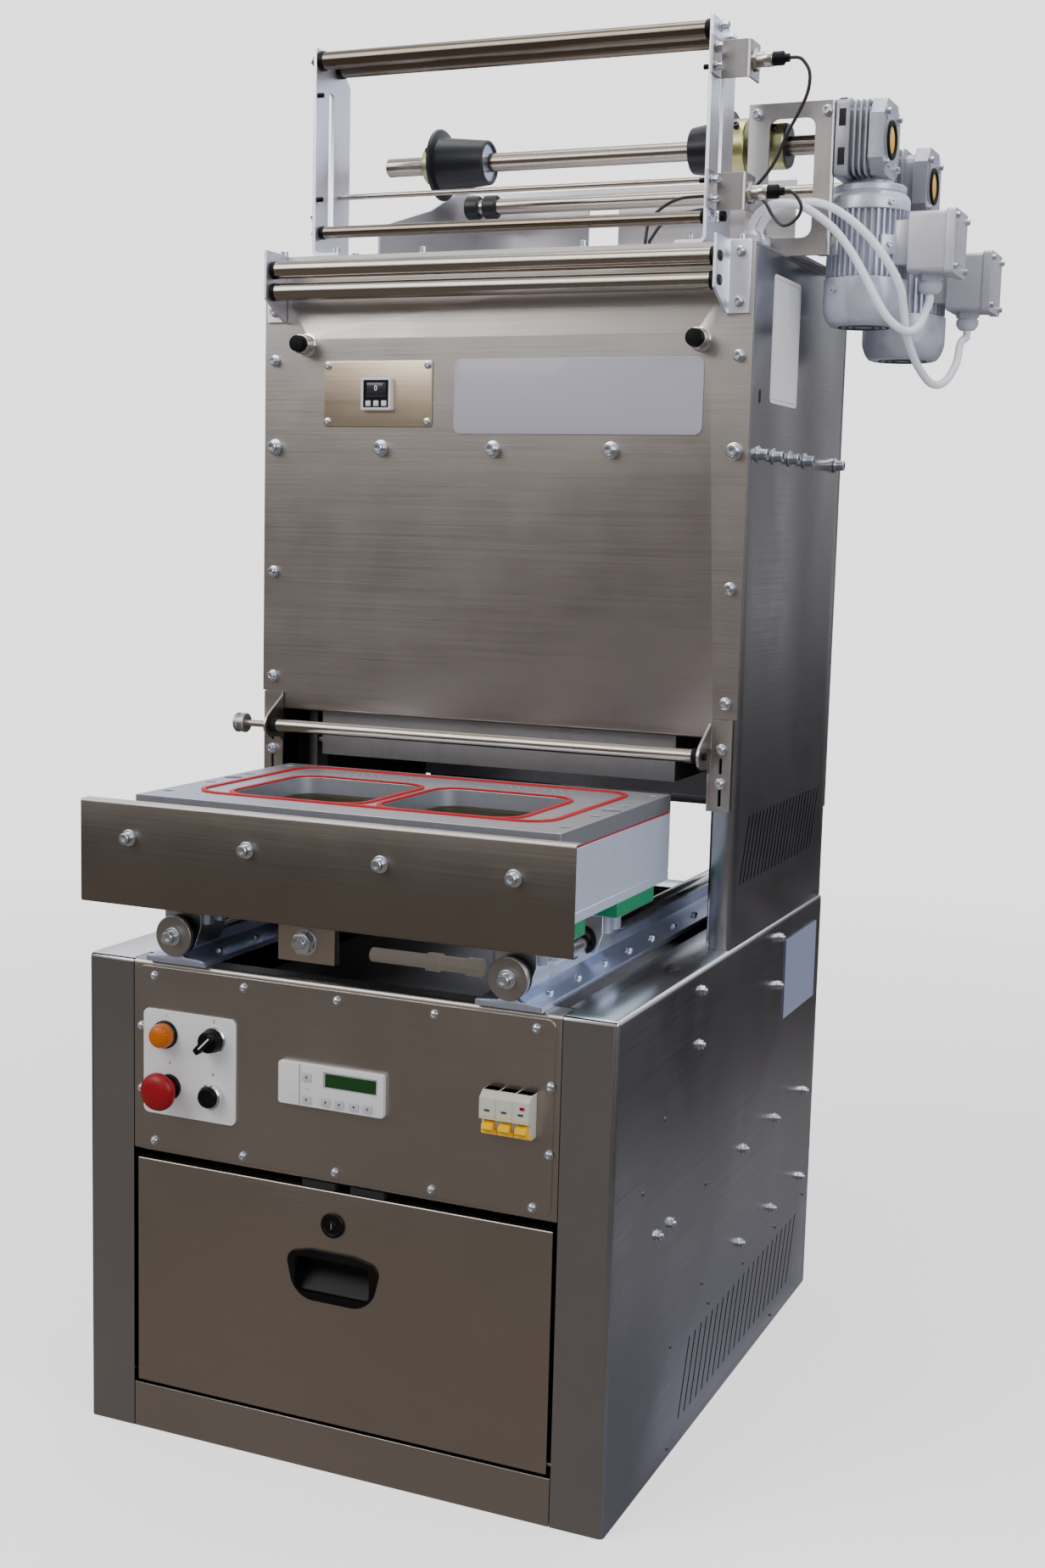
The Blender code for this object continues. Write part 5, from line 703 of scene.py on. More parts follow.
    def mesh(self, name: str, smooth: float = 35.0) -> bpy.types.Mesh:
        """Give the finished mesh, facing outwards and shaded smooth up to an angle in degrees."""
        bmesh.ops.recalc_face_normals(self.bm, faces=self.bm.faces)
        made = bpy.data.meshes.new(name)
        self.bm.to_mesh(made)
        self.bm.free()
        made.shade_smooth()
        made.set_sharp_from_angle(angle=math.radians(smooth))
        return made

    def piece(self, name: str, finish: Finish, body: str = "machine", replaces: Sequence[str] = (), edge: float = 0.0,
            smooth: float = 35.0, slot: str = "") -> bpy.types.Object:
        """Finish the form as a piece of the machine.

        Args:
            name: The piece's name.
            finish: What it is made of.
            body: The body it rides on.
            replaces: The solids it stands for.
            edge: How far its sharp edges are rounded.
            smooth: The angle, in degrees, up to which it is shaded smooth.
            slot: The record's material slot, where it isn't the finish's own; not used.

        Returns:
            The piece.
        """
        made = linked(name, self.mesh(name, smooth))
        made.data.materials.append(finish.material())
        if edge:
            bevel = made.modifiers.new("edges", "BEVEL")
            bevel.width = edge
            bevel.segments = 2
            bevel.limit_method = "ANGLE"
            bevel.angle_limit = math.radians(38)
        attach(made, body)
        if replaces:
            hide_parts(*replaces)
        log.info("%s rides on %s", name, body)
        return made


def round_corners(x0: float, z0: float, x1: float, z1: float, radius: float, steps: int = 6) -> list[tuple]:
    """Give the outline of a rectangle with round corners."""
    corners = ((x1 - radius, z0 + radius, -90), (x1 - radius, z1 - radius, 0), (x0 + radius, z1 - radius, 90),
        (x0 + radius, z0 + radius, 180))
    return [(x + radius * math.cos(math.radians(start + 90 * i / steps)), z + radius * math.sin(math.radians(start
        + 90 * i / steps))) for x, z, start in corners for i in range(steps + 1)]


def facing(point: Point, direction: Point, turn: float = 0.0) -> Matrix:
    """Give the place of a stamped part whose own +Z points along a direction."""
    aim = Vector(direction).to_track_quat("Z", "Y").to_matrix().to_4x4()
    return Matrix.Translation(point) @ aim @ Matrix.Rotation(turn, 4, "Z")


TO_FRONT = (0, -1, 0)
TO_BACK = (0, 1, 0)
TO_RIGHT = (1, 0, 0)
TO_LEFT = (-1, 0, 0)
UP = (0, 0, 1)
DOWN = (0, 0, -1)


class Fasteners:
    """Screws, bolts, nuts and rivets, each shaped once and stamped where they are."""

    def __init__(self) -> None:
        """Start with no mesh."""
        self.made: dict[str, bpy.types.Mesh] = {}

    def _socket_head(self, form: Form, radius: float, low: float, high: float, recess: float, sides: int) -> None:
        """Add a cylindrical head with a six-sided recess."""
        edge = radius * 0.12
        form.lathe([(radius, low), (radius, high - edge), (radius - edge, high), (recess, high),
            (recess * 0.96, high - recess), (0, high - recess * 1.1)], (0, 0, 0), UP, sides)
        for vert in form.turned:
            reach = math.hypot(vert.co.x, vert.co.y)
            if 0 < reach <= recess * 1.01:
                angle = math.atan2(vert.co.y, vert.co.x) % (math.pi / 3) - math.pi / 6
                share = math.cos(math.pi / 6) / math.cos(angle)
                vert.co.x *= share
                vert.co.y *= share

    def _turned(self, kind: str, size: float, turns: Sequence[tuple[int, Profile]] = (), head: Sequence[float] = (),
            smooth: float = 30) -> bpy.types.Mesh:
        """Give a fastener's mesh, made once.

        Args:
            kind: What it is.
            size: Its thread size in metres, in which the next two are measured.
            turns: How many faces go round each turned part, and its profile.
            head: Where a socket head starts and ends, its recess and how many faces go round.
            smooth: The angle, in degrees, up to which it is shaded smooth.

        Returns:
            The mesh.
        """
        key = f"{kind}_{size:.4f}"
        if key not in self.made:
            form = Form()
            for sides, profile in turns:
                form.lathe([(size * u, size * v) for u, v in profile], (0, 0, 0), UP, sides)
            if head:
                self._socket_head(form, size * 0.75, *(size * part for part in head[:3]), head[3])
            self.made[key] = form.mesh(key, smooth)
        return self.made[key]

    def bolt(self, size: float) -> bpy.types.Mesh:
        """Give a socket-head bolt on a spring washer and a flat washer."""
        return self._turned("bolt", size, ((24, [(0, 0), (1.05, 0), (1.1, 0.05), (1.1, 0.2), (1.02, 0.24),
            (0.8, 0.24)]), (18, [(0.8, 0.24), (0.84, 0.28), (0.84, 0.44), (0.7, 0.48)])), (0.48, 1.45, 0.42, 24))

    def screw(self, size: float) -> bpy.types.Mesh:
        """Give a low dome-headed socket screw on a small washer."""
        return self._turned("screw", size, ((18, [(0, 0), (1.08, 0), (1.08, 0.18), (0.9, 0.22), (0.9, 0.3)]),
            (18, [(0.9, 0.2), (0.9, 0.36), (0.76, 0.62), (0.42, 0.78), (0.36, 0.5), (0, 0.44)])))

    def head(self, size: float) -> bpy.types.Mesh:
        """Give a bare socket head with no washer."""
        return self._turned("head", size, head=(0, 0.95, 0.4, 18))

    def nut(self, size: float) -> bpy.types.Mesh:
        """Give a hexagon nut on a washer, with the thread's end in it."""
        return self._turned("nut", size, ((24, [(0, 0), (1.12, 0), (1.12, 0.16), (0.9, 0.18)]),
            (6, [(0.98, 0.16), (0.98, 0.92), (0.84, 0.98), (0.5, 0.98)]), (16, [(0.5, 0.9), (0.5, 1.3), (0.42, 1.38),
            (0, 1.38)])))

    def rivet(self, size: float) -> bpy.types.Mesh:
        """Give a small domed rivet head."""
        return self._turned("rivet", size, ((14, [(1, 0), (0.94, 0.25), (0.6, 0.5), (0, 0.6)]),), smooth=60)


FIX = Fasteners()


def sown(name: str, mesh: bpy.types.Mesh, places: Iterable[Matrix], finish: Finish = ZINC, body: str = "machine",
        slot: str = "") -> bpy.types.Object:
    """Stamp one fastener at many places as one piece.

    Args:
        name: The piece's name.
        mesh: The fastener.
        places: Where it goes.
        finish: Its plating.
        body: The body it rides on.
        slot: The record's material slot, where it isn't the finish's own; passed on to the piece, which does not use
            it.

    Returns:
        The piece.
    """
    return Form().stamp(mesh, places).piece(name, finish, body, smooth=30, slot=slot)


def mesh_of_text(words: str, height: float, point: Point) -> Form:
    """Give flat raised lettering as a form, read from the front of the machine.

    Args:
        words: Plain numbers or a generic word.
        height: The height of the letters.
        point: The middle of the line.

    Returns:
        The form.
    """
    curve = bpy.data.curves.new("lettering", "FONT")
    curve.body = words
    curve.size = height
    curve.extrude = 0.00006
    curve.align_x = "CENTER"
    curve.align_y = "CENTER"
    holder = linked("lettering", curve)
    bpy.context.view_layer.update()
    mesh = bpy.data.meshes.new_from_object(holder.evaluated_get(bpy.context.evaluated_depsgraph_get()))
    bpy.data.objects.remove(holder)
    return Form().stamp(mesh, [Matrix.Translation(point) @ Matrix.Rotation(math.pi / 2, 4, "X")])


def dressed(node: str, finish: Finish, body: str = "machine", edge: float = 0.0004, slot: str = "") -> None:
    """Show a solid as it is, with its edges broken, in a finish."""
    Form().copy_of(node).piece(f"{node}_shown", finish, body, (node,), edge, slot=slot)


def ring_of(x: float, z: float, radius: float, steps: int = 24) -> list[tuple]:
    """Give a circle as an outline."""
    return [(x + radius * math.cos(math.tau * i / steps), z + radius * math.sin(math.tau * i / steps))
        for i in range(steps)]


def hull_of(circles: Sequence[tuple[float, float, float]]) -> list[tuple]:
    """Give the outline that a band would take round some circles, each x, z and radius."""
    points = [Vector(point) for circle in circles for point in ring_of(*circle, 40)]
    return [tuple(points[i]) for i in geometry.convex_hull_2d(points)]


# The machine
class Cabinet:
    """The floor-standing base: its sheets, door, fasteners and plates."""

    FACE = -0.0015
    WALL = 0.307
    PANEL_SCREWS = [(x, z) for z in (0.5125, 0.3305) for x in (-0.222, -0.111, 0, 0.111, 0.222)]
    PANEL_SIDE_SCREWS = [(x, z) for z in (0.456, 0.387) for x in (-0.2385, 0.2385)]
    SIDE_SCREWS = [(0.2505, 0.507), (0.2505, 0.447), (0.5525, 0.508), (0.554, 0.448), (0.699, 0.2764),
        (0.567, 0.2762), (0.4348, 0.2758), (0.699, 0.16), (0.567, 0.16), (0.4345, 0.16), (0.1726, 0.2722),
        (0.1328, 0.2718)]
    SIDE_RIVETS = [(0.146, 0.3925), (0.0855, 0.3313), (0.2942, 0.2766), (0.5904, 0.1273), (0.4547, 0.1278),
        (0.2946, 0.1607), (0.3214, 0.1277), (0.1904, 0.1271), (0.1918, 0.0105), (0.5868, 0.0123), (0.7199, 0.1291)]

    def sheets(self) -> None:
        """Show the folded sheets."""
        for side in ("left", "right"):
            dressed(f"base_{side}_side", SIDE_SHEET, edge=0)
        dressed("base_back_panel", SIDE_SHEET)
        dressed("plinth", CABINET_SHEET)
        dressed("deck_rear", SIDE_SHEET)
        dressed("control_panel", CABINET_SHEET, edge=0.0003)

    def door(self) -> None:
        """Build the drop-down door with its pocket handle and cam lock."""
        half, low, high = 0.2445, 0.0545, 0.3087
        shield, cut = (hull_of([(-0.043, 0.227, small), (0.039, 0.227, small), (-0.0245, 0.2155, large),
            (0.0205, 0.2155, large)]) for small, large in ((0.013, 0.0285), (0.011, 0.0265)))
        pocket = round_corners(-0.046, 0.196, 0.042, 0.234, 0.008)
        skin = Form().plate(round_corners(-half, low, half, high, 0.0015), FRONT, FRONT + 0.002, "Y", [cut], 0.0013)
        for z in (low + 0.0002, high - 0.0022):
            skin.block(at(-half + 0.0003, 0.001, z), at(half - 0.0003, 0.016, z + 0.002))
        for x in (-half + 0.0002, half - 0.0022):
            skin.block(at(x, 0.001, low + 0.0004), at(x + 0.002, 0.0155, high - 0.0004))
        for x in (-half - 0.011, half - 0.001):
            skin.rod(at(x, 0.008, 0.0625), at(x + 0.012, 0.008, 0.0625), 0.0025, 0.0003, 20)
        skin.piece("service_door_skin", DOOR_SHEET, "door", ("service_door",))
        cup = Form().plate(shield, FRONT - 0.0022, FRONT + 0.001, "Y", [pocket], 0.0014)
        cup.plate(round_corners(-0.0478, 0.1942, 0.0438, 0.2358, 0.009), FRONT + 0.0005, FRONT + 0.022, "Y", [pocket])
        cup.block(at(-0.047, 0.0212, 0.195), at(0.043, 0.0232, 0.235))
        cup.prism([(FRONT + 0.003, 0.1945), (FRONT + 0.0215, 0.1945), (FRONT + 0.0215, 0.2165)], -0.0465, 0.0425, "X")
        cup.piece("door_handle", BLACK, "door")
        lock = Form().lathe([(0, 0.004), (0.0046, 0.004), (0.0052, 0.0033), (0.0092, 0.0033), (0.01, 0.004),
            (0.0124, 0.0036), (0.0135, 0.0024), (0.0135, -0.004), (0, -0.004)], at(-0.002, 0, 0.273), TO_FRONT)
        lock.piece("door_lock", BLACK, "door")
        Form().block(at(-0.0026, -0.0044, 0.2698), at(-0.0014, -0.003, 0.2762)).piece("door_lock_keyway", ZINC,
            "door")

    def fasteners(self) -> None:
        """Put the screws and rivets on the panel and the right side."""
        places = [facing(at(x, self.FACE, z), TO_FRONT, x * 9) for x, z in self.PANEL_SCREWS + self.PANEL_SIDE_SCREWS]
        sown("panel_screws", FIX.screw(0.0046), places)
        places = [facing(at(way[0] * self.WALL, y, z), way, y * 7) for way in (TO_RIGHT, TO_LEFT) for y,
            z in self.SIDE_SCREWS]
        sown("side_screws", FIX.nut(0.0054), places)
        places = [facing(at(self.WALL, y, z), TO_RIGHT) for y, z in self.SIDE_RIVETS]
        sown("side_rivets", FIX.rivet(0.0026), places, DARK_SHEET)
        # A dark dome over the deck's hole: painted shade.
        sown("deck_hole", FIX.rivet(0.0072), [facing(at(0.276, 0.243, 0.529), UP)], SHADE_FILL)

    def plates(self) -> None:
        """Put the bare data plate on the right side, and painted shade in the two latch openings over the door."""
        Form().plate([(0.5825 + FRONT, 0.399), (0.7225 + FRONT, 0.399), (0.7225 + FRONT, 0.499),
            (0.5825 + FRONT, 0.499)], self.WALL + 0.0002, self.WALL + 0.001, "X",
            edge=0.0003).piece("bare_data_plate", DATA_PLATE)
        # The recessed latch blocks, in the dark fill, are painted shade in their openings.
        latches = Form()
        for low, high in ((-0.04, -0.0015), (0.017, 0.056)):
            latches.block(at(low, 0.0012, 0.3094), at(high, 0.012, 0.3166))
        latches.piece("door_latches", SHADE_FILL)

    def inside(self) -> None:
        """Lay the tan hose that shows through the deck, and put a dark sheet under it as painted shade for the
        cabinet's inside.
        """
        hose = Form()
        hose.rod(at(-0.12, 0.3, 0.488), at(-0.046, 0.3, 0.488), 0.0085, 0.001)
        hose.lathe([(0, 0), (0.0115, 0), (0.0115, 0.018), (0.0095, 0.02), (0.0095, 0.05), (0.0115, 0.052),
            (0.0115, 0.071), (0, 0.071)], at(-0.046, 0.3, 0.488), TO_RIGHT, 6)
        hose.piece("hose", HOSE)
        # A dark sheet inside the cabinet: painted shade.
        Form().block(at(-0.236, 0.052, 0.462), at(0.236, 0.655, 0.464)).piece("cabinet_shade_sheet", DARK_SHEET)

    def build(self) -> None:
        """Build the whole base."""
        self.sheets()
        self.door()
        self.fasteners()
        self.plates()
        self.inside()


@dataclass
class Controls:
    """The four push-buttons and lamp, the operator panel and the breaker."""

    KEYS = ((-0.0305, 0.4297), (-0.0305, 0.406), (-0.008, 0.406), (0.008, 0.406), (0.025, 0.406), (0.041, 0.406))
    lamp: tuple[float, float] = (-0.206, 0.451)
    selector: tuple[float, float] = (-0.145, 0.453)
    stop: tuple[float, float] = (-0.201, 0.394)
    push: tuple[float, float] = (-0.147, 0.392)
    face: float = -0.0038
    bezel: float = -0.0078

    def button_plate(self) -> None:
        """Build the white plate, its bezels and plain numbers."""
        wells = [ring_of(*self.stop, 0.0112), ring_of(*self.push, 0.0112)]
        Form().plate(round_corners(-0.2343, 0.362, -0.1193, 0.477, 0.007), FRONT + self.face, FRONT - 0.0018, "Y",
            wells, 0.0006).piece("button_plate_face", WHITE, replaces=("button_plate",))
        bezels = Form()
        for (x, z), inner, outer in ((self.lamp, 0.0137, 0.015), (self.stop, 0.0108, 0.014)):
            bezels.lathe([(inner, 0), (inner, 0.004), (outer - 0.0008, 0.004), (outer, 0.0032), (outer, 0)],
                at(x, self.face, z), TO_FRONT)
        bezels.piece("black_bezels", BLACK)
        rings = Form()
        for (x, z), inner, outer, high in ((self.selector, 0.0127, 0.0145, 0.004), (self.push, 0.0108, 0.0135, 0.0092)):
            rings.lathe([(inner, 0), (inner, high - 0.001), (inner + 0.0006, high), (outer - 0.001, high - 0.0002),
                (outer, high - 0.0014), (outer, 0)], at(x, self.face, z), TO_FRONT)
        rings.piece("chrome_bezels", CHROME)
        words = Form()
        for digits, (x, z) in (("1", (-0.205, 0.4715)), ("2", (-0.146, 0.4725)), ("3", (-0.201, 0.4205)),
                ("4", (-0.147, 0.4145))):
            made = mesh_of_text(digits, 0.0052, at(x, self.face - 0.0001, z)).mesh("digit")
            words.stamp(made, [Matrix.Identity(4)])
            bpy.data.meshes.remove(made)
        words.piece("button_numbers", INK)

    def lamp_and_buttons(self) -> None:
        """Build the amber lens, the selector, the mushroom and the black button."""
        x, z = self.lamp
        top = 0.015
        lens = Form().lathe([(0, top), (0.004, top - 0.0002), (0.008, top - 0.0011), (0.0108, top - 0.0028),
            (0.0126, top - 0.0056), (0.0133, top - 0.009), (0.0134, 0.0008), (0, 0.0008)], at(x, self.bezel, z),
            TO_FRONT)
        lens.ribbed(at(x, 0, z), 0.007, 0.0005)
        lens.piece("lamp_lens", AMBER, replaces=("signal_lamp",), smooth=25)
        x, z = self.selector
        seat = self.bezel - GAP
        knob = Form().lathe([(0, 0.0118), (0.0098, 0.0118), (0.0112, 0.011), (0.0121, 0.007), (0.0125, 0), (0, 0)],
            at(x, seat, z), TO_FRONT)
        bar = Form().plate(hull_of([(-0.013, 0.0015, 0.0022), (-0.013, -0.0015, 0.0022), (0.007, 0, 0.0046)]), 0.008,
            0.018, "Z", edge=0.0008)
        turned = facing(at(x, seat, z), TO_FRONT, self.lever_turn(math.radians(225)))
        knob.stamp(bar.mesh("lever"), [turned])
        knob.piece("selector_lever", BLACK, "selector", ("selector_knob",))
        mark = Form().block((-0.0082, -0.0008, 0.0177), (0.0098, 0.0008, 0.0182)).mesh("mark")
        Form().stamp(mark, [turned]).piece("selector_mark", WHITE, "selector")
        x, z = self.stop
        seat = self.bezel + 0.001
        cap = Form().lathe([(0, 0.029), (0.006, 0.0289), (0.0115, 0.0281), (0.016, 0.0264), (0.019, 0.0238),
            (0.0204, 0.0205), (0.0204, 0.0172), (0.0188, 0.0152), (0.016, 0.0142), (0.0105, 0.0122), (0.0105, 0),
            (0, 0)], at(x, seat, z), TO_FRONT, 64)
        cap.piece("stop_cap", RED_CAP, "emergency", ("emergency_stop",), smooth=50)
        x, z = self.push
        cap = Form().lathe([(0, 0.0098), (0.0086, 0.0102), (0.0092, 0.011), (0.0099, 0.0108), (0.0105, 0.0098),
            (0.0105, 0), (0, 0)], at(x, seat, z), TO_FRONT)
        cap.piece("push_cap", BLACK, "push", ("push_button",))

    @staticmethod
    def lever_turn(angle: float) -> float:
        """Give the turn about the knob's own axis that points its tip along an angle seen from the front."""
        aim = Vector(TO_FRONT).to_track_quat("Z", "Y").to_matrix()
        own = aim.inverted() @ Vector((math.cos(angle), 0, math.sin(angle)))
        return math.atan2(own.y, own.x) - math.pi

    def operator_panel(self) -> None:
        """Build the white panel with its display and six keys."""
        face = FRONT - 0.0078
        window = round_corners(-0.012, 0.4197, 0.0512, 0.4377, 0.0015)
        Form().plate(round_corners(-0.065, 0.398, 0.058, 0.443, 0.003), face, FRONT - 0.0018, "Y", [window],
            0.0008).piece("operator_panel_face", WHITE, replaces=("operator_panel",))
        Form().block((-0.0125, face + 0.0016, 0.4193), (0.0517, face + 0.003, 0.4381)).piece("display_frame",
            KEY_GREY)
        Form().block((-0.01, face + 0.001, 0.4217), (0.049, face + 0.002, 0.4357), 0.0003).piece("display", LCD)
        keys = Form()
        for x, z in self.KEYS:
            keys.prism(round_corners(x - 0.0052, z - 0.0044, x + 0.0052, z + 0.0044, 0.0014), face - 0.0014,
                face + 0.0004, "Y", 0.0004)
        keys.piece("panel_keys", KEY_GREY)
        marks = Form().block((-0.0397, face - 0.0001, 0.3988), (-0.039, face + 0.0003, 0.4422))
        for x, z in self.KEYS:
            for turn in (0, 1):
                size = (0.0016, 0.0004) if turn else (0.0004, 0.0016)
                marks.block((x - size[0], face - 0.00155, z - size[1]), (x + size[0], face - 0.00135, z + size[1]))
        for i in range(3):
            marks.block((-0.032 + 0.0015 * i, face - 0.0001, 0.4163), (-0.0312 + 0.0015 * i, face + 0.0002, 0.4171))
        marks.piece("panel_marks", INK)

    def breaker(self) -> None:
        """Build the three-pole breaker with its toggles."""
        face, low, high = FRONT - 0.0018, 0.403, 0.448
        section = [(face, low), (face, high), (face - 0.012, high), (face - 0.02, high - 0.006),
            (face - 0.02, low + 0.0175), (face - 0.0125, low + 0.015), (face - 0.012, low)]
        body = Form()
        for i in range(3):
            body.prism(section, 0.1712 + 0.018 * i, 0.1888 + 0.018 * i, "X", 0.0005)
        body.prism([(y + 0.0006 if y < face else y, z) for y, z in section], 0.172, 0.224, "X")
        body.piece("breaker_body", BREAKER_WHITE, replaces=("circuit_breaker",))
        nose = face - 0.0202
        bands, windows, toggles = Form(), Form(), Form()
        for i in range(3):
            x = 0.18 + 0.018 * i
            bands.block((x - 0.0082, nose - 0.0001, 0.4232), (x + 0.0082, nose + 0.001, 0.4254))
            windows.block((x - 0.0028, nose - 0.0002, 0.4285), (x + 0.0028, nose + 0.001, 0.4305))
            toggles.prism([(face - 0.012, 0.4185), (face - 0.0208, 0.415), (face - 0.0212, 0.4105),
                (face - 0.0178, 0.4075), (face - 0.012, 0.407)], x - 0.0058, x + 0.0058, "X", 0.0006)
            toggles.block((x - 0.0084, face - 0.015, 0.4042), (x + 0.0084, face - 0.0118, 0.4092), 0.0005)
        bands.piece("breaker_band", BAND)
        windows.piece("breaker_windows", INK)
        toggles.piece("breaker_toggles", TOGGLE)
        Form().block((0.215, nose - 0.0002, 0.4345), (0.22, nose + 0.001, 0.4375)).piece("breaker_flag", RED_CAP)

    def build(self) -> None:
        """Build all the controls."""
        self.button_plate()
        self.lamp_and_buttons()
        self.operator_panel()
        self.breaker()


class Rails:
    """The two round rails, their feet, stops and screws."""

    TOP = 0.5293

    def rail(self, side: Side) -> None:
        """Build the rail on one side."""
        name, x = side.name.lower(), side.value * RAIL_X
        Form().rod(at(x, 0.004, RAIL_Z), at(x, 0.735, RAIL_Z), 0.01, 0.0006).piece(f"rail_bar_{name}", RAIL_BAR,
            replaces=(f"rail_{name}",))
        foot = [(-0.036, 0), (0.036, 0), (0.036, 0.0058), (0.0335, 0.0064), (0.012, 0.0082), (0.006, 0.0125),
            (0.005, 0.0225), (-0.005, 0.0225), (-0.006, 0.0125), (-0.012, 0.0082), (-0.0335, 0.0064),
            (-0.036, 0.0058)]
        Form().prism([(x + u, self.TOP + v) for u, v in foot], FRONT - 0.006, FRONT + 0.735, "Y",
            0.0004).piece(f"rail_foot_{name}", CAST_ALUMINIUM, slot="stainless")
        origin = at(x, 0, RAIL_Z)
        Form().lathe([(0, 0.0042), (0.02, 0.0042), (0.0212, 0.003), (0.0212, -0.0036), (0, -0.0036)], origin,
            TO_BACK).piece(f"rail_buffer_{name}", RUBBER)
        Form().lathe([(0, -0.0098), (0.0208, -0.0098), (0.0218, -0.0088), (0.0218, -0.0042), (0.0208, -0.0037),
            (0, -0.0037)], origin, TO_BACK, 64).piece(f"rail_stop_{name}", TOOL_STEEL, slot="stainless")
        sown(f"rail_stop_bolt_{name}", FIX.bolt(0.0088), [facing(at(x, -0.0098, RAIL_Z), TO_FRONT, 0.4)])
        screws = [facing(at(x + u, 0.042 + 0.075 * i, self.TOP + 0.0062), UP, i) for i in range(10)
            for u in (-0.024, 0.024)]
        sown(f"rail_screws_{name}", FIX.head(0.005), screws)

    def build(self) -> None:
        """Build both rails."""
        for side in Side:
            self.rail(side)


class Drawer:
    """The sliding tool: body, plate, seals, carriages, cover and drive plate."""

    PLATE_SCREWS = [(side * 0.23, y) for side in (-1, 1) for y in (0.037, 0.12, 0.2025, 0.289)]

    def plate(self) -> None:
        """Build the top plate with its cavities, screw holes, dowel holes and air holes."""
        cavity = [(x, y + FRONT) for x, y in round_corners(0.0105, 0.05, 0.1675, 0.219, 0.028, 8)]
        holes = [cavity, [(-x, y) for x, y in cavity]]
        holes += [ring_of(x, y + FRONT, 0.0058) for x, y in self.PLATE_SCREWS]
        holes += [ring_of(side * 0.23, 0.166 + FRONT, 0.0105, 32) for side in (-1, 1)]
        holes += [ring_of(side * (0.047 + 0.0103 * i), 0.27 + FRONT, 0.0017, 10) for side in (-1, 1) for i in range(10)]
        holes.append(ring_of(-0.191, 0.0335 + FRONT, 0.0028, 16))
        outline = [(-0.243, FRONT - 0.005), (0.243, FRONT - 0.005), (0.243, FRONT + 0.314), (-0.243, FRONT + 0.314)]
        Form().plate(outline, 0.6888, 0.707, "Z", holes).piece("tool_plate_face", ALUMINIUM, "drawer",
            ("tool_plate",), 0.0004)
        sown("plate_screws", FIX.head(0.007), [facing(at(x, y, 0.6935), UP, x + y) for x, y in self.PLATE_SCREWS],
            BLACK_STEEL, "drawer", "black_plastic")
        # Dark fills in the bores, dowel hole and air holes: painted shade.
        bores = Form()
        for side in (-1, 1):
            bores.rod(at(side * 0.23, 0.166, 0.6889), at(side * 0.23, 0.166, 0.699), 0.0103)
            bores.block(at(side * 0.14 - 0.002 * side, 0.266, 0.6889), at(side * 0.045, 0.274, 0.693))
        bores.rod(at(-0.191, 0.0335, 0.6889), at(-0.191, 0.0335, 0.7), 0.0027)
        bores.piece("plate_bores", SHADE_FILL, "drawer")

    def tool(self) -> None:
        """Build the tool's body, seals and the inner plates of its cavities."""
        dressed("tool_body", ALUMINIUM_SIDE, "drawer")
        dressed("seam_gasket", SILICONE, "drawer", 0.0003)
        dressed("tool_seal", SILICONE, "drawer", 0.0006)
        floors = Form()
        for side in (-1, 1):
            outline = [(x * side, y + FRONT) for x, y in round_corners(0.0125, 0.052, 0.1655, 0.217, 0.026)]
            floors.plate(outline, 0.6342, 0.6372, "Z", [[(x * side, y + FRONT) for x,
                y in round_corners(0.03, 0.07, 0.148, 0.199, 0.016)]], 0.0005)
        floors.piece("cavity_plates", TOOL_STEEL, "drawer", slot="stainless")

    def carriages(self) -> None:
        """Build the four open bearing blocks, their seals and bosses."""
        seals, bosses = Form(), Form()
        for row, start in (("front", 0.009), ("rear", 0.187)):
            for side in Side:
                name = f"carriage_{row}_{side.name.lower()}"
                dressed(name, GREEN, "drawer", 0.0006)
                x = side.value * RAIL_X
                for y, way in ((start, TO_FRONT), (start + 0.05, TO_BACK)):
                    seals.lathe([(0.0106, 0), (0.0106, 0.0012), (0.0112, 0.0018), (0.015, 0.0018), (0.0158, 0.001),
                        (0.0158, 0)], at(x, y, RAIL_Z + 0.002), way, 40)
                for y in (start + 0.013, start + 0.037):
                    for sign in (-1, 1):
                        bosses.rod(at(x + sign * 0.0215, y, 0.57), at(x + sign * 0.0215, y, 0.5963), 0.0074, 0.0008, 24)
        seals.piece("carriage_seals", RUBBER, "drawer")
        bosses.piece("carriage_bosses", CAST_ALUMINIUM, "drawer")

    def cover(self) -> None:
        """Build the front cover with its four bolts, and the drive plate with its nut."""
        dressed("drawer_cover", COVER_SHEET, "drawer", 0.0004)
        sown("cover_bolts", FIX.bolt(0.0078), [facing(at(x, -0.0525, 0.669), TO_FRONT, 9 * x)
            for x in (-0.218, -0.077, 0.0745, 0.2165)], body="drawer")
        Form().block(at(-0.078, 0.012, 0.5447), at(-0.011, 0.022, 0.6112), 0.0006).piece("drive_plate_face",
            DRIVE_STEEL, "drawer", ("drive_plate",))
        sown("drive_nut", FIX.nut(0.0122), [facing(at(-0.0445, 0.012, 0.5665), TO_FRONT, 0.2)], body="drawer")

    def build(self) -> None:
        """Build the drawer."""
        self.plate()
        self.tool()
        self.carriages()
        self.cover()


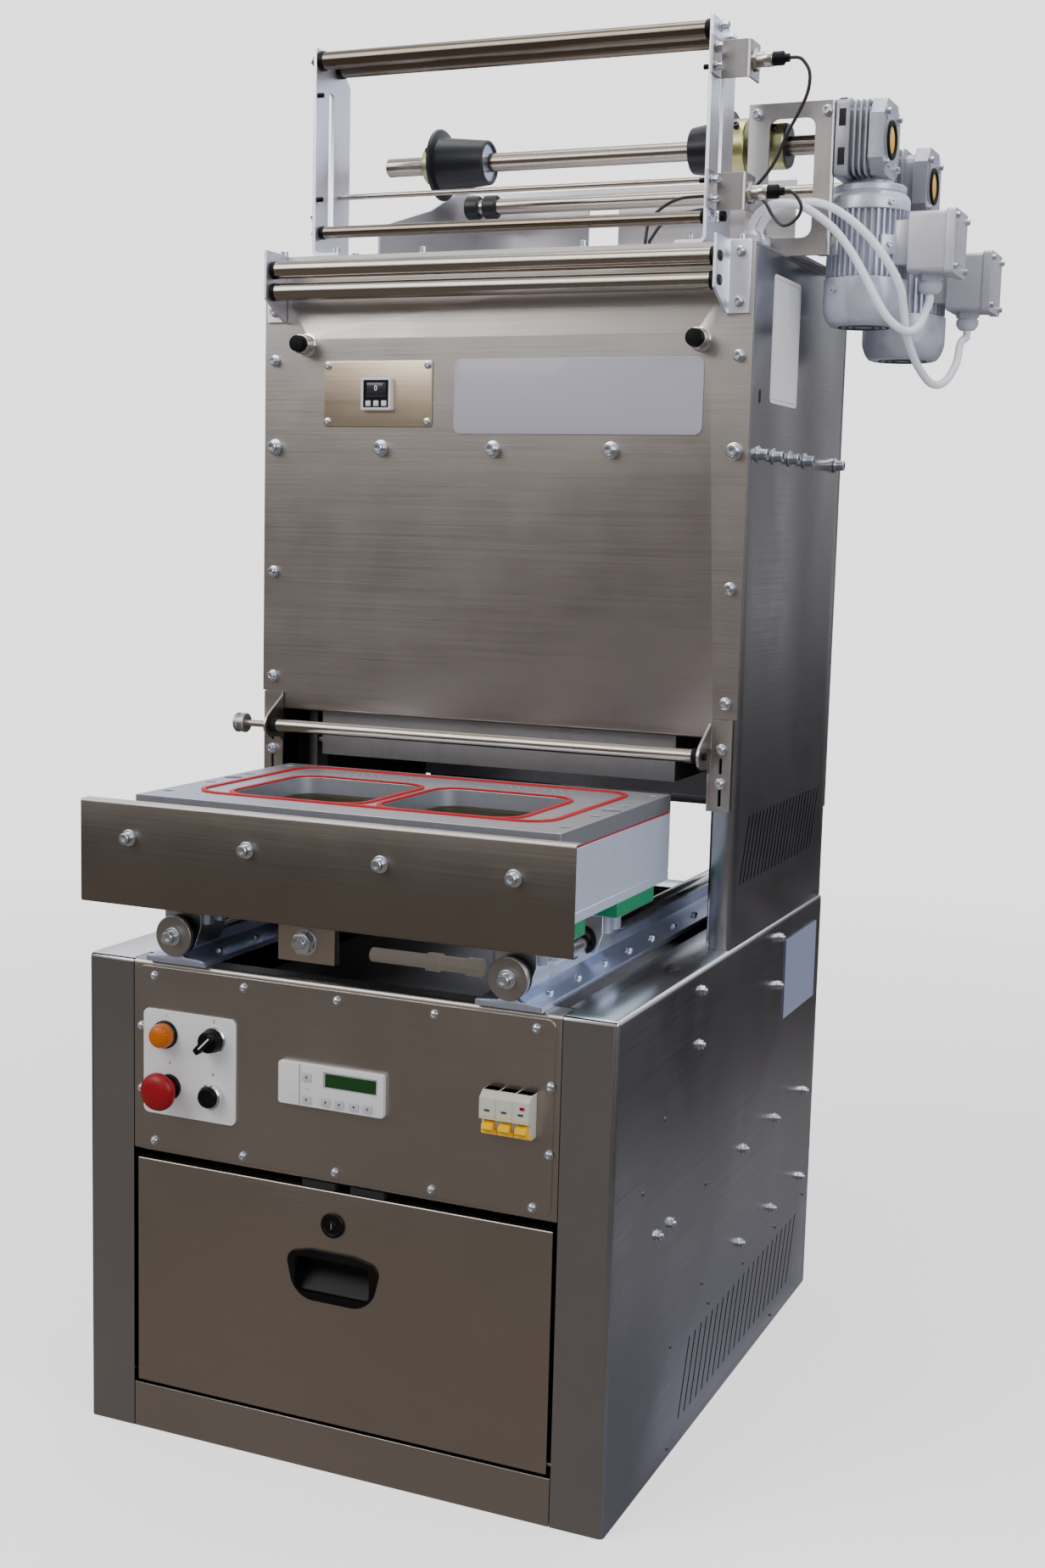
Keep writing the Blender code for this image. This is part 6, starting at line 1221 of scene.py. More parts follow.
class Column:
    """The press column: sheets, bolts, gauge, bare name plate, start buttons, upper tool and cable glands."""

    FACE = 0.351
    WALL = 0.304

    def sheets(self) -> None:
        """Show the folded sheets, the head plate and the upper tool."""
        for side in ("left", "right"):
            dressed(f"column_{side}_side", COLUMN_SIDE, edge=0)
        dressed("column_front_panel", FRONT_SHEET, edge=0.0004)
        dressed("column_top_and_back", BRIGHT_SHEET)
        dressed("head_plate", DARK_ALUMINIUM, slot="stainless")
        dressed("upper_tool", DARK_ALUMINIUM, "press", 0.0008)

    def fasteners(self) -> None:
        """Put the big bolts, small screws and rivets on the front, right side and top."""
        sown("column_bolts", FIX.bolt(0.0086), [facing(at(x, self.FACE, 1.084), TO_FRONT, 7 * x)
            for x in (-0.289, -0.145, 0, 0.145, 0.289)])
        small = [(x, z) for z in (1.186, 0.935, 0.808) for x in (-0.29, 0.29)]
        sown("column_screws", FIX.bolt(0.0062), [facing(at(x, self.FACE, z), TO_FRONT, 5 * z) for x, z in small])
        side = [facing(at(way[0] * self.WALL, y, 1.0825), way, 4 * y) for way in (TO_RIGHT, TO_LEFT)
            for y in (0.387, 0.447, 0.513, 0.579, 0.7235)]
        sown("column_side_bolts", FIX.bolt(0.0084), side)
        top = [facing(at(x, 0.362, COLUMN_TOP), UP, x) for x in (-0.285, -0.1, 0.1, 0.285)]
        top += [facing(at(side * 0.222, y, COLUMN_TOP + 0.0043), UP, y) for side in (-1, 1) for y in (0.375, 0.422)]
        sown("top_screws", FIX.bolt(0.0056), top)
        plugs = [facing(at(x, 0.372, COLUMN_TOP), UP) for x in (0.186, 0.203)]
        sown("top_plugs", FIX.rivet(0.005), plugs, BRASS)
        # A dark fill in the side slot: painted shade.
        hole = Form().prism([(y + FRONT, z) for y, z in hull_of([(0.3865, 1.1412, 0.0036),
            (0.3865, 1.1494, 0.0036)])], self.WALL - 0.001, self.WALL + 0.0003, "X")
        hole.piece("side_slot", SHADE_FILL)

    def gauge(self) -> None:
        """Build the gauge on its plate."""
        face = FRONT + 0.3492
        Form().plate(round_corners(-0.222, 1.109, -0.079, 1.185, 0.003), face, FRONT + 0.3507, "Y",
            edge=0.0004).piece("gauge_plate_face", GAUGE_PLATE, replaces=("vacuum_gauge",))
        x, z = -0.149, 1.1465
        Form().plate(round_corners(x - 0.02, z - 0.019, x + 0.02, z + 0.019, 0.002), face - 0.007, face, "Y",
            [round_corners(x - 0.0168, z - 0.0158, x + 0.0168, z + 0.0158, 0.001)], 0.0008).piece("gauge_bezel",
            GAUGE_GREY)
        Form().block((x - 0.0172, face - 0.0056, z - 0.0162), (x + 0.0172, face - 0.0005,
            z + 0.0162)).piece("gauge_face", BLACK)
        Form().block((x - 0.013, face - 0.006, z - 0.0042), (x + 0.013, face - 0.005, z + 0.0128),
            0.0003).piece("gauge_screen", SCREEN)
        keys = Form()
        for i in (-1, 0, 1):
            keys.block((x - 0.0034 + 0.0104 * i, face - 0.0066, z - 0.0142), (x + 0.0034 + 0.0104 * i, face - 0.005,
                z - 0.0078), 0.0006)
        keys.piece("gauge_keys", GAUGE_GREY)
        reading = mesh_of_text("0", 0.0085, (x - 0.0005, face - 0.0061, z + 0.0062))
        reading.piece("gauge_reading", LABEL)
        corners = [facing((x0, face, z0), TO_FRONT, x0) for x0 in (-0.2165, -0.0845) for z0 in (1.1145, 1.1795)]
        sown("gauge_screws", FIX.screw(0.0042), corners)

    def plates(self) -> None:
        """Put up the bare name plate and the bare side label."""
        Form().plate(round_corners(-0.051, 1.101, 0.251, 1.186, 0.009), FRONT + 0.3496, FRONT + 0.3508, "Y",
            edge=0.0005).piece("bare_name_plate", NAME_PLATE)
        outline = round_corners(0.425 + FRONT, 1.141, 0.533 + FRONT, 1.2815, 0.006)
        Form().plate(outline, self.WALL + 0.0001, self.WALL + 0.0005, "X").piece("bare_side_label", LABEL)
        rim = round_corners(0.429 + FRONT, 1.145, 0.529 + FRONT, 1.2775, 0.004)
        inner = round_corners(0.4296 + FRONT, 1.1456, 0.5284 + FRONT, 1.2769, 0.0036)
        Form().plate(rim, self.WALL + 0.0004, self.WALL + 0.0006, "X", [inner]).piece("label_border", LABEL_LINE)

    def start_buttons(self) -> None:
        """Build the two start buttons in their chrome sleeves."""
        for side in Side:
            name, x = side.name.lower(), side.value * 0.246
            Form().lathe([(0.0099, 0), (0.0099, 0.0178), (0.0104, 0.0184), (0.0109, 0.0182), (0.0114, 0.017),
                (0.0114, 0), (0.0135, 0), (0.0135, 0.001), (0.0114, 0.0014)], at(x, self.FACE, 1.204),
                TO_FRONT).piece(f"start_sleeve_{name}", CHROME)
            Form().lathe([(0, 0.0096), (0.0082, 0.0098), (0.009, 0.0096), (0.0095, 0.0088), (0.0095, -0.001),
                (0, -0.001)], at(x, self.FACE - 0.018, 1.204), TO_FRONT).piece(f"start_cap_{name}", BLACK,
                f"start_{name}", (f"start_button_{name}",))

    def glands(self) -> None:
        """Build the cable glands on the top."""
        glands = Form()
        for x, y in MOTOR_GLANDS:
            add_gland(glands, at(x, y, COLUMN_TOP), UP, 0.0129, 0.0213)
        glands.piece("top_glands", GLAND)
        entry = Form().lathe([(0.0103, 0), (0.0103, 0.0058), (0.009, 0.007), (0.0068, 0.0092), (0, 0.0092)],
            at(0.15, 0.432, COLUMN_TOP), UP, 32)
        entry.piece("sensor_cable_entry", RUBBER)

    def throat(self) -> None:
        """Build what shows in the throat on the left: a dark upright with an air fitting."""
        upright = Form().block(at(-0.262, 0.392, 0.535), at(-0.25, 0.42, 0.765), 0.001)
        upright.piece("throat_upright", DARK_SHEET)
        fitting = Form().rod(at(-0.25, 0.4, 0.728), at(-0.238, 0.4, 0.728), 0.0055, 0.0006, 24)
        fitting.rod(at(-0.24, 0.4, 0.7283), at(-0.231, 0.4, 0.7283), 0.004, 0.0005, 24)
        fitting.piece("throat_fitting", BRASS)

    def hem(self) -> None:
        """Put the hem on the back sheet's lower edge as a thin block."""
        Form().block(at(-0.27, 0.7513, 0.634), at(0.27, 0.7533, 0.6455), 0.0003).piece("back_hem", COLUMN_SIDE)

    def build(self) -> None:
        """Build the column."""
        self.sheets()
        self.fasteners()
        self.gauge()
        self.plates()
        self.start_buttons()
        self.glands()
        self.throat()
        self.hem()


def add_gland(form: Form, foot: Point, direction: Point, radius: float, length: float) -> None:
    """Add a hexagon gland with a domed nut to a form."""
    for sides, profile in ((6, [(1.02, 0), (1.02, 0.3), (0.95, 0.34), (0.8, 0.34)]),
            (12, [(0.86, 0.3), (0.86, 0.44), (0.98, 0.46), (0.98, 0.72), (0.8, 0.9), (0.62, 1), (0, 1)])):
        form.lathe([(radius * u, length * v) for u, v in profile], foot, direction, sides)


class FrontRollers:
    """The rollers on the column's front, with their folded brackets."""

    END = 0.2727
    HIGH_Y = 0.316
    LOW = (0.321, 0.751)

    def high(self) -> None:
        """Build the pair of rollers under the top edge."""
        for side in Side:
            name = side.name.lower()
            dressed(f"high_bracket_{name}", FILM_PLATE, edge=0.0005)
            sown(f"high_bracket_screws_{name}", FIX.bolt(0.0056), [facing(at(side.value * 0.2885, 0.3477, z),
                TO_FRONT, z * 30) for z in (1.2956, 1.243)])
            # The dark prisms in the bracket slots are painted shade.
            slots, axles = Form(), Form()
            for z in (1.287, 1.262):
                oval = hull_of([(0.311, z, 0.0056), (0.318, z, 0.0056)])
                slots.prism([(y + FRONT, w) for y, w in oval], side.value * 0.2755, side.value * 0.2763, "X")
                axles.rod(at(side.value * 0.275, self.HIGH_Y, z), at(side.value * 0.2772, self.HIGH_Y, z), 0.003,
                    0.0004, 20)
            slots.piece(f"high_bracket_slots_{name}", SHADE_FILL)
            axles.piece(f"high_roller_axles_{name}", BLACK_STEEL)
        for name, z in (("upper_front", 1.287), ("middle_front", 1.262)):
            Form().rod(at(-self.END, self.HIGH_Y, z), at(self.END, self.HIGH_Y, z), 0.01, 0.001,
                64).piece(f"{name}_tube", BAR, name, (f"{name}_roller",))
            caps = Form()
            for side in (-1, 1):
                caps.rod(at(side * self.END, self.HIGH_Y, z), at(side * 0.266, self.HIGH_Y, z), 0.0101, 0.0006, 48)
            caps.piece(f"{name}_caps", BLACK, name)

    def low(self) -> None:
        """Build the long lower roller with its knob."""
        for side in Side:
            name = side.name.lower()
            dressed(f"low_bracket_{name}", CABINET_SHEET, edge=0.0005)
            sown(f"low_bracket_screws_{name}", FIX.bolt(0.0056), [facing(at(side.value * 0.2885, 0.3477, z), TO_FRONT,
                z * 30) for z in (0.757, 0.719)])
            Form().lathe([(0, 0), (0.0042, 0), (0.0046, 0.003), (0, 0.003)], at(side.value * 0.276, *self.LOW),
                (side.value, 0, 0), 24).piece(f"low_roller_pin_{name}", RUBBER)
        Form().rod(at(-self.END, *self.LOW), at(self.END, *self.LOW), 0.0075, 0.0008, 64).piece("lower_front_tube",
            BAR, "lower_front", ("lower_front_roller",))
        knob = Form().rod(at(-0.3085, *self.LOW), at(-self.END, *self.LOW), 0.004, 0.0003, 24)
        knob.lathe([(0, 0), (0.011, 0), (0.0119, 0.001), (0.0119, 0.004), (0.0105, 0.005), (0.0105, 0.009),
            (0.0119, 0.01), (0.0119, 0.013), (0.011, 0.014), (0, 0.014)], at(-0.322, *self.LOW), TO_RIGHT, 48)
        knob.piece("lower_front_knob", TOOL_STEEL, "lower_front")
        bushes = Form()
        for side in (-1, 1):
            bushes.rod(at(side * 0.264, *self.LOW), at(side * 0.2728, *self.LOW), 0.0088, 0.001, 32)
        bushes.piece("lower_front_bushes", RUBBER, "lower_front")

    def build(self) -> None:
        """Build the front rollers."""
        self.high()
        self.low()


class FilmFrame:
    """The two slotted plates on top with the film rollers between them."""

    ROLLERS = (("film_front", "film_roller_front", 0.368, 1.532, 0.01), ("film_rear", "film_roller_rear", 0.412,
        1.532, 0.01), ("frame_low", "frame_roller", 0.371, 1.3365, 0.007))

    def plates(self) -> None:
        """Build the side plates, their bolts and their pins."""
        bolts = [(0.3655, 1.5111, 0.0056), (0.3668, 1.4932, 0.0056), (0.3695, 1.376, 0.0056),
            (0.3703, 1.3556, 0.0056), (0.3833, 1.5395, 0.0062)]
        for side in Side:
            dressed(f"film_frame_{side.name.lower()}", FILM_PLATE, edge=0.0005)
        for side in Side:
            name, x, way = side.name.lower(), side.value * 0.245, (side.value, 0, 0)
            for i, (y, z, size) in enumerate(bolts):
                if y > 0.37 or side is Side.RIGHT:
                    sown(f"frame_bolt_{name}_{i}", FIX.bolt(size), [facing(at(x, y, z), way, i)])
            sown(f"frame_axle_nuts_{name}", FIX.nut(0.0062), [facing(at(x, y, z), way, y * 20) for y,
                z in ((0.368, 1.532), (0.412, 1.532), (0.372, 1.3365)) if side is Side.LEFT or z < 1.5 or y > 0.4])
        pins = Form()
        for z in (1.492, 1.3735):
            for side in (1, -1):
                pins.rod(at(side * 0.2412, 0.362, z), at(side * 0.234, 0.362, z), 0.0028, 0.0004, 20)
        pins.piece("frame_pins", BLACK)
        Form().rod(at(0.245, 0.4038, 1.3419), at(0.2515, 0.4038, 1.3419), 0.0062, 0.0008, 6).piece("frame_black_nut",
            BLACK)

    def rollers(self) -> None:
        """Build the three rollers and the fixed rod, with their black bushes."""
        for body, node, y, z, radius in self.ROLLERS:
            Form().rod(at(-0.2407, y, z), at(0.2407, y, z), radius, 0.0008, 64).piece(f"{body}_tube", FILM_BAR, body,
                (node,))
            bushes = Form()
            for side in (-1, 1):
                bushes.rod(at(side * 0.2345, y, z), at(side * 0.2408, y, z), radius * 1.12, 0.001, 40)
            bushes.piece(f"{body}_bushes", BLACK, body)
        Form().rod(at(-0.2407, 0.414, 1.384), at(0.2407, 0.414, 1.384), 0.0032, 0.0003, 32).piece("guide_rod_bar",
            BAR, replaces=("guide_rod",))

    def build(self) -> None:
        """Build the film frame."""
        self.plates()
        self.rollers()


class Shafts:
    """The unwind shaft with its two chucks, the rewind shaft with its collars, and their brackets."""

    def unwind(self) -> None:
        """Build the unwind shaft and chucks."""
        y, z = UNWIND_AXIS
        origin = at(0, y, z)
        Form().rod(at(-0.226, y, z), at(0.3717, y, z), 0.011, 0.0012, 64).piece("unwind_bar", BAR, "unwind",
            ("unwind_shaft",))
        black = Form()
        black.lathe([(0.0112, -0.1548), (0.0418, -0.1548), (0.0425, -0.1538), (0.0425, -0.1522), (0.0414, -0.1506),
            (0.033, -0.149), (0.032, -0.1465), (0.0262, -0.0892), (0.025, -0.088), (0.0222, -0.088),
            (0.0216, -0.092)], origin, TO_RIGHT, 72)
        black.lathe([(0.0216, 0.177), (0.0222, 0.173), (0.025, 0.173), (0.0262, 0.1742), (0.032, 0.2125),
            (0.033, 0.215), (0.0414, 0.2164), (0.0425, 0.218), (0.0425, 0.2212), (0.0418, 0.2223), (0.0112, 0.2223)],
            origin, TO_RIGHT, 72)
        black.piece("unwind_chucks", RUBBER_DISC, "unwind")
        faces = Form()
        for x0, x1 in ((-0.0905, -0.0935), (0.1755, 0.1785)):
            faces.lathe([(0.0112, x0), (0.0217, x0), (0.0217, x1), (0.0112, x1)], origin, TO_RIGHT, 48)
        faces.piece("unwind_chuck_faces", CAST_ALUMINIUM, "unwind")
        collars = Form()
        collars.lathe([(0.0112, -0.171), (0.0213, -0.171), (0.0225, -0.1698), (0.0225, -0.1562), (0.0213, -0.155),
            (0.0112, -0.155)], origin, TO_RIGHT, 64)
        collars.lathe([(0.0112, 0.2225), (0.0318, 0.2225), (0.033, 0.2237), (0.033, 0.2418), (0.0318, 0.243),
            (0.018, 0.243), (0.018, 0.264), (0.0245, 0.264), (0.0255, 0.265), (0.0255, 0.286), (0.0245, 0.2872),
            (0.0112, 0.2872)], origin, TO_RIGHT, 64)
        collars.piece("unwind_collars", YELLOW_ZINC, "unwind")
        Form().lathe([(0.0112, 0.287), (0.024, 0.287), (0.024, 0.2888), (0.0112, 0.2888)], origin, TO_RIGHT,
            48).piece("unwind_hub_face", BLACK_STEEL, "unwind")
        sets = [facing(at(x, y, z) + Vector((0, -radius * 0.8, radius * 0.6)), (0, -0.8, 0.6)) for x,
            radius in ((-0.163, 0.0223), (0.2325, 0.0328), (0.2755, 0.0253))]
        sown("unwind_set_screws", FIX.head(0.005), sets, BLACK_STEEL, body="unwind")

    def rewind(self) -> None:
        """Build the rewind shaft and its collars."""
        y, z = REWIND_AXIS
        Form().rod(at(-0.196, y, z), at(0.3717, y, z), 0.01, 0.0012, 64).piece("rewind_bar", BAR, "rewind",
            ("rewind_shaft",))
        collars = Form()
        for x in (-0.195, -0.1695):
            collars.rod(at(x, y, z), at(x + 0.018, y, z), 0.015, 0.0014, 48)
        collars.piece("rewind_collars", RUBBER_DISC, "rewind")

    def brackets(self) -> None:
        """Build the motor bracket and the rewind bracket, with their bolts."""
        dressed("motor_bracket", BRACKET_SHEET, edge=0.0006)
        dressed("rewind_bracket", BRIGHT_SHEET, edge=0.0005)
        bolts = [facing(at(x, 0.48, z), TO_FRONT, z * 9) for x, z in ((0.26, 1.464), (0.341, 1.464))]
        sown("bracket_bolts", FIX.bolt(0.006), bolts)
        feet = [facing(at(x, 0.508, 1.3108), UP, x) for x in (0.262, 0.335)]
        sown("bracket_foot_bolts", FIX.bolt(0.006), feet)

    def build(self) -> None:
        """Build the shafts and brackets."""
        self.unwind()
        self.rewind()
        self.brackets()


@dataclass
class GearMotor:
    """A worm gearbox with its motor hanging under it and a terminal box on the right."""

    FINS = 40
    # The dark look is painted shade in the gearbox's pockets and the fan cowl's slots; the gearbox look is paint
    # darkened as painted shade.
    LOOKS = {"paint": GREY_PAINT, "gearbox": GEARBOX_SHADED_PAINT, "box": BOX_PAINT, "black": RUBBER, "yellow": CAP_YELLOW,
        "gland": GLAND, "dark": SHADE_FILL}
    name: str
    y: float
    z: float
    start: float
    width: float
    scale: float
    parts: dict[str, Form] = field(default_factory=dict)

    def __post_init__(self) -> None:
        """Work out where its parts stand."""
        self.end = self.start + self.width
        self.front = FRONT + self.y - 0.036
        self.back = FRONT + self.y + 0.044
        self.low = self.z - 0.042
        self.high = self.z + 0.042
        self.axis = Vector(((self.start + self.end) / 2, FRONT + self.y + 0.025, 0))
        self.radius = 0.0475 * self.scale
        self.case = self.axis.x + self.radius + 0.006
        self.box_top = self.low - 0.0365
        self.box_low = self.box_top - 0.0665
        self.parts = {key: Form() for key in self.LOOKS}

    def gearbox(self) -> None:
        """Build the finned housing, its two end plates and the shaft cap."""
        paint, dark = self.parts["gearbox"], self.parts["dark"]
        x0, x1, y0, y1, z0, z1 = self.start, self.end, self.front, self.back, self.low, self.high
        paint.plate(round_corners(y0, z0, y1, z1, 0.006), x0, x0 + 0.016, "X", edge=0.0016)
        paint.plate(round_corners(y0 + 0.007, z0 + 0.007, y1 - 0.007, z1 - 0.007, 0.012), x0 + 0.01, x1 - 0.01, "X")
        for offset in (0.0205, 0.027, 0.0335):
            paint.plate(round_corners(y0 + 0.001, z0 + 0.001, y1 - 0.001, z1 - 0.001, 0.01), x0 + offset,
                x0 + offset + 0.0022, "X", edge=0.0006)
        head = [(y0 + 0.016, z0 + 0.002), (y1 - 0.016, z0 + 0.002), (y1, z0 + 0.018), (y1, z1 - 0.018),
            (y1 - 0.016, z1), (y0 + 0.016, z1), (y0, z1 - 0.018), (y0, z0 + 0.018)]
        paint.plate(head, x1 - 0.018, x1 - 0.0008, "X", edge=0.0016)
        paint.lathe([(0, 0), (0.03, 0), (0.03, 0.0008), (0, 0.0008)], (x1 - 0.0008, FRONT + self.y, self.z), TO_RIGHT,
            64)
        if x0 > 0.352:
            paint.rod((0.3503, FRONT + self.y, self.z), (x0 + 0.001, FRONT + self.y, self.z), 0.03, 0.001, 48)
        # Dark patches on the end plate and on top: painted shade in the casting's pockets.
        for v in (-0.021, 0.021):
            dark.block((x0 + 0.0035, y0 - 0.0002, self.z + v - 0.01), (x0 + 0.0125, y0 + 0.002, self.z + v + 0.01),
                0.001)
            dark.block((x0 + 0.0035, self.axis.y - 0.025 + v * 1.2 - 0.009, z1 - 0.002),
                (x0 + 0.0125, self.axis.y - 0.025 + v * 1.2 + 0.009, z1 + 0.0002), 0.001)
        self.corners = [(x1 - 0.0008, (y0 + y1) / 2 + u * 0.0265, self.z + v * 0.0275) for u in (-1, 1)
            for v in (-1, 1)]
        for x, y, z in self.corners:
            paint.lathe([(0, 0), (0.007, 0), (0.0066, 0.001), (0, 0.001)], (x, y, z), TO_RIGHT, 24)
        self.parts["black"].lathe([(0.0158, -0.0008), (0.0158, 0.0016), (0.0166, 0.0024), (0.0205, 0.0024),
            (0.0214, 0.0015), (0.0214, -0.0008)], (x1, FRONT + self.y, self.z), TO_RIGHT, 48)
        self.parts["yellow"].lathe([(0, 0.0016), (0.009, 0.0014), (0.015, 0.0004), (0.0157, -0.0004),
            (0.0157, -0.0008), (0, -0.0008)], (x1, FRONT + self.y, self.z), TO_RIGHT, 48)

    def motor(self) -> None:
        """Build the motor: flange, clamp bell, fins, pads and fan cowl."""
        paint, dark = self.parts["paint"], self.parts["dark"]
        r, top = self.radius, self.low
        flange = 0.0415 * self.scale
        neck = 0.0265 * self.scale
        paint.lathe([(0, top + 0.01), (neck, top + 0.01), (neck, top - 0.003), (flange - 0.0012, top - 0.004),
            (flange, top - 0.0052), (flange, top - 0.011), (flange - 0.0012, top - 0.0122), (r - 0.006, top - 0.0135),
            (r - 0.003, top - 0.0165), (r - 0.0012, top - 0.02), (r - 0.0012, top - 0.032), (r - 0.0022, top - 0.033),
            (r - 0.008, top - 0.0332), (r - 0.008, top - 0.1068), (r - 0.001, top - 0.1072), (r, top - 0.1082),
            (r, top - 0.14), (r - 0.0012, top - 0.1452), (r - 0.0042, top - 0.153), (r - 0.0085, top - 0.1585),
            (r - 0.0125, top - 0.16), (0, top - 0.16)], self.axis, UP, 96)
        fin = Form().block((r - 0.0045 - 0.0048, -0.0009, top - 0.106), (r - 0.0014, 0.0009, top - 0.0334)).mesh("fin")
        paint.stamp(fin, [Matrix.Translation(self.axis) @ Matrix.Rotation(math.tau * i / self.FINS, 4, "Z")
            for i in range(self.FINS)])
        self.screws = []
        pad = Form().block((r - 0.01, -0.01, top - 0.083), (r - 0.0008, 0.01, top - 0.061), 0.0012).mesh("pad")
        for quarter in range(4):
            angle = math.radians(45 + 90 * quarter)
            paint.stamp(pad, [Matrix.Translation(self.axis) @ Matrix.Rotation(angle, 4, "Z")])
            out = Vector((math.cos(angle), math.sin(angle), 0))
            for height in (0.026, 0.072):
                self.screws.append(facing(self.axis + out * (r - 0.0014) + Vector((0, 0, top - height)), out, quarter))
        cover = Vector((-0.55, -0.835, 0)).normalized()
        self.screws.append(facing(self.axis + cover * (r - 0.0006) + Vector((0, 0, top - 0.122)), cover))
        # Dark rings under the fan cowl: painted shade in its slots.
        for i in range(3):
            dark.lathe([(0.01 + 0.008 * i, -0.0003), (0.0135 + 0.008 * i, -0.0003), (0.0135 + 0.008 * i, 0.001),
                (0.01 + 0.008 * i, 0.001)], self.axis + Vector((0, 0, top - 0.16)), UP, 48)

    def terminals(self) -> None:
        """Build the terminal box with its lid, neck and gland."""
        box = self.parts["box"]
        y, low, top = self.axis.y, self.box_low, self.box_top
        box.block((self.axis.x + self.radius - 0.012, y - 0.026, low + 0.009), (self.case + 0.002, y + 0.026,
            top - 0.008), 0.002)
        box.plate(round_corners(y - 0.033, low, y + 0.033, top, 0.005), self.case, self.case + 0.042, "X", edge=0.0012)
        box.plate(round_corners(y - 0.035, low - 0.002, y + 0.035, top + 0.002, 0.004), self.case + 0.0418,
            self.case + 0.053 - 0.0006, "X", edge=0.002)
        box.plate(round_corners(y - 0.024, low + 0.01, y + 0.024, top - 0.01, 0.003), self.case + 0.052,
            self.case + 0.053, "X", edge=0.0004)
        self.screws += [facing((self.case + 0.0518, y + u * 0.0285, (top + low) / 2 + v * 0.0275), TO_RIGHT, u + v)
            for u in (-1, 1) for v in (-1, 1)]
        add_gland(self.parts["gland"], (self.case + 0.021, y, low + 0.001), DOWN, 0.0138, GLAND_LENGTH)

    def build(self) -> None:
        """Build the whole gear motor."""
        self.gearbox()
        self.motor()
        self.terminals()
        for key, form in self.parts.items():
            form.piece(f"{self.name}_{key}", self.LOOKS[key], replaces=(f"{self.name}_gear_motor",) if key == "paint"
                else ())
        sown(f"{self.name}_motor_screws", FIX.head(0.0046), self.screws)
        sown(f"{self.name}_gearbox_screws", FIX.head(0.005), [facing(point, TO_RIGHT, 0.3 + i) for i,
            point in enumerate(self.corners)])


class Sensors:
    """The two proximity sensors in their folded brackets."""

    def sensor(self, name: str, z: float) -> None:
        """Build one sensor."""
        centre = at(0, SENSOR_Y, z)
        Form().copy_of(name).without(lambda points: all(math.hypot(p.y - centre.y, p.z - centre.z) < 0.0129
            for p in points)).piece(f"{name}_bracket", BRACKET_SHEET, replaces=(name,), edge=0.0004)
        barrel = Form().lathe([(0, 0.2535), (0.0078, 0.2535), (0.0082, 0.254)] + [(0.0082 - 0.0006 * (i % 2),
            0.2545 + 0.0009 * i) for i in range(42)] + [(0.0082, 0.293), (0.0082, 0.301), (0.0076, 0.302),
            (0, 0.302)], centre, TO_RIGHT, 40)
        for x in (0.2795, 0.253):
            barrel.lathe([(0.008, 0), (0.0124, 0), (0.0124, 0.0052), (0.0118, 0.0058), (0.008, 0.0058)],
                centre + Vector((x, 0, 0)), TO_RIGHT, 6)
        barrel.piece(f"{name}_barrel", BRASS)
        tail = Form().lathe([(0, 0.3018), (0.0075, 0.3018), (0.0075, 0.313), (0.0062, 0.3142), (0.0045, 0.315),
            (0.0045, 0.3198), (0, 0.3198)], centre, TO_RIGHT, 36)
        tail.piece(f"{name}_tail", BLACK)
        sown(f"{name}_bracket_bolt", FIX.bolt(0.005), [facing(at(0.2478, 0.362, z + v), TO_RIGHT, v)
            for v in (-0.01, 0.01)])

    def build(self) -> None:
        """Build both sensors."""
        for name, z in SENSORS.items():
            self.sensor(name, z)


@dataclass
class Cable:
    """A cable that hangs from its gland on the column to what it feeds."""

    node: str
    start: Point
    route: Sequence[Point]
    end: Point
    radius: float
    finish: Finish
    stiffness: str

    def points(self, spacing: float) -> list[Vector]:
        """Give points along a smooth curve through the route."""
        knots = [Vector(p) for p in self.route]
        ends = [knots[0] * 2 - knots[1], *knots, knots[-1] * 2 - knots[-2]]
        dense = []
        for a, b, c, d in zip(ends, ends[1:], ends[2:], ends[3:]):
            dense += [0.5 * (2 * b + (c - a) * t + (2 * a - 5 * b + 4 * c - d) * t * t
                + (3 * b - a - 3 * c + d) * t ** 3) for t in (k / 24 for k in range(24))]
        dense.append(knots[-1])
        made = [dense[0]]
        for point in dense[1:-1]:
            if (point - made[-1]).length >= spacing:
                made.append(point)
        return [Vector(self.start), *made, dense[-1], Vector(self.end)]

    def build(self) -> None:
        points = [point + Vector((0, FRONT, 0)) for point in self.points(0.003)]
        curve = bpy.data.curves.new(f"{self.node}_line", "CURVE")
        curve.dimensions = "3D"
        curve.bevel_depth = self.radius
        curve.bevel_resolution = 6
        curve.use_fill_caps = True
        spline = curve.splines.new("POLY")
        spline.points.add(len(points) - 1)
        for knot, point in zip(spline.points, points):
            knot.co = (*point, 1.0)
        spline.use_smooth = True
        made = linked(f"{self.node}_sheath", curve)
        curve.materials.append(self.finish.material())
        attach(made, "machine")
        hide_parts(self.node)


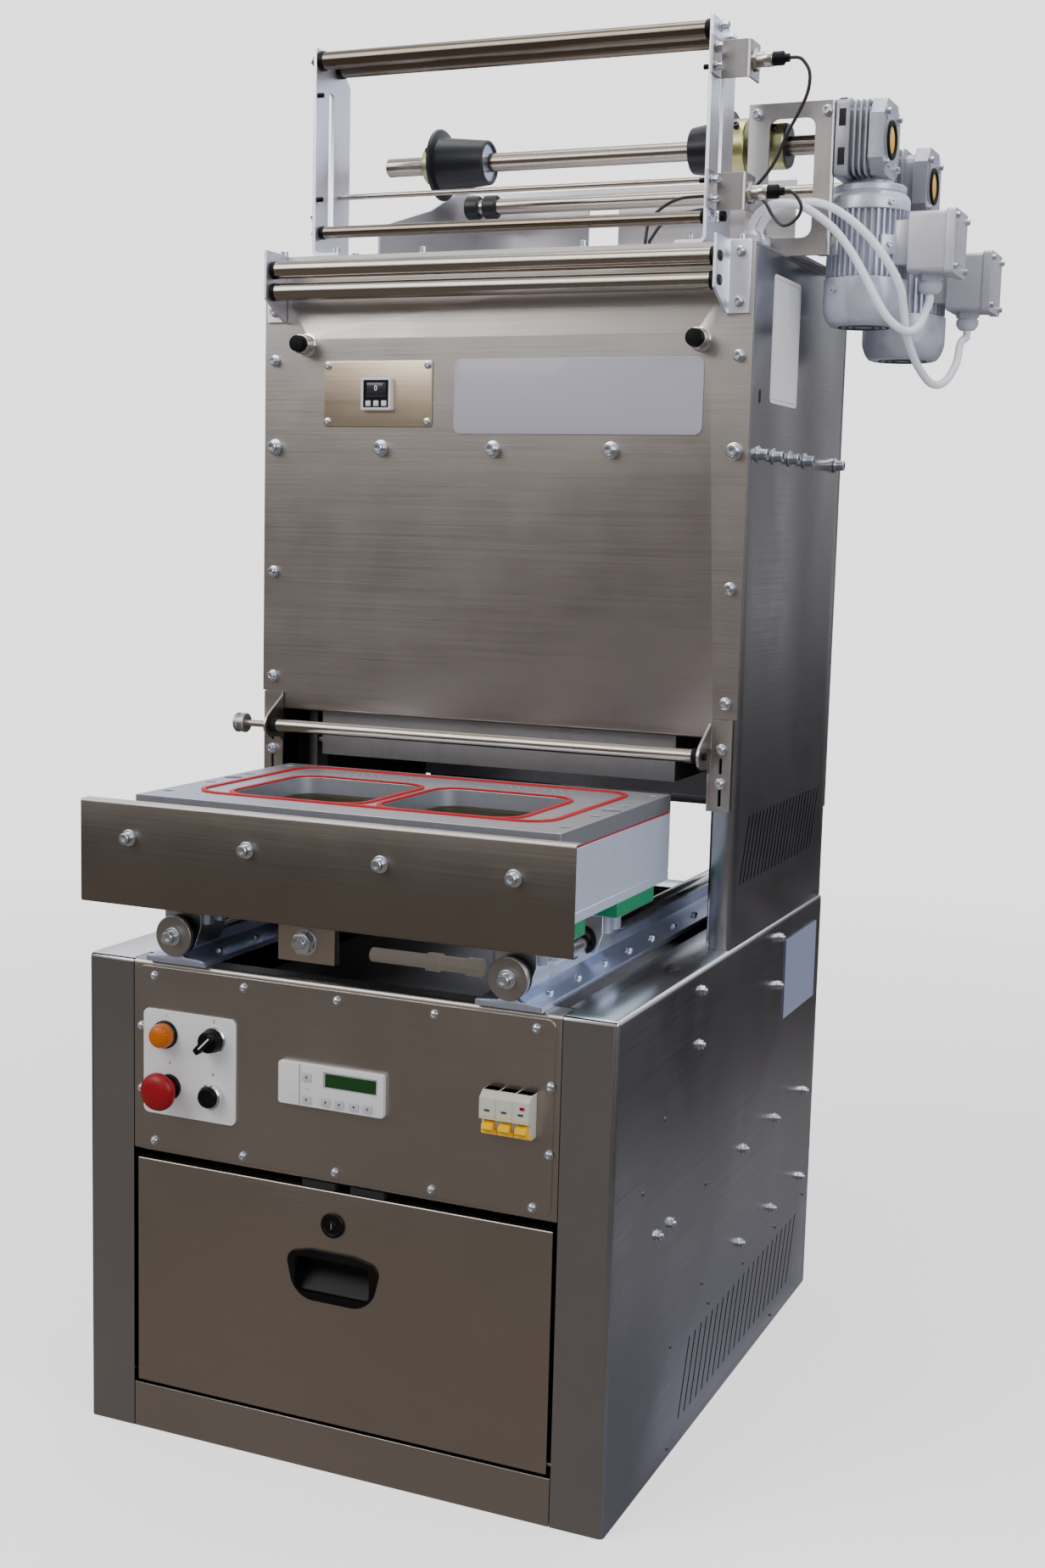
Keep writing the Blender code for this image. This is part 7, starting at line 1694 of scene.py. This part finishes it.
class Cables:
    """The four cables over the column."""

    UNWIND = ((0.281, 0.429, 0.04), (0.2945, 0.432, 0.0493), (0.309, 0.438, 0.0518), (0.3229, 0.445, 0.0501),
        (0.3422, 0.452, 0.0393), (0.3622, 0.457, 0.0225), (0.3801, 0.46, 0), (0.3955, 0.462, -0.0254),
        (0.4107, 0.465, -0.0534), (0.4246, 0.472, -0.074), (0.4397, 0.485, -0.0842), (0.4505, 0.5, -0.0772))
    REWIND = ((0.2805, 0.46, 0.0395), (0.2925, 0.46, 0.049), (0.3119, 0.46, 0.054), (0.3369, 0.461, 0.055),
        (0.359, 0.463, 0.047), (0.3805, 0.465, 0.0322), (0.4011, 0.468, 0.0125), (0.4195, 0.474, -0.0123),
        (0.4315, 0.484, -0.0371), (0.4335, 0.496, -0.06), (0.435, 0.508, -0.0835), (0.4377, 0.525, -0.1018),
        (0.4432, 0.548, -0.1203), (0.4515, 0.58, -0.1346), (0.4592, 0.615, -0.1297), (0.4642, 0.65, -0.1063),
        (0.4633, 0.675, -0.08))
    UPPER = ((0.333, 0.396, 0.194), (0.341, 0.399, 0.181), (0.339, 0.403, 0.162), (0.329, 0.408, 0.143),
        (0.314, 0.414, 0.12), (0.303, 0.42, 0.099), (0.29, 0.427, 0.083), (0.27, 0.44, 0.069), (0.254, 0.451, 0.065),
        (0.238, 0.453, 0.065), (0.2098, 0.447, 0.065), (0.1831, 0.441, 0.062), (0.164, 0.437, 0.052),
        (0.1505, 0.434, 0.037))
    LOWER = ((0.333, 0.395, 0.052), (0.339, 0.397, 0.04), (0.333, 0.399, 0.028), (0.318, 0.402, 0.022),
        (0.304, 0.408, 0.034), (0.29, 0.419, 0.052), (0.272, 0.44, 0.058), (0.25, 0.451, 0.056), (0.23, 0.452, 0.053),
        (0.205, 0.443, 0.049), (0.182, 0.435, 0.043), (0.166, 0.432, 0.033))

    def build(self, motors: Sequence[GearMotor]) -> None:
        """Build the motor cables and the sensor cables."""
        for motor, (x, y), route in zip(motors, MOTOR_GLANDS, (self.UNWIND, self.REWIND)):
            foot = COLUMN_TOP - 0.001 + GLAND_LENGTH + GAP
            end = (motor.case + 0.021, motor.y + 0.025, motor.box_low + 0.001 - GLAND_LENGTH - GAP)
            lifted = [(u, v, w + COLUMN_TOP) for u, v, w in route]
            Cable(f"{motor.name}_motor_cable", (x, y, foot), [(x, y, foot + 0.007), *lifted,
                (end[0], end[1], end[2] - 0.008)], end, 0.0046, SHEATH, "medium").build()
        for (name, z), route, shift in zip(SENSORS.items(), (self.UPPER, self.LOWER), (-0.0025, 0.0025)):
            start, foot = (0.3203, SENSOR_Y, z), (0.15 + shift, 0.432, COLUMN_TOP + 0.009 + GAP)
            lifted = [(u, v, w + COLUMN_TOP) for u, v, w in route]
            Cable(f"{name}_cable", start, [(0.326, SENSOR_Y, z), *lifted, (foot[0], foot[1], foot[2] + 0.006)], foot,
                0.0019, BLACK_SHEATH, "limp").build()


# Studio
class Studio:
    """A pale floor, soft lamps, the surroundings that the steel mirrors, and the camera."""

    def floor(self) -> None:
        """Lay the floor."""
        made = linked("studio_floor", Form().block((-9.0, -9.0, -0.05), (9.0, 9.0, -0.0002)).mesh("studio_floor"))
        made.data.materials.append(FLOOR.material())
        made.visible_glossy = False
        made.visible_diffuse = False

    def surroundings(self) -> None:
        """Set a pale sky, and for mirrored rays a dim brown hall in front and a bluish one behind."""
        world = bpy.data.worlds.new("hall")
        bpy.context.scene.world = world
        graph = Graph(world)
        graph.tree.nodes.clear()
        way = graph.node("ShaderNodeTexCoord", result="Generated")
        x, y, z = graph.parts(way)
        level = z * 0.5 + 0.5
        front = graph.ramp(level, (0.0, (0.24, 0.21, 0.18)), (0.33, (0.245, 0.215, 0.19)), (0.4, (0.2, 0.18, 0.165)),
            (0.46, (0.105, 0.092, 0.083)), (0.53, (0.19, 0.17, 0.155)), (0.58, (0.56, 0.54, 0.52)),
            (0.75, (0.9, 0.9, 0.9)), (1.0, (1.0, 1.0, 1.0)))
        flat = graph.node("ShaderNodeMapping", None, {"Vector": way, "Scale": (2.2, 2.2, 0.45)})
        bands = graph.node("ShaderNodeTexNoise", None, {"Vector": flat, "Scale": 3.4, "Detail": 2.0})
        stripes = graph.ramp(bands, (0.36, (0.25, 0.25, 0.26)), (0.47, (0.75, 0.74, 0.76)), (0.55, (1.15, 1.15, 1.2)),
            (0.64, (2.3, 2.35, 2.5)))
        height = graph.ramp(level, (0.0, (0.1, 0.1, 0.11)), (0.3, (0.22, 0.22, 0.25)), (0.345, (0.25, 0.245, 0.255)),
            (0.372, (0.24, 0.232, 0.232)), (0.392, (0.11, 0.102, 0.102)), (0.425, (0.055, 0.052, 0.055)),
            (0.455, (0.12, 0.115, 0.115)), (0.485, (0.3, 0.29, 0.295)), (0.54, (0.34, 0.335, 0.34)),
            (0.6, (0.85, 0.9, 1.0)), (0.75, (1.5, 1.55, 1.7)), (1.0, (1.6, 1.6, 1.6)))
        back = graph.node("ShaderNodeMix", {"data_type": "RGBA", "blend_type": "MULTIPLY"},
            {0: 0.7, 6: height, 7: stripes}, 2)
        side = ((y * 0.8 + x * 0.6) * 1.6 + 0.5).clamped()
        hall = graph.node("ShaderNodeBackground", None, {0: graph.blend(side, front, back), 1: 1.0})
        pale = graph.node("ShaderNodeBackground", None, {0: (0.93, 0.93, 0.93), 1: 0.62})
        sky = graph.node("ShaderNodeBackground", None, {0: (1.0, 1.0, 1.0), 1: FLOOR.backdrop})
        shown = pale
        for ray, light in (("Is Glossy Ray", hall), ("Is Camera Ray", sky)):
            share = graph.node("ShaderNodeLightPath", result=ray)
            shown = graph.node("ShaderNodeMixShader", None, {0: share, 1: shown, 2: light})
        graph.feed(graph.tree.nodes.new("ShaderNodeOutputWorld").inputs[0], shown)

    def lamp(self, name: str, place: Point, aim: Point, size: float, power: float, colour: Colour = (1, 1, 1)) -> None:
        """Hang a soft square lamp.

        Args:
            name: The lamp's name.
            place: Where it hangs.
            aim: What it points at.
            size: The length of its side.
            power: Its power in watts.
            colour: Its colour.
        """
        light = bpy.data.lights.new(name, "AREA")
        light.shape = "SQUARE"
        light.size = size
        light.energy = power
        light.color = colour
        made = linked(name, light)
        made.location = place
        made.rotation_euler = (Vector(aim) - Vector(place)).to_track_quat("-Z", "Y").to_euler()

    def camera(self) -> None:
        """Stand the camera where the photo was taken from."""
        yaw, pitch, roll = 0.4096, 0.1345, 0.0255
        ahead = Vector((-math.sin(yaw) * math.cos(pitch), math.cos(yaw) * math.cos(pitch), -math.sin(pitch)))
        right = ahead.cross(Vector((0, 0, 1))).normalized()
        up = right.cross(ahead)
        rows = (right * math.cos(roll) + up * math.sin(roll), -right * math.sin(roll) + up * math.cos(roll), -ahead)
        data = bpy.data.cameras.new("camera")
        data.lens = 44.1
        data.sensor_width = 36.0
        data.sensor_fit = "AUTO"
        data.clip_start = 0.05
        made = linked("camera", data)
        made.matrix_world = Matrix.Translation((0.9306, -2.0584, 0.9997)) @ Matrix(rows).transposed().to_4x4()
        bpy.context.scene.camera = made

    def build(self) -> None:
        """Build the studio."""
        self.floor()
        self.surroundings()
        self.lamp("key", (-1.8, -2.6, 3.2), (0, 0, 0.8), 2.4, 90)
        self.lamp("fill", (2.8, -1.6, 2.2), (0, 0, 0.8), 2.0, 45, (0.93, 0.96, 1.0))
        self.lamp("top", (0.2, 0.2, 3.6), (0, 0, 0.6), 2.0, 50)
        self.camera()


def main() -> None:
    """Dress the frame and light it."""
    logging.basicConfig(level=logging.WARNING)
    motors = [GearMotor("unwind", *UNWIND_AXIS, 0.3503, 0.0555, 1.0), GearMotor("rewind", *REWIND_AXIS, 0.3545,
        0.06549, 1.05)]
    for assembly in (Cabinet(), Controls(), Rails(), Drawer(), Column(), FrontRollers(), FilmFrame(), Shafts(),
            *motors, Sensors()):
        assembly.build()
    Cables().build(motors)
    Studio().build()


if __name__ == "__main__":
    main()
